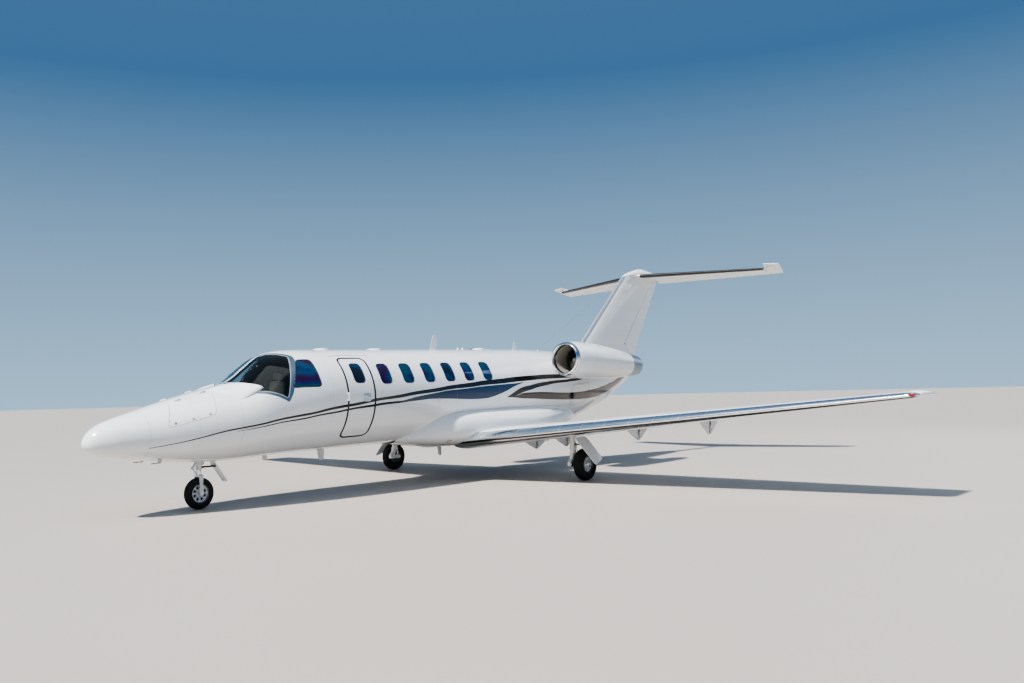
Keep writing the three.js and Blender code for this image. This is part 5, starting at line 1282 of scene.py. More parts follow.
def sheet_paint(name, axis, pitch, edge=None, edge_colour=None, edge_metal=0.0, edge_rough=0.3):
    """White gloss paint over ribs a pitch apart along an axis, 0 for X to 2 for Z, with a row of
    flush rivets beside each. An edge function of the place masks a leading edge that is bare metal
    or rubber; its colour is a function of the place too."""
    finish, shader, place = finish_of(name, Coat_Weight=0.4, Coat_Roughness=0.05)
    ribs = (abs(place.parts()[axis]) * (1 / pitch)).fraction()
    seam = ribs.near(0.5, 0.0011 / pitch, 0.0008 / pitch)
    across = ((place.parts()[0] if axis else place.parts()[1]) * 36).fraction().near(0.5, 0.09, 0.06)
    if axis == 2:
        across = (place.parts()[1] * 36).fraction().near(0.5, 0.09, 0.06)
    soft_edge = 0.003 / pitch
    beside_seam = ribs.near(0.5, 0.014 / pitch, soft_edge) * (1 - ribs.near(0.5, 0.009 / pitch, soft_edge))
    rivets = across * beside_seam
    dust = place.stretched((0.6, 0.25, 0.6)).noise(4.0, 5.0)
    marks = (seam * 0.55 + rivets * 0.22 + dust * 0.06).limited()
    colour = marks.mix(WHITE, SEAM)
    height = place.noise(1.8, 1.0) * 0.5 - seam * 0.4 - rivets * 0.3
    rough = dust * 0.10 + seam * 0.2 + 0.12
    if edge is not None:
        mask = edge(place)
        border_line = (1 - abs(mask * 2 - 1)).limited()
        colour = border_line.mix(mask.mix(colour, edge_colour(place)), (0.10, 0.10, 0.11, 1))
        rough = rough + mask * (edge_rough - 0.16)
        height = height * (1 - mask)
        if edge_metal:
            feed(shader, "Metallic", mask * edge_metal)
    feed(shader, "Base Color", colour)
    feed(shader, "Roughness", rough.limited())
    raise_by(shader, height, 0.0009)
    return finish


def wing_edge(place):
    """The polished leading edge: all that lies ahead of a line a little behind the front."""
    x, y, _ = place.parts()
    back = y - abs(x) * wing.lead[1] - wing.lead[0]
    return (0.185 - abs(x) * 0.012 - back).over(0, 0.004)


def wing_edge_metal(place):
    """Bright polished metal, with a dark line along its underside that is a painted reflection of the
    shadowed ground beneath.
    """
    x, y, z = place.parts()
    over_lead = z - abs(x) * wing.level[1] - wing.level[0]
    streaks = place.stretched((0.4, 4.0, 4.0)).noise(5.0, 4.0)
    bright = streaks.mix((0.74, 0.76, 0.79, 1), (0.90, 0.91, 0.93, 1))
    # The dark band low on the leading edge is a painted reflection of the shadowed ground.
    return (over_lead + 0.034).near(0, 0.015, 0.004).mix(bright, (0.05, 0.055, 0.06, 1))


wing_paint = sheet_paint(
    "wing_skin_paint", 0, 0.42, wing_edge, wing_edge_metal, edge_metal=1.0, edge_rough=0.2,
)
control_paint = sheet_paint("control_surface_paint", 0, 0.31)


def plate_form(outline, low, high):
    """A flat plate: an outline of Y and Z, from a low X to a high one."""
    outline = np.array(outline)
    return loft_form([np.concatenate([np.full((len(outline), 1), x), outline], 1) for x in (low, high)])


def wing_at(x, fraction, lift=0.0):
    """A point on the wing's middle line, lifted by a height."""
    arch = 4 * wing.camber * fraction * (1 - fraction) * wing.line("chord", x)
    return np.array([x, chord_line(wing, fraction, x), wing.line("level", x) + arch + lift])


# The flap hinges far below the wing on plates that hang from its underside. Each plate stands
# between two sloped arms of the flap and is joined to them by a bolt.
FLAP_TRACKS = (1.15, 1.87, 3.42, 4.77)
FLAP_DROP = 0.27
PLATE_HALF, ARM_NEAR, ARM_FAR = 0.0115, 0.018, 0.028
plates, arms, bolts, bolt_ends = [], [], [], []
for x in FLAP_TRACKS:
    _, py, pz = wing_at(x, FLAP_FRONT, -FLAP_DROP)
    _, back_y, back_z = wing_at(x, 0.94)
    reach = 0.22 * wing.line("chord", x)
    turn = np.radians(np.linspace(215, 395, 10))
    nose = np.stack([0.024 * np.cos(turn), 0.024 * np.sin(turn)], -1).tolist()
    outline = [
        (-reach, 0.75 * FLAP_DROP), (-0.018 - reach * 0.35, 0.055), *nose, (0.010, 0.030), (-0.014, 0.07),
        (-0.014, FLAP_DROP - 0.02),
    ]
    plates.append(plate_form([(py + y, pz + z) for y, z in outline], x - PLATE_HALF, x + PLATE_HALF))
    bolts.append(rod_form((x - 0.0135, py, pz), (x + 0.0135, py, pz), 0.017, sides=6, round_off=0.1))
    for side in (1, -1):
        near, far = sorted((x + side * ARM_NEAR, x + side * ARM_FAR))
        arms.append(plate_form(
            [
                (py - 0.015, pz - 0.012), (py + 0.012, pz - 0.020), (back_y, back_z - 0.022),
                (back_y, back_z - 0.004), (py + 0.06, pz + FLAP_DROP - 0.03), (py + 0.010, pz + 0.020),
                (py - 0.012, pz + 0.012),
            ],
            near, far,
        ))
        head = x + side * ARM_FAR
        bolt_ends.append(rod_form((head, py, pz), (head + side * 0.006, py, pz), 0.011, sides=6))

pad_x, pad_y, pad_z = wing_at(1.9, 0.42)
pad_under = pad_z - wing.line("chord", 1.9) * wing.line("thickness", 1.9) * 0.5
jack_pad = turned_form(((0, -0.025), (0.033, -0.025), (0.035, -0.023), (0.035, 0.03), (0, 0.03)),
                       (pad_x, pad_y, pad_under), (0, 0, 1), 32)
pair("wing_{}_skin", loft_form(wing_rings), wing_paint, ["wing_{}"])
pair("flap_plates_{}", joined(*plates, jack_pad), control_paint)
pair("flap_bolts_{}", joined(*bolts), steel)
pair("flap_{}_skin", loft_form(flap_rings), control_paint, ["flap_{}"], "flap_{0[0]}")
pair("flap_{}_arms", joined(*arms), control_paint, body="flap_{0[0]}")
pair("flap_{}_bolt_heads", joined(*bolt_ends), steel, body="flap_{0[0]}")
pair("aileron_{}_skin", loft_form(aileron_rings), control_paint, ["aileron_{}"], "aileron_{0[0]}")

# THE FIN AND THE RUDDER
# The fin is a swept, riveted surface with a polished front edge. The rudder hinges on a slanted
# line in its trailing edge, and both its ends are cut square to that line.
FRONT_STATION, FRONT_Z, FRONT_RISE = 11.936, 3.047, 0.895        # a point on the fin's front edge
BACK_STATION, BACK_Z, BACK_RISE = 13.72, 2.359, 1.5              # and on its back edge
front_foot = FRONT_STATION - FRONT_Z / FRONT_RISE
back_foot = BACK_STATION - BACK_Z / BACK_RISE
fin_foil = Foil(lead=(front_foot - HALF_LENGTH, 1 / FRONT_RISE),
                chord=(back_foot - front_foot, 1 / BACK_RISE - 1 / FRONT_RISE),
                level=(0, 0), thickness=(0.078, 0.005), camber=0.0, upright=True)
RUDDER_LOW = np.array((2.693, 13.335 - HALF_LENGTH))
RUDDER_HIGH = np.array((4.170, 14.64 - HALF_LENGTH))
RUDDER_RADII = np.array((0.064, 0.036))
rudder_slope = (RUDDER_HIGH[1] - RUDDER_LOW[1]) / (RUDDER_HIGH[0] - RUDDER_LOW[0])
rudder_tilt = math.hypot(1, rudder_slope)
end_gap = np.array((1, rudder_slope)) * CUT_GAP / rudder_tilt


def cut_line(corner, z):
    """The Y at a height of the line through a corner that lies square to the rudder's hinge."""
    return corner[1] - (z - corner[0]) / rudder_slope


def whole_rows(foil, *spans):
    """Rows whose sections run back to the trailing edge, lying along the flow."""
    return [(x, 0, chord_line(foil, 1, x), 0, 1, 1) for x in spans]


low_corner, high_corner = RUDDER_LOW - end_gap, RUDDER_HIGH + end_gap
foot_z = 2.345
cove_rows = spread(low_corner[0], high_corner[0], 8, **{
    **PLAIN, "hinge": (low_corner[1], high_corner[1]), "radius": (RUDDER_RADII + CUT_GAP) * rudder_tilt})
fin_rows = [
    *whole_rows(fin_foil, 2.25, foot_z),
    *[
        (z, 0, cut_line(low_corner, z), 0, 1, 1)
        for z in np.linspace(foot_z + 0.004, low_corner[0] - 0.002, 4)
    ],
    *cove_rows, *whole_rows(fin_foil, high_corner[0] + 0.001, 4.35),
]
fin_top = [(z, 0, cut_line(high_corner, z), 0, 1, 1) for z in np.linspace(4.02, high_corner[0], 4)]
fin_box = joined(loft_form(fin_foil.rings(fin_rows, "front", columns=40)),
                 loft_form(fin_foil.rings(fin_top, "back", columns=10)))
rudder_rows = spread(
    RUDDER_LOW[0], RUDDER_HIGH[0], 7,
    **{
        **PLAIN, "slant": (rudder_slope, rudder_slope), "hinge": (RUDDER_LOW[1], RUDDER_HIGH[1]),
        "radius": RUDDER_RADII,
    },
)
rudder_form = loft_form(fin_foil.rings(rudder_rows, "back", columns=20))


def fin_edge(place):
    """The fin's bare front edge."""
    _, y, z = place.parts()
    return (0.10 - (y - z * fin_foil.lead[1] - fin_foil.lead[0])).over(0, 0.004)


def pale_metal(place):
    return place.stretched((3, 0.6, 0.6)).noise(9.0, 4.0).mix((0.66, 0.67, 0.69, 1), (0.82, 0.83, 0.85, 1))


fin_paint = sheet_paint("fin_paint", 2, 0.34, fin_edge, pale_metal, edge_metal=0.8, edge_rough=0.3)
piece("fin_skin", fin_box, fin_paint, ["fin"])
piece("rudder_skin", rudder_form, sheet_paint("rudder_paint", 2, 0.29), ["rudder"], body="rudder_body")

# THE TAILPLANE AND THE ELEVATORS
# The tailplane crosses the top of the fin under a smooth bullet. Its front edges wear black rubber
# boots. The elevators hang drooped, as they do when parked, and each takes in the whole tip.
TAIL_TIP = 3.073
TAIL_FRONT, TAIL_CHORD, TAIL_LEVEL = (13.88, 14.945), (1.23, 0.6526), (4.4, 4.336)       # middle, tip
tail_foil = Foil(
    lead=(TAIL_FRONT[0] - HALF_LENGTH, (TAIL_FRONT[1] - TAIL_FRONT[0]) / TAIL_TIP),
    chord=(TAIL_CHORD[0], (TAIL_CHORD[1] - TAIL_CHORD[0]) / TAIL_TIP),
    level=(TAIL_LEVEL[0], (TAIL_LEVEL[1] - TAIL_LEVEL[0]) / TAIL_TIP), thickness=(0.1, 0), camber=0.0,
)
ELEVATOR_IN, ELEVATOR_OUT, ELEVATOR_FRONT = 0.15, 2.79, 0.66
ELEVATOR_RADII = np.array((0.042, 0.024))
ELEVATOR_DROOP = math.radians(15)
elevator_hinge = [chord_line(tail_foil, ELEVATOR_FRONT, x) for x in (ELEVATOR_IN, ELEVATOR_OUT)]
elevator_slope = (elevator_hinge[1] - elevator_hinge[0]) / (ELEVATOR_OUT - ELEVATOR_IN)
SLANTED = {**PLAIN, "slant": (elevator_slope, elevator_slope)}


def tip_row(beyond, thin, shorten):
    """A slanted row across the whole section, so far outboard of the elevator's hinge end."""
    past_hinge = 0.22
    span = ELEVATOR_OUT + beyond - past_hinge * elevator_slope
    y = elevator_hinge[1] + beyond * elevator_slope + past_hinge
    return span, elevator_slope, y, 0, shorten, thin


tail_rows = np.concatenate([
    whole_rows(tail_foil, 0.0, ELEVATOR_IN - CUT_GAP),
    spread(ELEVATOR_IN - CUT_GAP, ELEVATOR_OUT + 0.0005, 6, **{
        **SLANTED, "hinge": elevator_hinge, "radius": ELEVATOR_RADII + CUT_GAP}),
])
tail_form = loft_form(tail_foil.rings(tail_rows, "front", columns=36))
back_rows = spread(
    ELEVATOR_IN, ELEVATOR_OUT + 0.008, 6,
    **{**SLANTED, "hinge": elevator_hinge, "radius": ELEVATOR_RADII},
)
TAIL_END = (
    # beyond the hinge's end, thin, shorten
    (0.008, 1, 1), (0.20, 1, 1), (0.262, 0.95, 1), (0.30, 0.80, 1), (0.325, 0.55, 0.995), (0.339, 0.2, 0.98),
)
horn_rings = tail_foil.rings([tip_row(*row) for row in TAIL_END], "front", columns=30)
hinge_start = np.array((ELEVATOR_IN, elevator_hinge[0], tail_foil.line("level", ELEVATOR_IN)))
hinge_end = np.array((ELEVATOR_OUT, elevator_hinge[1], tail_foil.line("level", ELEVATOR_OUT)))
droop = Matrix.Rotation(-ELEVATOR_DROOP, 3, Vector(hinge_end - hinge_start))


def drooped(form):
    """The form turned down about the elevator's hinge."""
    return (form[0] - hinge_start) @ np.array(droop).T + hinge_start, form[1]


elevator_form = drooped(joined(
    loft_form(tail_foil.rings(back_rows, "back", columns=16)), loft_form(horn_rings),
))


def boot_edge(place):
    """The rubber boots: the tailplane's front edge, from beside the bullet to before its tips."""
    x, y, _ = place.parts()
    back = y - abs(x) * tail_foil.lead[1] - tail_foil.lead[0]
    return (0.13 - abs(x) * 0.014 - back).over(0, 0.003) * (abs(x) - 0.16).over(0, 0.003)


def boot_rubber(place):
    return place.noise(40.0, 4.0).mix((0.010, 0.010, 0.012, 1), (0.035, 0.035, 0.038, 1))


tail_paint = sheet_paint("tailplane_paint", 0, 0.30, boot_edge, boot_rubber, edge_rough=0.45)
piece("tailplane_skin", joined(tail_form, mirrored(tail_form)), tail_paint, ["tailplane"])
elevator_paint = sheet_paint("elevator_paint", 0, 0.24)
pair("elevator_{}_skin", elevator_form, elevator_paint, ["elevator_{}"], "elevator_{0[0]}")

BULLET = np.array((
    # station, half width, rise, height
    (13.42, 0.012, 0.0098, 4.355),
    (13.55, 0.055, 0.0490, 4.375),
    (13.80, 0.090, 0.1029, 4.405),
    (14.20, 0.110, 0.1470, 4.450),
    (14.65, 0.100, 0.1225, 4.445),
    (15.05, 0.060, 0.0686, 4.450),
    (15.25, 0.015, 0.0147, 4.455),
))
bullet_at = np.linspace(*BULLET[[0, -1], 0], 60)[:, None]
turn = np.arange(40) * 2 * math.pi / 40
bullet_half, bullet_rise, bullet_level = (along(BULLET, column, bullet_at) for column in (1, 2, 3))
bullet = loft_form(np.stack([bullet_half * np.cos(turn), bullet_at - HALF_LENGTH + 0 * turn,
                             bullet_level + bullet_rise * np.sin(turn)], -1))
piece("tail_bullet", bullet, composite, slot="composite")

# THE WIRE ANTENNA
# A bare steel wire with an insulating bead near each end runs from a tapered post behind the
# cabin to the top of the fin's front edge.
WIRE_POST, WIRE_POST_TOP, WIRE_END = 9.92 - HALF_LENGTH, 2.5, 4.29
wire_end = (0, chord_line(fin_foil, 0, WIRE_END) - 0.004, WIRE_END)
wire_start = (0, WIRE_POST, WIRE_POST_TOP - 0.008)
post = turned_form(
    ((0, -0.045), (0.016, -0.045), (0.014, -0.036), (0.009, -0.028), (0.005, -0.002), (0.003, 0), (0, 0)),
    (0, WIRE_POST, WIRE_POST_TOP), (0, 0, 1), 24,
)
wire_run = np.array(wire_end) - wire_start
way = wire_run / np.linalg.norm(wire_run)
BEAD = ((0, 0), (0.003, 0), (0.0055, 0.012), (0.0055, 0.05), (0.003, 0.062), (0, 0.062))
bead_places = (wire_start + way * 0.25, np.array(wire_end) - way * 0.30)
beads = [turned_form(BEAD, bead_at, way, 16) for bead_at in bead_places]
piece(
    "antenna_wire_run", [joined(rod_form(wire_start, wire_end, 0.002, sides=10), *beads), post],
    [steel, blade_white], ["antenna_wire"], slot="fan_metal",
)

# THE ENGINES
# Each nacelle is a painted cowl with a polished intake lip, a grey acoustic duct and a bare
# blue-grey tail end. The fan's twisted blades turn behind the lip on a pale spinner.
ENGINE_X = 1.266
ENGINE_FRONT = np.array((ENGINE_X, 9.10 - HALF_LENGTH, 2.227))
ENGINE_WAY = np.array((0.0, 0.999004, -0.044612))
COWL = np.array((
    # distance from the front, radius
    (0.002, 0.298), (0.006, 0.308), (0.024, 0.324), (0.060, 0.335), (0.120, 0.345), (0.250, 0.357),
    (0.400, 0.364), (0.800, 0.366), (1.400, 0.338), (1.850, 0.300), (2.300, 0.250), (2.620, 0.2125),
))
DUCT = np.array((
    (0.002, 0.294), (0.012, 0.282), (0.040, 0.272), (0.160, 0.262), (0.400, 0.265), (0.600, 0.268),
    (0.660, 0.310), (1.400, 0.310), (2.300, 0.235), (2.620, 0.2065),
))
SIDES = 72


def engine_turned(profile, sides=SIDES):
    return turned_form(profile, ENGINE_FRONT, ENGINE_WAY, sides)


cowl_at = np.concatenate([COWL[:4, 0], np.linspace(0.09, 2.62, 44)])
duct_at = np.concatenate([np.linspace(2.62, 0.68, 20), np.linspace(0.66, 0.06, 16), DUCT[2::-1, 0]])
shell_profile = np.concatenate([
    np.stack([along(COWL, 1, cowl_at), cowl_at], -1),
    np.stack([np.interp(duct_at, DUCT[:, 0], DUCT[:, 1]), duct_at], -1),
])
shell_points, shell_faces = engine_turned(shell_profile)
row_zones = np.where(np.arange(len(shell_profile)) < len(cowl_at), 0, 1)
shell_zones = np.tile(np.repeat(row_zones, SIDES), 2)
shell_form = (shell_points, shell_faces, shell_zones, np.full((len(shell_faces), 3, 3), np.nan))


def down_engine(place):
    """The distance of a place from the engine's front, along its axis."""
    _, y, z = place.parts()
    return (y - ENGINE_FRONT[1]) * ENGINE_WAY[1] + (z - ENGINE_FRONT[2]) * ENGINE_WAY[2]


cowl, cowl_shader, cowl_place = finish_of("cowl_paint", Coat_Weight=0.4, Coat_Roughness=0.05)
distance = down_engine(cowl_place)
LIP_END, DOORS_FRONT, DOORS_BACK, TAIL_JOINT = 0.085, 0.66, 1.52, 2.20
lip = (LIP_END - distance).over(0, 0.003)
tail_end = distance.over(TAIL_JOINT, 0.003)
seams = distance.near(LIP_END + 0.001, 0.0018, 0.001).larger(distance.near(TAIL_JOINT, 0.0022, 0.001))
seams = seams.larger(distance.near(DOORS_FRONT, 0.0014, 0.001))
seams = seams.larger(distance.near(DOORS_BACK, 0.0014, 0.001))
middle_seam = (abs(cowl_place.parts()[0]) - ENGINE_X).near(0.0, 0.0014, 0.001)
on_doors = distance.over(DOORS_FRONT, 0.001) * (1 - distance.over(DOORS_BACK, 0.001))
seams = seams.larger(middle_seam * on_doors)
smudge = cowl_place.stretched((1, 0.4, 1)).noise(6.0, 5.0)
burnt = smudge.mix((0.20, 0.25, 0.30, 1), (0.34, 0.40, 0.46, 1))
white = (seams * 0.7 + smudge * 0.05).limited().mix(WHITE, (0.16, 0.17, 0.18, 1))
bright = smudge.mix((0.78, 0.79, 0.81, 1), (0.90, 0.90, 0.91, 1))
feed(cowl_shader, "Base Color", lip.mix(tail_end.mix(white, burnt), bright))
feed(cowl_shader, "Metallic", lip.larger(tail_end * 0.85))
feed(cowl_shader, "Roughness", smudge * 0.10 + 0.11 + tail_end * 0.20 - lip * 0.06)
raise_by(cowl_shader, cowl_place.noise(2.4, 1.0) * 0.4 * (1 - lip) - seams * 0.5, 0.0010)

duct, duct_shader, duct_place = finish_of("intake_duct")
distance = down_engine(duct_place)
lip = (0.10 - distance).over(0, 0.003)
holes = duct_place.cells(160).over(0.35, 0.1)
liner = holes.mix((0.16, 0.15, 0.13, 1), (0.33, 0.31, 0.27, 1))
shade = distance.over(0.62, 0.02)
feed(duct_shader, "Base Color", lip.mix(shade.mix(liner, (0.12, 0.12, 0.125, 1)), (0.82, 0.82, 0.84, 1)))
feed(duct_shader, "Metallic", lip.larger(shade * 0.6))
feed(duct_shader, "Roughness", 0.48 - lip * 0.38)

core_metal, core_shader, core_place = finish_of("hot_section_metal", Metallic=0.9)
heat = core_place.noise(14.0, 5.0)
feed(
    core_shader, "Base Color",
    heat.ramp((0.3, (0.10, 0.09, 0.085)), (0.5, (0.22, 0.19, 0.17)), (0.7, (0.16, 0.15, 0.17))),
)
feed(core_shader, "Roughness", heat * 0.3 + 0.3)
raise_by(core_shader, heat, 0.0008)
CORE = np.array((
    (0.522, 0.060), (0.560, 0.075), (0.620, 0.225), (1.00, 0.232), (1.70, 0.234), (2.10, 0.170),
    (2.28, 0.120), (2.42, 0.012),
))
core_at = np.linspace(0.53, 2.42, 50)
core_profile = [(0, 0.522), (0.06, 0.522), *zip(along(CORE, 1, core_at), core_at), (0, 2.42)]
core_side, core_up = across_axis(ENGINE_WAY)
# Four struts hold the core at each of two places: how far back, and from which radius to which
STRUTS = ((2.16, 0.14, 0.246), (1.0, 0.20, 0.308))
STRUT_TURN = 0.39
struts = []
for k in range(8):
    angle = k * math.pi / 4 + STRUT_TURN
    spoke = math.cos(angle) * core_side + math.sin(angle) * core_up
    back, inner, reach = STRUTS[k % 2]
    middle = ENGINE_FRONT + ENGINE_WAY * back
    across = np.cross(spoke, ENGINE_WAY)
    turn = np.arange(16) * math.pi / 8
    foil = np.cos(turn)[:, None] * ENGINE_WAY * 0.05 + np.sin(turn)[:, None] * across * 0.009
    struts.append(loft_form([middle + spoke * r + foil for r in (inner, (inner + reach) / 2, reach)]))
core_form = joined(engine_turned(core_profile, 48), *struts)

fan_dark = cloudy(
    "fan_blade_titanium", 2, 4, (0.16, 0.165, 0.17), (0.33, 0.335, 0.345), stretch=(60, 4, 60),
    rough=(0.22, 0.2), Metallic=1.0,
)
spinner_grey, spinner_shader, spinner_place = finish_of("spinner_paint", Roughness=0.3)
ring_mark = down_engine(spinner_place).near(0.372, 0.006, 0.002)
chips = spinner_place.noise(70.0, 4.0)
feed(
    spinner_shader, "Base Color",
    (ring_mark * 0.8 + chips * 0.1).limited().mix((0.50, 0.50, 0.49, 1), (0.04, 0.04, 0.045, 1)),
)
raise_by(spinner_shader, chips, 0.0004)

FAN_BLADES = 24
FAN_PLANE = 0.470


def blade_of_fan(k):
    """One blade from hub to tip. Its chord line turns from nearly along the axis at the hub to
    nearly across it at the tip, and its section is a thin oval, bowed forward."""
    radii = np.linspace(0.070, 0.2545, 9)
    share = (radii - radii[0]) / (radii[-1] - radii[0])
    chord = 0.074 + 0.020 * np.sin(share * math.pi * 0.7)
    tilt = np.radians(22 + 40 * share)
    s = np.concatenate([np.linspace(-0.5, 0.5, 9), np.linspace(0.5, -0.5, 9)[1:-1]])
    side = np.concatenate([np.ones(9), -np.ones(7)])
    thick = side * (0.25 - s**2) * 0.026 * (1.3 - share[:, None]) + (0.25 - s**2) * 0.05
    angle = k * 2 * math.pi / FAN_BLADES
    out = math.cos(angle) * core_side + math.sin(angle) * core_up
    across = np.cross(out, ENGINE_WAY)
    ahead = (chord[:, None] * s) * np.cos(tilt)[:, None] - thick * np.sin(tilt)[:, None]
    aside = (chord[:, None] * s) * np.sin(tilt)[:, None] + thick * np.cos(tilt)[:, None]
    return loft_form(ENGINE_FRONT + ENGINE_WAY * (FAN_PLANE + ahead[..., None]) + out * radii[:, None, None]
                     + across * aside[..., None])


fan_blades = joined(*[blade_of_fan(k) for k in range(FAN_BLADES)])
SPINNER = (
    (0, 0.330), (0.012, 0.331), (0.026, 0.338), (0.045, 0.362), (0.062, 0.392), (0.075, 0.425),
    (0.082, 0.460), (0.084, 0.514), (0.05, 0.5196), (0, 0.5196),
)

# The pylon is a thin fairing from the body to the cowl, whose end follows the cowl's roundness
pylon_foil = Foil(
    lead=(9.75 - HALF_LENGTH, 0), chord=(1.842, -0.3096), level=(2.126, 0.0387), thickness=(0.075, 0),
    camber=0.0,
)
pylon_rings = pylon_foil.rings(whole_rows(pylon_foil, 0.50, 0.64, 0.76, 0.86, 0.93), "front", columns=36)
last = pylon_rings[-1]
past_front = (last - ENGINE_FRONT) @ ENGINE_WAY
axis_level = ENGINE_FRONT[2] + ENGINE_WAY[2] * past_front
reach = np.sqrt((along(COWL, 1, past_front) - 0.004) ** 2 - (last[:, 2] - axis_level) ** 2)
last[:, 0] = ENGINE_X - reach
pylon_rings[-2, :, 0] = np.minimum(pylon_rings[-2, :, 0], last[:, 0] - 0.01)
pylon_form = loft_form(pylon_rings)
pylon_paint = sheet_paint("pylon_paint", 1, 0.38)

pair("nacelle_{}_shell", shell_form, [cowl, duct], ["nacelle_{}"])
pair("pylon_{}_skin", pylon_form, pylon_paint, ["pylon_{}"])
pair("engine_core_{}_case", core_form, core_metal, ["engine_core_{}"], slot="engine_metal")
pair("fan_{}_blades", fan_blades, fan_dark, ["fan_{}"], "fan_{0[0]}", slot="fan_metal")
pair("fan_{}_spinner", engine_turned(SPINNER, 40), spinner_grey, body="fan_{0[0]}", slot="fan_metal")

# THE COCKPIT AND THE CABIN, INSIDE
# A dark glareshield hangs over the instrument panel, which carries flat displays, with a console
# and two control wheels. The aisle lies lower than the seats and is carpeted.
carpet, carpet_shader, carpet_place = finish_of("aisle_carpet", Roughness=0.95, Sheen_Weight=0.4)
pile = carpet_place.noise(650.0, 2.0)
feed(
    carpet_shader, "Base Color",
    (pile * 0.7 + carpet_place.noise(5.0, 3.0) * 0.3).mix((0.06, 0.065, 0.08, 1), (0.16, 0.16, 0.17, 1)),
)
raise_by(carpet_shader, pile, 0.003)
floor_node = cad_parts["cabin_floor"]
floor_node.data.materials.clear()
floor_node.data.materials.append(carpet)

shield_green, shield_shader, shield_place = finish_of("glareshield_vinyl", Roughness=0.7)
grain = shield_place.cells(520)
feed(
    shield_shader, "Base Color",
    shield_place.noise(9.0, 3.0).mix((0.030, 0.042, 0.036, 1), (0.055, 0.068, 0.060, 1)),
)
raise_by(shield_shader, grain, 0.0007)
panel_grey = cloudy("instrument_panel_paint", 60, 3, (0.075, 0.08, 0.085), (0.12, 0.125, 0.13),
                    grain=(900, 1), depth=0.0003, Roughness=0.5)
display, display_shader, display_place = finish_of("display_glass", Roughness=0.06, Coat_Weight=1.0)
px, _, pz = display_place.parts()
scan = (pz * 90).fraction().near(0.5, 0.05, 0.04) * (px * 7).fraction().near(0.5, 0.35, 0.02)
feed(display_shader, "Base Color", scan.mix((0.004, 0.006, 0.010, 1), (0.02, 0.06, 0.07, 1)))
feed(display_shader, "Roughness", display_place.noise(30.0, 3.0) * 0.1 + 0.02)


def soft(value, power):
    """The value to a power, with its sign kept."""
    return np.sign(value) * np.abs(value) ** power


def boxed(count, power):
    """Cosines and sines round a circle, each to a power, which makes a rounded box of it."""
    turn = np.arange(count) * 2 * math.pi / count
    return soft(np.cos(turn), power), soft(np.sin(turn), power)


def box_loft(rows, power, x=0.0):
    """A closed form of rounded boxes across the jet: station, half width, half height, height."""
    c, s = boxed(40, power)
    at, wide, tall, level = np.array(rows).T[:, :, None]
    return loft_form(np.stack([x + wide * c, at - HALF_LENGTH + 0 * c, level + tall * s], -1))


shield_form = box_loft(
    (
        (2.16, 0.36, 0.004, 1.648), (2.20, 0.43, 0.012, 1.650), (2.32, 0.50, 0.015, 1.656),
        (2.44, 0.55, 0.017, 1.655), (2.50, 0.57, 0.020, 1.648), (2.515, 0.565, 0.014, 1.642),
    ),
    0.35,
)
shield_x = shield_form[0][:, 0]
shield_form[0][:, 2] += 0.012 - 0.10 * shield_x**2
panel_face = box_loft(
    (
        (2.372, 0.47, 0.235, 1.4), (2.388, 0.515, 0.242, 1.4), (2.400, 0.515, 0.242, 1.4),
        (2.404, 0.508, 0.235, 1.4),
    ),
    0.25,
)
CONSOLE_FOOT = 0.9
console = box_loft([
    (at, 0.105, 0.5 * (top - CONSOLE_FOOT), (top + CONSOLE_FOOT) / 2)
    for at, top in ((2.41, 1.28), (2.46, 1.27), (2.60, 1.20), (2.74, 1.18), (2.77, 1.12))
], 0.22)


DISPLAYS = ((-0.36, 0.115), (-0.12, 0.098), (0.12, 0.098), (0.36, 0.115))       # middle, half width
DISPLAY_TALL, DISPLAY_Z = 0.085, 1.49


def panel_boxes(grow, front, deep):
    """A low box at each display's place, grown round it, whose outer edge is cut back a little."""
    forms = []
    for x, half in DISPLAYS:
        rows = [(front + out, half + grow - cut, DISPLAY_TALL + grow - cut, DISPLAY_Z)
                for out, cut in ((0, 0), (deep * 0.6, 0), (deep, 0.003))]
        forms.append(box_loft(rows, 0.2, x))
    return joined(*forms)


knobs = [rod_form((x, 2.402 - HALF_LENGTH, z), (x, 2.424 - HALF_LENGTH, z), 0.009, 0.007, sides=14)
         for z in (1.345, 1.285) for x in np.linspace(-0.46, 0.46, 16)]
levers = [
    joined(
        rod_form((x, 2.58 - HALF_LENGTH, 1.19), (x, 2.60 - HALF_LENGTH, 1.29), 0.006, sides=10),
        rod_form(
            (x - 0.018, 2.60 - HALF_LENGTH, 1.295), (x + 0.018, 2.60 - HALF_LENGTH, 1.295), 0.013,
            sides=14,
        ),
    )
    for x in (-0.03, 0.03)
]
piece("glareshield", shield_form, shield_green, ["instrument_panel"], slot="panel")
piece(
    "instrument_panel_face", [panel_face, console, panel_boxes(0.010, 2.402, 0.014)],
    [panel_grey, panel_grey, rim_black], slot="panel",
)
piece("instrument_displays", panel_boxes(0.0, 2.410, 0.0085), display, slot="panel")
piece("instrument_knobs", joined(*knobs, *levers), rim_black, slot="panel")


def tube_form(path, radius, sides=12):
    """A closed tube along a path of points, its rings square to the way between their neighbours."""
    path = np.array(path, float)
    ways = np.gradient(path, axis=0)
    ways /= np.linalg.norm(ways, axis=1, keepdims=True)
    side = np.cross(ways, (0.03, 0.91, 0.4))
    side /= np.linalg.norm(side, axis=1, keepdims=True)
    up = np.cross(ways, side)
    turn = np.arange(sides) * 2 * math.pi / sides
    radius = np.broadcast_to(radius, len(path))[:, None, None]
    return loft_form(
        path[:, None] + radius * (
            np.cos(turn)[:, None] * side[:, None] + np.sin(turn)[:, None] * up[:, None]
        )
    )


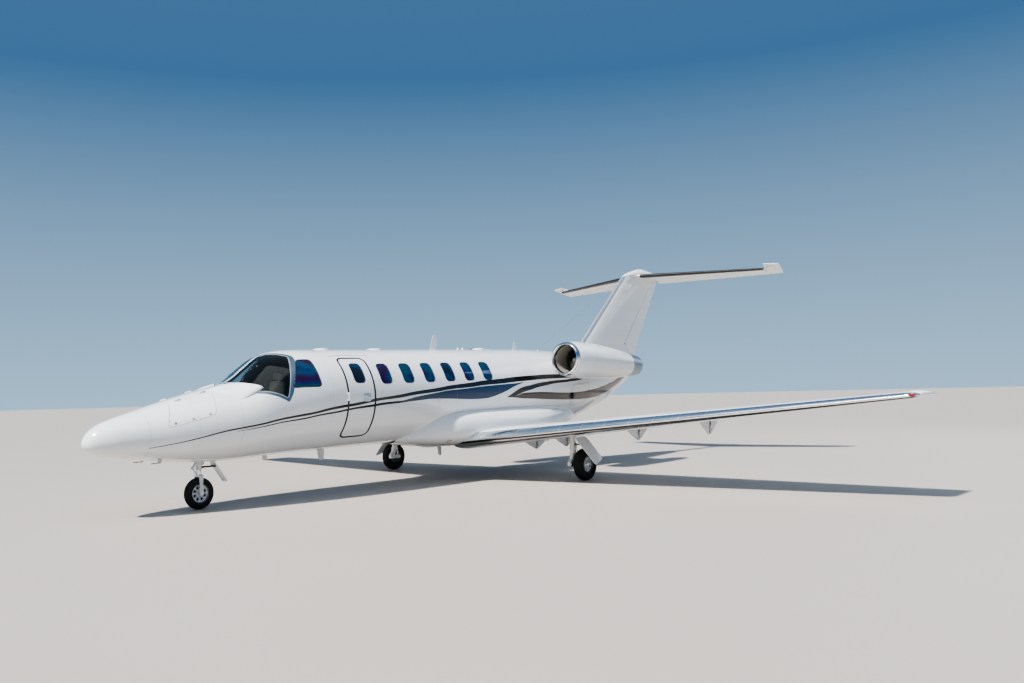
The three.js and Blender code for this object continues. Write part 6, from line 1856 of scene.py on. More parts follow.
yokes = []
for x in (-0.33, 0.33):
    hub = np.array((x, 2.58 - HALF_LENGTH, 1.40))
    yokes.append(rod_form(hub - (0, 0.18, 0), hub, 0.016))
    yokes.append(rod_form(hub - (0, 0.008, 0), hub + (0, 0.022, 0), 0.045, 0.04, sides=24))
    for side in (1, -1):
        t = np.linspace(0, 1, 14)
        bend = np.stack([side * (0.02 + 0.115 * np.sin(t * math.pi / 2)), 0.01 + 0.015 * t,
                         -0.01 + 0.10 * t**2.2 - 0.05 * np.sin(t * math.pi)], -1)
        yokes.append(tube_form(hub + bend, 0.011 + 0.005 * np.sin(t * math.pi)))
piece("control_wheels", joined(*yokes), rim_black, slot="panel")

# THE SEATS
# Each seat is a beige leather cushion, back and headrest on a moulded base. The cushions are
# crowned, with sides that pull in between their corners and two sewn channels down the middle.
# They are shaped by formula, and the cabin's seats slide along a rail on the ledge.
leather, leather_shader, leather_place = finish_of("seat_leather", Roughness=0.5, Sheen_Weight=0.1)
pores = leather_place.cells(420)
folds = leather_place.noise(16.0, 5.0)
feed(
    leather_shader, "Base Color",
    (pores * 0.3 + folds * 0.7).mix((0.40, 0.32, 0.24, 1), (0.56, 0.47, 0.36, 1)),
)
feed(leather_shader, "Roughness", folds * 0.25 + 0.34)
raise_by(leather_shader, pores * 0.4 + folds * 0.6, 0.0016)
shell_plastic = cloudy("seat_shell_plastic", 50, 3, (0.20, 0.17, 0.14), (0.27, 0.235, 0.20),
                       grain=(700, 1), depth=0.0003, Roughness=0.55)


def cushion_form(low, high, face, crown=0.02, channels=2):
    """A crowned pad in a box. On a sphere's grid, cosines and sines to the power 0.45 make a soft
    box, its sides are drawn in between the corners, its face (axis 1 or 2) bulges as a square of
    cosines, and narrow channels are pressed into that face along the other way."""
    low, high = np.array(low), np.array(high)
    up = np.linspace(-math.pi / 2, math.pi / 2, 34)[1:-1, None]
    power = 0.45
    a, b = (soft(np.cos(up), power) * around for around in boxed(72, power))
    c = soft(np.sin(up), power) + 0 * a
    draw_in = 1 - 0.035 * np.cos(b * math.pi / 2) * np.abs(a) ** 4
    bulge = np.cos(a * math.pi / 2) * np.cos(b * math.pi / 2)
    press = sum(np.exp(-((a - where) / 0.035) ** 2) for where in np.linspace(-1, 1, channels + 2)[1:-1])
    thick = (high - low)[face] / 2
    level = c * (1 - crown / thick) + np.sign(c) * (crown / thick) * bulge - 0.10 * press * np.clip(c, 0, 1)
    parts = [None, None, None]
    parts[0] = a * draw_in
    parts[face] = level
    parts[3 - face] = b * (1 - 0.03 * np.cos(a * math.pi / 2) * np.abs(b) ** 4)
    return loft_form((low + high) / 2 + np.stack(parts, -1) * (high - low) / 2)


SEAT_BASE = (
    # height, half width, half depth
    (0.001, 0.10, 0.185), (0.02, 0.10, 0.185), (0.10, 0.085, 0.16), (0.22, 0.095, 0.18), (0.236, 0.09, 0.175),
)
FREE_AISLE = 0.60       # an armrest is left off where it would stand outside of this, in the wall


def seat_forms(x, base_x, at, floor_height, facing, width):
    """The leather pads and the plastic parts of one seat. Facing is 1 for a sitter who looks
    forward and -1 for one who looks aft."""
    y = at - HALF_LENGTH
    half = width / 2

    def reach(a, b):
        return (y + a, y + b) if facing > 0 else (y - b, y - a)

    def pad(half_x, ys, low, high, face, crown, channels=2):
        front, back = reach(*ys)
        form = cushion_form((x - half_x, front, low), (x + half_x, back, high), face, crown, channels)
        if face == 1 and facing > 0:
            form = (form[0] * (1, -1, 1) + (0, front + back, 0), form[1][:, ::-1])
        return form

    pads = [
        pad(half, (0.0, 0.47), floor_height + 0.235, floor_height + 0.370, 2, 0.022),
        pad(half - 0.012, (0.405, 0.520), floor_height + 0.300, floor_height + 0.825, 1, 0.018),
        pad(0.108, (0.425, 0.500), floor_height + 0.830, floor_height + 0.955, 1, 0.012, 0),
    ]
    hard = []
    c, s = boxed(32, 0.35)
    middle = sum(reach(0.06, 0.43)) / 2
    z, wide, deep = np.array(SEAT_BASE).T[:, :, None]
    hard.append(loft_form(np.stack([base_x + wide * c, middle + deep * s, 0 * c + floor_height + z], -1)))
    for side in (1, -1):
        edge = x + side * (half - 0.005)
        if abs(edge) < FREE_AISLE:
            start, end = reach(0.10, 0.44)
            t = np.linspace(0, 1, 8)
            level = floor_height + 0.50 + 0.03 * np.sin(t * 3)
            hard.append(tube_form(np.stack([0 * t + edge, start + (end - start) * t, level], -1), 0.016))
    stem = y + 0.47 * facing
    for side in (1, -1):
        post_x = x + side * 0.05
        hard.append(rod_form(
            (post_x, stem, floor_height + 0.79), (post_x, stem, floor_height + 0.86), 0.006, sides=10,
        ))
    return pads, hard


def deck_height(at):
    """The height of the ledge that the seats stand on, which slopes up aft with the body."""
    return 1.08 * math.cos(PITCH) + (at - 5.0) * math.sin(PITCH)


CREW_X, CREW_AT, CREW_WIDE = 0.33, 2.92, 0.44
CABIN_X, RAIL_X, CABIN_WIDE = 0.435, 0.40, 0.40
CABIN_SEATS = ((5.45, -1), (6.15, 1), (7.25, 1))        # station of the seat's front, and its facing
RAIL_ENDS = (4.9, 7.8)
for tag, side in BOTH:
    rows = [(
        "crew_seat", side * CREW_X, side * CREW_X, CREW_AT, deck_height(CREW_AT + 0.45) + 0.001, 1,
        CREW_WIDE,
    )]
    for at, facing in CABIN_SEATS:
        rows.append((
            "cabin_seats", side * CABIN_X, side * RAIL_X, at, deck_height(at) + 0.014, facing, CABIN_WIDE,
        ))
    for k, (kind, *where) in enumerate(rows):
        pads, hard = seat_forms(*where)
        stands = [f"{kind}_{tag}"] if k < 2 else []
        for part, form in zip(("cushion", "back", "headrest"), pads):
            made = piece(f"{kind}_{tag}_{part}_{k}", form, leather, stands, slot="leather")
            stands = []
        if k == 1:
            start, end = (at - HALF_LENGTH for at in RAIL_ENDS)
            for middle in (side * RAIL_X - 0.020, side * RAIL_X + 0.020):
                points, faces = box_form((middle - 0.008, start, 0), (middle + 0.008, end, 0.018))
                points[:, 2] += deck_height(points[:, 1] + HALF_LENGTH)
                hard.append((points, faces))
        piece(f"{kind}_{tag}_base_{k}", joined(*hard), shell_plastic, slot="leather")

# THE WHEELS
# Each wheel is a grooved tyre on a white cast hub, whose two halves are bolted together and pierced by slots;
# the slots are drawn as deep pockets whose black floors are painted shade for the dark inside. The main
# wheels have a brake behind the hub.
rubber = cloudy(
    "tyre_rubber", 55, 5, (0.010, 0.010, 0.011), (0.040, 0.038, 0.036), rough=(0.6, 0.25), depth=0.0009,
)
gear_white, gear_shader, gear_place = finish_of("gear_enamel", Coat_Weight=0.3)
oil = gear_place.stretched((1, 1, 0.4)).noise(24.0, 5.0)
feed(
    gear_shader, "Base Color",
    oil.ramp((0.35, (0.80, 0.81, 0.82)), (0.62, (0.70, 0.70, 0.69)), (0.78, (0.46, 0.44, 0.41))),
)
feed(gear_shader, "Roughness", oil * 0.3 + 0.15)
raise_by(gear_shader, gear_place.noise(90.0, 3.0), 0.0003)
chrome = cloudy("polished_chrome", 2, 3, (0.72, 0.73, 0.75), (0.88, 0.89, 0.90), stretch=(30, 30, 300),
                rough=(0.04, 0.12), Metallic=1.0)
hose_black = cloudy(
    "hose_and_rod_black", 260, 2, (0.010, 0.010, 0.011), (0.05, 0.05, 0.052), depth=0.0006, Roughness=0.5,
)
brake_metal = cloudy(
    "brake_carbon_steel", 40, 5, (0.08, 0.075, 0.07), (0.26, 0.24, 0.22), rough=(0.35, 0.3), Metallic=0.8,
)


def tyre_form(centre, radius, half, rim, grooves):
    """A tyre: across the tread the radius falls as the fourth power of the share of the width, with
    grooves pressed in, and each sidewall bows out and comes in to the rim."""
    s = np.linspace(-0.86, 0.86, 15 + 12 * len(grooves))
    depth = sum(np.clip(1.6 - np.abs(s - where) / 0.030, 0, 1) for where in grooves)
    tread = np.stack([radius * (1 - 0.085 * np.abs(s) ** 4) - 0.007 * depth, s * half * 0.92], -1)
    t = np.linspace(0, 1, 10)[1:]
    wall_r = tread[-1, 0] + (rim - tread[-1, 0]) * t
    wall_x = half * (0.79 + 0.21 * np.sin(math.pi * (0.12 + 0.62 * t))) * (1 - 0.10 * t**2)
    bead = np.where((t > 0.42) & (t < 0.50), 0.0015, 0.0)
    right = np.stack([wall_r, wall_x + bead], -1)
    left = np.stack([wall_r, -(wall_x + bead)], -1)[::-1]
    inner = [(rim - 0.012, half * 0.66), (rim - 0.012, -half * 0.66)]
    return turned_form(np.concatenate([left, tread, right, inner]), centre, (1, 0, 0), 96)


def hub_form(centre, rim, half, slots, side):
    """One face of a hub, dished between its rim and its middle. Slots around it are pressed deep into the
    face where a rounded box curve of radius and angle is over its edge. The last zone is the slots' floors,
    which are given black as painted shade in place of openings through the hub."""
    edge_radii = [rim - 0.010, rim - 0.004, rim + 0.003, rim + 0.004]
    radii = np.concatenate([np.linspace(0.030, 0.045, 4), np.linspace(0.05, rim - 0.016, 26), edge_radii])
    face_radii = [0.030, 0.045, 0.055, rim - 0.03, rim - 0.014, rim - 0.004, rim + 0.004]
    face = half * np.interp(radii, face_radii, [0.60, 0.60, 0.42, 0.50, 0.52, 0.80, 0.83])
    columns = slots * 18
    turn = np.arange(columns) * 2 * math.pi / columns
    middle = (0.055 + rim - 0.022) / 2
    radial = np.abs(radii[:, None] - middle) / ((rim - 0.022 - 0.055) / 2 * 0.78)
    around = np.abs((turn * slots / (2 * math.pi)) % 1 - 0.5) / 0.30
    pressed = np.clip((1 - (radial**4 + around**4)) * 4, 0, 1)
    x = centre[0] + side * (face[:, None] - 0.030 * pressed)
    outer = np.stack(
        [x, centre[1] + radii[:, None] * np.cos(turn), centre[2] + radii[:, None] * np.sin(turn)], -1,
    )
    close = outer[::-1].copy()
    close[..., 0] = centre[0] + side * 0.002
    rings = np.concatenate([outer, close[[0, -1]]])
    points, faces = rings.reshape(-1, 3), grid_faces(len(rings) + 1, columns, True) % rings[..., 0].size
    # Faces deep in the slots get the black finish: painted shade for the dark inside of a hole through the
    # hub.
    deep = np.concatenate([pressed.reshape(-1) > 0.6, np.zeros(2 * columns, bool)])
    zones = np.where(deep[faces].all(1), 1, 0)
    return points, outward(points, faces), zones, np.full((len(faces), 3, 3), np.nan)


def hub_bolts(centre, radius, out, count, side):
    """A circle of bolts on a hub's face, with a cap over the axle's end."""
    turn = (np.arange(count) + 0.5) * 2 * math.pi / count
    forms = []
    for a in turn:
        foot = np.array(centre) + (side * (out - 0.008), radius * math.cos(a), radius * math.sin(a))
        forms.append(rod_form(foot, foot + (side * 0.014, 0, 0), 0.0055, sides=6, round_off=0.1))
    cap = (
        (0, out - 0.004), (0.026, out - 0.004), (0.026, out + 0.014), (0.020, out + 0.020),
        (0, out + 0.022),
    )
    forms.append(turned_form(cap, centre, (side, 0, 0), 32))
    return joined(*forms)


NOSE_WHEEL = ((0.0, 1.727 - HALF_LENGTH, 0.2285), 0.2285, 0.055, 0.140, (-0.42, 0.0, 0.42), 8)
MAIN_WHEEL = ((2.470, 7.958 - HALF_LENGTH, 0.280), 0.280, 0.0825, 0.140, (-0.54, -0.18, 0.18, 0.54), 9)


def wheel_pieces(name, body, wheel, side_x=1):
    """The pieces of one wheel, which all turn with it."""
    centre, radius, half, rim, grooves, slots = wheel
    centre = (centre[0] * side_x, *centre[1:])
    piece(
        f"{name}_tyre", tyre_form(centre, radius, half, rim, grooves), rubber, [name], body=body,
        slot="tyre", sharp=28,
    )
    # Each hub face's second finish is the black of its slot floors, which is painted shade.
    for tag, side in (("outer", 1), ("inner", -1)):
        piece(
            f"{name}_hub_{tag}", hub_form(centre, rim, half, slots, side * side_x),
            [gear_white, rim_black], body=body, slot="tyre",
        )
        piece(
            f"{name}_bolts_{tag}", hub_bolts(centre, rim - 0.022, half * 0.50, slots, side * side_x),
            steel, body=body, slot="tyre",
        )


wheel_pieces("nose_wheel", "nose_wheel_body", NOSE_WHEEL)
wheel_pieces("main_wheel_left", "main_wheel_l", MAIN_WHEEL)
wheel_pieces("main_wheel_right", "main_wheel_r", MAIN_WHEEL, -1)

# THE NOSE GEAR
# A white strut with a bright piston, a collar with its links, a drag brace and a forged fork.
# The one door that stays open hangs behind the leg from the back of its bay.
NOSE_Y, NOSE_R = NOSE_WHEEL[0][1:]


def round_plate(corners, radius, low, high, steps=6):
    """A flat plate with rounded corners, from a low X to a high one; corners are Y and Z."""
    flat = np.array(corners, float)
    points = []
    for before, corner, after in zip(np.roll(flat, 1, 0), flat, np.roll(flat, -1, 0)):
        start, end = (
            corner + min(radius / np.linalg.norm(other - corner), 0.45) * (other - corner)
            for other in (before, after)
        )
        t = np.linspace(0, 1, steps)[:, None]
        points.append((1 - t) ** 2 * start + 2 * t * (1 - t) * corner + t**2 * end)
    outline = np.concatenate(points)
    middle = outline.mean(0)
    inset = outline + (middle - outline) / np.linalg.norm(middle - outline, axis=1, keepdims=True) * 0.003
    rows = ((low, inset), (low + 0.003, outline), (high - 0.003, outline), (high, inset))
    return loft_form([np.concatenate([np.full((len(row), 1), x), row], 1) for x, row in rows])


strut = turned_form(
    (
        (0, 0.563), (0.040, 0.563), (0.045, 0.568), (0.045, 0.632), (0.056, 0.640), (0.058, 0.648),
        (0.058, 0.692), (0.056, 0.700), (0.046, 0.704), (0.045, 0.80), (0.045, 1.027), (0, 1.027),
    ),
    (0, NOSE_Y, 0), (0, 0, 1), 40,
)
trunnion = rod_form((-0.106, NOSE_Y, 0.90), (0.106, NOSE_Y, 0.90), 0.022)
brace = rod_form((0, NOSE_Y, 0.670), (0, NOSE_Y + 0.195, 0.955), 0.018)
brace_ends = [rod_form((-0.028, NOSE_Y + 0.004, 0.676), (0.028, NOSE_Y + 0.004, 0.676), 0.024)]
links = [
    rod_form(
        (side * 0.038, NOSE_Y + 0.020, 0.605), (side * 0.038, NOSE_Y + 0.262, 0.605), 0.009, sides=14,
    )
    for side in (1, -1)
]
link_eyes = [rod_form((side * 0.028, NOSE_Y + y, 0.605), (side * 0.048, NOSE_Y + y, 0.605), 0.015, sides=18)
             for side in (1, -1) for y in (0.045, 0.240)]
scissors = [
    round_plate(
        [
            (NOSE_Y - 0.04, 0.668), (NOSE_Y - 0.04, 0.690), (NOSE_Y - 0.118, 0.600),
            (NOSE_Y - 0.118, 0.582), (NOSE_Y - 0.10, 0.580),
        ],
        0.008, side * 0.020 - 0.007, side * 0.020 + 0.007,
    )
    for side in (1, -1)
]
lower_scissors = [
    round_plate(
        [
            (NOSE_Y - 0.118, 0.600), (NOSE_Y - 0.100, 0.602), (NOSE_Y - 0.020, 0.512),
            (NOSE_Y - 0.020, 0.490), (NOSE_Y - 0.036, 0.490),
        ],
        0.008, side * 0.008 - 0.005, side * 0.008 + 0.005,
    )
    for side in (1, -1)
]
taxi_lamp = turned_form(
    ((0, -0.03), (0.020, -0.028), (0.040, -0.004), (0.044, 0.010), (0.042, 0.016), (0, 0.016)),
    (0, NOSE_Y - 0.070, 0.735), (0, -1, 0), 32,
)
lamp_arm = rod_form((0, NOSE_Y - 0.045, 0.70), (0, NOSE_Y - 0.062, 0.722), 0.010, sides=12)
piece(
    "nose_leg_strut", joined(strut, trunnion, brace, *brace_ends, *scissors, lamp_arm), gear_white,
    ["nose_gear_leg"], slot="gear_white",
)
piece("nose_leg_links", joined(*links, *link_eyes), hose_black, slot="gear_white")
lamp_glass, lamp_shader, lamp_place = finish_of("lamp_lens", Roughness=0.08, Coat_Weight=1.0)
facets = lamp_place.cells(220)
feed(lamp_shader, "Base Color", facets.mix((0.55, 0.57, 0.60, 1), (0.85, 0.87, 0.90, 1)))
raise_by(lamp_shader, facets, 0.002)
piece("taxi_lamp", taxi_lamp, lamp_glass, slot="light_skin")

FORK_SIDE = NOSE_WHEEL[2] + 0.014
piston = rod_form((0, NOSE_Y, 0.490), (0, NOSE_Y, 0.562), 0.034, sides=36, round_off=0.03)
BRIDGE = (
    # half width, half depth, height, half height
    (FORK_SIDE + 0.013, 0.020, 0.455, 0.012), (FORK_SIDE + 0.006, 0.030, 0.470, 0.022),
    (0.045, 0.036, 0.482, 0.020),
)
bridge_rows = [(-half, *row) for half, *row in BRIDGE] + list(BRIDGE[::-1])
bridge_x, bridge_deep, bridge_z, bridge_tall = np.array(bridge_rows).T[:, :, None]
c, s = boxed(28, 0.5)
bridge_points = [bridge_x + 0 * c, NOSE_Y + bridge_deep * c, bridge_z + bridge_tall * s]
fork_bridge = loft_form(np.stack(bridge_points, -1))
fork_arms = [
    round_plate(
        [
            (NOSE_Y - 0.030, 0.470), (NOSE_Y - 0.026, 0.34), (NOSE_Y - 0.034, NOSE_R + 0.02),
            (NOSE_Y - 0.028, NOSE_R - 0.038), (NOSE_Y + 0.028, NOSE_R - 0.038),
            (NOSE_Y + 0.034, NOSE_R + 0.02), (NOSE_Y + 0.026, 0.34), (NOSE_Y + 0.030, 0.470),
        ],
        0.022, side * FORK_SIDE - 0.0115, side * FORK_SIDE + 0.0115,
    )
    for side in (1, -1)
]
nose_axle = rod_form(
    (-FORK_SIDE - 0.020, NOSE_Y, NOSE_R), (FORK_SIDE + 0.020, NOSE_Y, NOSE_R), 0.0235, sides=32,
)
axle_nuts = [
    rod_form(
        (side * (FORK_SIDE + 0.012), NOSE_Y, NOSE_R), (side * (FORK_SIDE + 0.0195), NOSE_Y, NOSE_R),
        0.032, sides=6, round_off=0.08,
    )
    for side in (1, -1)
]
piece(
    "nose_fork_forging", joined(fork_bridge, *fork_arms, *lower_scissors), gear_white, ["nose_gear_fork"],
    body="nose_fork", slot="gear_white",
)
piece("nose_fork_piston", piston, chrome, body="nose_fork", slot="gear_white")
piece("nose_axle", joined(nose_axle, *axle_nuts), steel, body="nose_fork", slot="gear_white")
t = np.linspace(0, 1, 16)
nose_hose_path = np.stack([0 * t + 0.030, NOSE_Y + 0.05 + 0.05 * np.sin(t * math.pi), 0.90 - 0.26 * t], -1)
piece("nose_leg_hose", tube_form(nose_hose_path, 0.005), hose_black, slot="gear_white")


def door_sheet(low, high, half_low, half_high, thick, bow):
    """A gear door: a rounded sheet between two points of Y and Z, bowed aft across its width."""
    low, high = np.array(low), np.array(high)
    t = np.linspace(0, 1, 24)[:, None]
    s = np.linspace(-1, 1, 25)
    half = half_low + (half_high - half_low) * t
    corner = np.clip(1 - np.minimum(t, 1 - t) / 0.09, 0, 1)
    half = half - 0.030 * (1 - np.sqrt(1 - corner**2))
    middle = low + (high - low) * t
    way = (high - low) / np.linalg.norm(high - low)
    normal = np.array((way[1], -way[0]))
    out = bow * (1 - s**2)
    y = middle[:, :1] + normal[0] * out
    z = middle[:, 1:] + normal[1] * out
    sheet = np.stack([half * s, y, z], -1)
    back = sheet + np.concatenate([[0], -normal * thick])
    return walled(sheet.reshape(-1, 3), back.reshape(-1, 3), grid_faces(24, 25, False))


door_white = sheet_paint("gear_door_paint", 2, 0.16)
nose_door_form = door_sheet((NOSE_Y + 0.450, 0.365), (NOSE_Y + 0.210, 0.694), 0.072, 0.074, 0.008, 0.010)
door_hinges = [
    rod_form(
        (side * 0.055, NOSE_Y + 0.214, 0.690), (side * 0.025, NOSE_Y + 0.214, 0.690), 0.007, sides=14,
    )
    for side in (1, -1)
]
piece(
    "nose_gear_door_sheet", joined(nose_door_form, *door_hinges), door_white, ["nose_gear_door"],
    slot="light_skin",
)

# THE MAIN GEAR
# A white leg comes down from the wing and widens to a lug. A link trails from there to the axle,
# and a damper runs from the link up to the leg. A flat door hangs sloped over the wheel.
MAIN_Y, MAIN_R = MAIN_WHEEL[0][1:]
LEG_X, LEG_Y, LUG = 2.310, MAIN_Y - 0.130, 0.480
PIVOT_Y, PIVOT_Z = MAIN_Y - 0.225, 0.285
LEG_TOP = wing_at(LEG_X, 0.45)[2] - 0.08

leg_tube = turned_form(
    (
        (0, LUG - 0.02), (0.046, LUG - 0.02), (0.046, 0.536), (0.055, 0.542), (0.056, 0.586),
        (0.054, 0.592), (0.046, 0.596), (0.046, LEG_TOP), (0, LEG_TOP),
    ),
    (LEG_X, LEG_Y, 0), (0, 0, 1), 40,
)
leg_lug = round_plate(
    [
        (LEG_Y - 0.050, LUG + 0.02), (LEG_Y - 0.060, 0.40), (PIVOT_Y - 0.045, 0.320),
        (PIVOT_Y - 0.035, 0.248), (PIVOT_Y + 0.040, 0.240), (LEG_Y + 0.020, 0.380),
        (LEG_Y + 0.050, LUG + 0.02),
    ],
    0.030, LEG_X - 0.034, LEG_X + 0.034,
)
trailing_link = round_plate(
    [
        (PIVOT_Y - 0.030, PIVOT_Z - 0.030), (MAIN_Y - 0.010, 0.242), (MAIN_Y + 0.036, 0.268),
        (MAIN_Y + 0.030, 0.308), (MAIN_Y - 0.030, 0.328), (PIVOT_Y - 0.030, PIVOT_Z + 0.032),
    ],
    0.030, LEG_X - 0.024, LEG_X + 0.024,
)
pivot_pin = rod_form((LEG_X - 0.044, PIVOT_Y, PIVOT_Z), (LEG_X + 0.044, PIVOT_Y, PIVOT_Z), 0.020, sides=28)
pin_head = [
    rod_form(
        (LEG_X + side * 0.034, PIVOT_Y, PIVOT_Z), (LEG_X + side * 0.040, PIVOT_Y, PIVOT_Z), 0.030,
        sides=28,
    )
    for side in (1, -1)
]
damper_low, damper_high = np.array((LEG_X, MAIN_Y - 0.030, 0.315)), np.array((LEG_X, LEG_Y + 0.040, 0.600))
damper_way = damper_high - damper_low
damper_case = rod_form(damper_low + damper_way * 0.40, damper_high, 0.026, sides=32)
damper_rod = rod_form(damper_low, damper_low + damper_way * 0.45, 0.016, sides=28)
damper_eyes = [
    rod_form(end - (0.030, 0, 0), end + (0.030, 0, 0), 0.022, sides=24)
    for end in (damper_low, damper_high)
]
axle = rod_form(
    (LEG_X - 0.030, MAIN_Y, MAIN_R), (MAIN_WHEEL[0][0] + 0.060, MAIN_Y, MAIN_R), 0.0295, sides=32,
)
brake = turned_form(
    ((0.031, 0.0), (0.118, 0.0), (0.122, 0.006), (0.122, 0.030), (0.110, 0.036), (0.031, 0.036)),
    (LEG_X + 0.052, MAIN_Y, MAIN_R), (1, 0, 0), 48,
)
spots = [(MAIN_Y + 0.088 * math.cos(a), MAIN_R + 0.088 * math.sin(a)) for a in (0.7, 1.9, 3.1, 4.3, 5.5)]
pistons = [rod_form((LEG_X + 0.034, *spot), (LEG_X + 0.056, *spot), 0.017, sides=18) for spot in spots]
hose_path = np.array([
    (LEG_X + 0.050, LEG_Y + 0.02, 0.70), (LEG_X + 0.060, LEG_Y + 0.03, 0.60),
    (LEG_X + 0.062, LEG_Y + 0.05, 0.50), (LEG_X + 0.060, LEG_Y + 0.09, 0.42),
    (LEG_X + 0.050, MAIN_Y - 0.05, 0.38), (LEG_X + 0.045, MAIN_Y - 0.04, 0.34),
])
fine = np.linspace(0, len(hose_path) - 1, 30)
hose_path = np.stack([np.interp(fine, np.arange(len(hose_path)), hose_path[:, k]) for k in range(3)], -1)
brake_hose = tube_form(hose_path, 0.0055)

GEAR_DOOR_X, GEAR_DOOR_TOP, GEAR_DOOR_LEAN = 2.425, 0.755, 0.74
DOOR_FRONT_Y, DOOR_BACK_Y = MAIN_Y - 0.208, MAIN_Y + 0.142
door_plate = round_plate(
    [(DOOR_FRONT_Y, 0.02), (DOOR_FRONT_Y, -0.63), (DOOR_BACK_Y, -0.49), (DOOR_BACK_Y, 0.02)], 0.07,
    -0.006, 0.006,
)
lean_c, lean_s = math.cos(GEAR_DOOR_LEAN), math.sin(GEAR_DOOR_LEAN)
flat_x, flat_y, flat_z = door_plate[0].T
flat_x = flat_x - 0.010 * ((flat_y - (DOOR_FRONT_Y + DOOR_BACK_Y) / 2) / 0.175) ** 2
main_door = (
    np.stack(
        [
            GEAR_DOOR_X + flat_x * lean_c - flat_z * lean_s, flat_y,
            GEAR_DOOR_TOP + flat_x * lean_s + flat_z * lean_c,
        ],
        -1,
    ),
    door_plate[1],
)
link_x = GEAR_DOOR_X + (GEAR_DOOR_TOP - 0.640) * math.tan(GEAR_DOOR_LEAN)
door_link = joined(
    rod_form((LEG_X + 0.046, LEG_Y, 0.640), (link_x, LEG_Y, 0.640), 0.012, sides=18),
    rod_form(
        (LEG_X + 0.050, LEG_Y - 0.014, 0.640), (LEG_X + 0.050, LEG_Y + 0.014, 0.640), 0.018, sides=18,
    ),
)
pair("main_leg_{}_forging", joined(leg_tube, leg_lug, trailing_link, damper_case, *damper_eyes), gear_white,
     ["main_gear_leg_{}"], slot="gear_white")
pair("main_leg_{}_bright_parts", joined(damper_rod, pivot_pin, *pin_head, axle), chrome, slot="gear_white")
pair("main_brake_{}", joined(brake, *pistons), brake_metal, slot="gear_white")
pair("main_brake_hose_{}", brake_hose, hose_black, slot="gear_white")
pair("main_gear_door_{}_sheet", main_door, door_white, ["main_gear_door_{}"])
pair("main_gear_door_{}_link", door_link, hose_black)

# THE SMALL FITTINGS
# The entry door's flush handle, a rain strip over it, latches on the nose doors, lamps, fuel caps
# and the thin wicks that bleed static charge from the trailing edges.
def on_skin(at, degrees, profile, sides=32):
    """A turned fitting that stands on the skin; its profile counts from the surface."""
    angle = math.radians(degrees)
    return turned_form(profile, skin(at, angle), skin_normals(np.array(float(at)), np.array(angle)), sides)


plate_outline = ((4.225, -4.0), (4.225, 5.5), (4.385, 5.5), (4.385, -4.0))
handle_plate = walled_skin(rounded(plate_outline, 0.035), out=0.0010, wall=0.003, step=0.05)
piece("door_handle_plate", handle_plate, steel, body="entry_door")
LEVER = (
    # station, degrees, height over the skin, radius
    (4.245, 1.8, 0.002, 0.008), (4.255, 1.7, 0.010, 0.010), (4.29, 1.3, 0.013, 0.010),
    (4.33, 0.6, 0.013, 0.010), (4.36, 0.0, 0.011, 0.009), (4.372, -0.3, 0.003, 0.006),
)
lever_path = [skin(at, math.radians(degrees), out) for at, degrees, out, _ in LEVER]
lever = tube_form(lever_path, [row[3] for row in LEVER])
handle_boss = on_skin(4.25, 1.8, ((0, 0.0), (0.021, 0.0), (0.021, 0.006), (0.017, 0.010), (0, 0.011)))
piece("door_handle", joined(lever, handle_boss), chrome, body="entry_door")

RAIN_STRIP = (3.80, 4.66, 57.5)
strip_path = [skin(at, math.radians(RAIN_STRIP[2] + 2.2 * math.sin((at - RAIN_STRIP[0]) * 3.6)), 0.002)
              for at in np.linspace(*RAIN_STRIP[:2], 24)]
piece("rain_strip", tube_form(strip_path, 0.0055), paint)

LATCH = (
    (0, -0.004), (0.017, -0.004), (0.017, 0.0008), (0.0145, 0.0012), (0.0140, 0.0004), (0.006, 0.0004),
    (0.005, 0.0020), (0, 0.0022),
)
latches = [on_skin(at, degrees, LATCH, 24) for at, degrees in ((1.09, 20.0), (1.34, 22.0), (1.58, 24.5))]
pair("nose_door_{}_latches", joined(*latches), steel, body="nose_baggage_door_{}")

DOOR_LATCH_AT = ((10.13, -26), (10.64, -26), (10.64, -2))
piece(
    "aft_door_latches", joined(*[on_skin(at, degrees, LATCH, 24) for at, degrees in DOOR_LATCH_AT]),
    steel, body="aft_door",
)

LAMP = ((0, -0.01), (0.032, -0.01), (0.032, 0.004), (0.026, 0.008), (0.016, 0.013), (0, 0.015))
pair("wing_lamp_{}", on_skin(5.98, -7.0, LAMP), lamp_glass, slot="light_skin")


def lens_finish(name, dark, bright):
    """A coloured lamp lens, moulded in fine ribs."""
    finish, shader, place = finish_of(name, Roughness=0.08, Coat_Weight=1.0)
    ribs = (place.parts()[1] * 140).fraction().near(0.5, 0.2, 0.2)
    feed(shader, "Base Color", ribs.mix(dark, bright))
    raise_by(shader, ribs, 0.0008)
    return finish


def pod_form(centre, half_x, half_y, half_z):
    """An egg of glass: a sphere's grid drawn out by three half sizes, narrower towards its back."""
    up = np.linspace(-math.pi / 2, math.pi / 2, 26)[1:-1, None]
    turn = np.arange(32)[None] * 2 * math.pi / 32
    y = np.sin(up) + 0 * turn
    narrow = np.cos(up) * (1 - 0.25 * y)
    return loft_form(
        np.array(centre) + np.stack(
            [half_x * narrow * np.cos(turn), half_y * y, half_z * narrow * np.sin(turn)], -1,
        )
    )


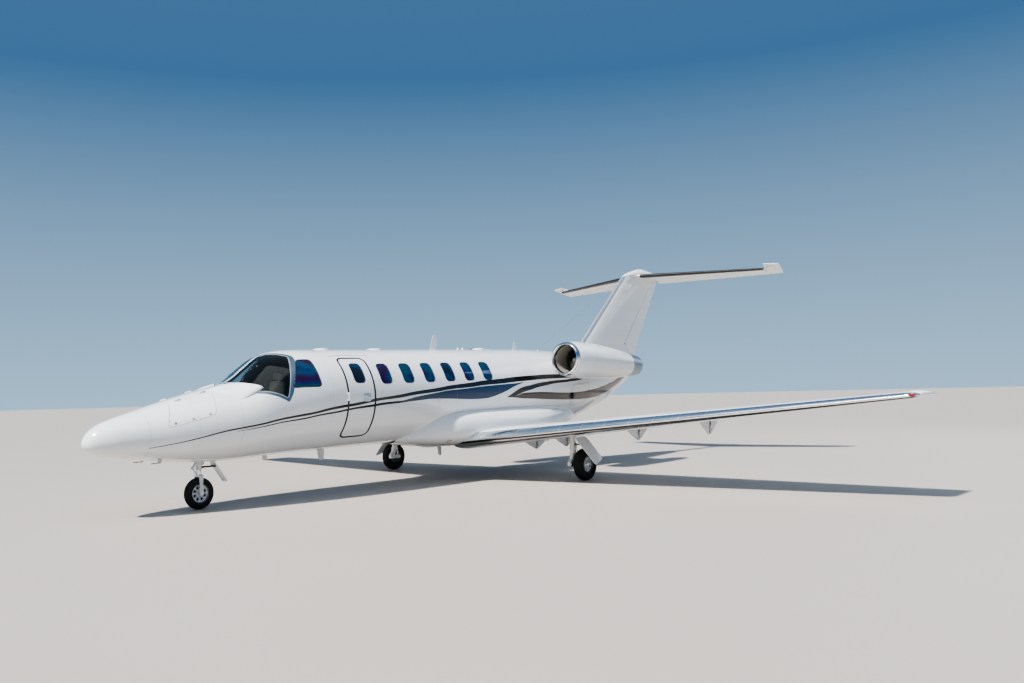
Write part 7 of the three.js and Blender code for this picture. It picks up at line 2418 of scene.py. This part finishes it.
tip_lamp_place = wing_at(8.035, 0.075)
TIP_COLOURS = (
    ((0.25, 0.008, 0.006, 1), (0.55, 0.02, 0.015, 1)),
    ((0.004, 0.13, 0.03, 1), (0.01, 0.34, 0.09, 1)),
)
for (tag, side), (dark, bright) in zip(BOTH, TIP_COLOURS):
    lens = pod_form(tip_lamp_place, 0.050, 0.085, 0.024)
    finish = lens_finish(f"tip_lens_{tag}", dark, bright)
    piece(f"tip_lamp_{tag}", lens if side > 0 else mirrored(lens), finish, slot="light_skin")
beacon_red = lens_finish("beacon_lens", (0.22, 0.008, 0.006, 1), (0.5, 0.03, 0.02, 1))
piece(
    "beacon_under_body", pod_form((0, 9.75 - HALF_LENGTH, 0.755), 0.045, 0.075, 0.035), beacon_red,
    slot="light_skin",
)


def on_fairing(at, degrees, profile):
    """A turned fitting that stands on the belly fairing."""
    angle, step = math.radians(degrees), 0.01
    spot = fairing_ring(np.array(at), np.array(angle))
    along_way = fairing_ring(np.array(at + step), np.array(angle)) - spot
    around = fairing_ring(np.array(at), np.array(angle + step)) - spot
    normal = np.cross(along_way, around)
    return turned_form(profile, spot, normal / np.linalg.norm(normal), 36)


VENT = ((0, -0.012), (0.052, -0.012), (0.052, 0.001), (0.046, 0.002), (0.042, -0.008), (0, -0.010))
pair("fairing_vent_{}", on_fairing(6.30, -38, VENT), rim_black)

CAP = (
    (0, -0.006), (0.044, -0.006), (0.044, 0.0010), (0.040, 0.0016), (0.038, 0.0004), (0.012, 0.0004),
    (0.011, 0.0024), (0, 0.0026),
)
cap_height = wing.height(6.3, 0.36, 1)
cap_centre = wing.place(np.array(6.3), chord_line(wing, 0.36, 6.3), cap_height)
fuel_cap = turned_form(CAP, cap_centre, (-0.075, 0.01, 1), 40)


def wicks_of(foil, spans, lift=0.0, length=0.13):
    """Static wicks: thin black rods on small bright feet, aft of a trailing edge."""
    rods, feet = [], []
    for span in spans:
        y = chord_line(foil, 1, span)
        foot = foil.place(np.array(span), y - 0.035, np.array(0.004))
        back = foil.place(np.array(span), y + length, np.array(lift))
        edge = foot + (back - foot) * 0.30
        rods.append(rod_form(edge, back, 0.0022, sides=8))
        feet.append(rod_form(foot, edge, 0.0045, 0.003, sides=10))
    return joined(*rods), joined(*feet)


aileron_wicks = wicks_of(wing, (5.6, 6.3, 7.0), -0.004)
elevator_wicks = [drooped(form) for form in wicks_of(tail_foil, (0.7, 1.3, 1.9), -0.002, 0.11)]
rudder_wicks = wicks_of(fin_foil, (3.0, 3.45, 3.9), 0.0)
pair("fuel_cap_{}", fuel_cap, steel)
pair("aileron_{}_wicks", list(aileron_wicks), [hose_black, steel], body="aileron_{0[0]}")
pair("elevator_{}_wicks", elevator_wicks, [hose_black, steel], body="elevator_{0[0]}")
piece("rudder_wicks", list(rudder_wicks), [hose_black, steel], body="rudder_body")
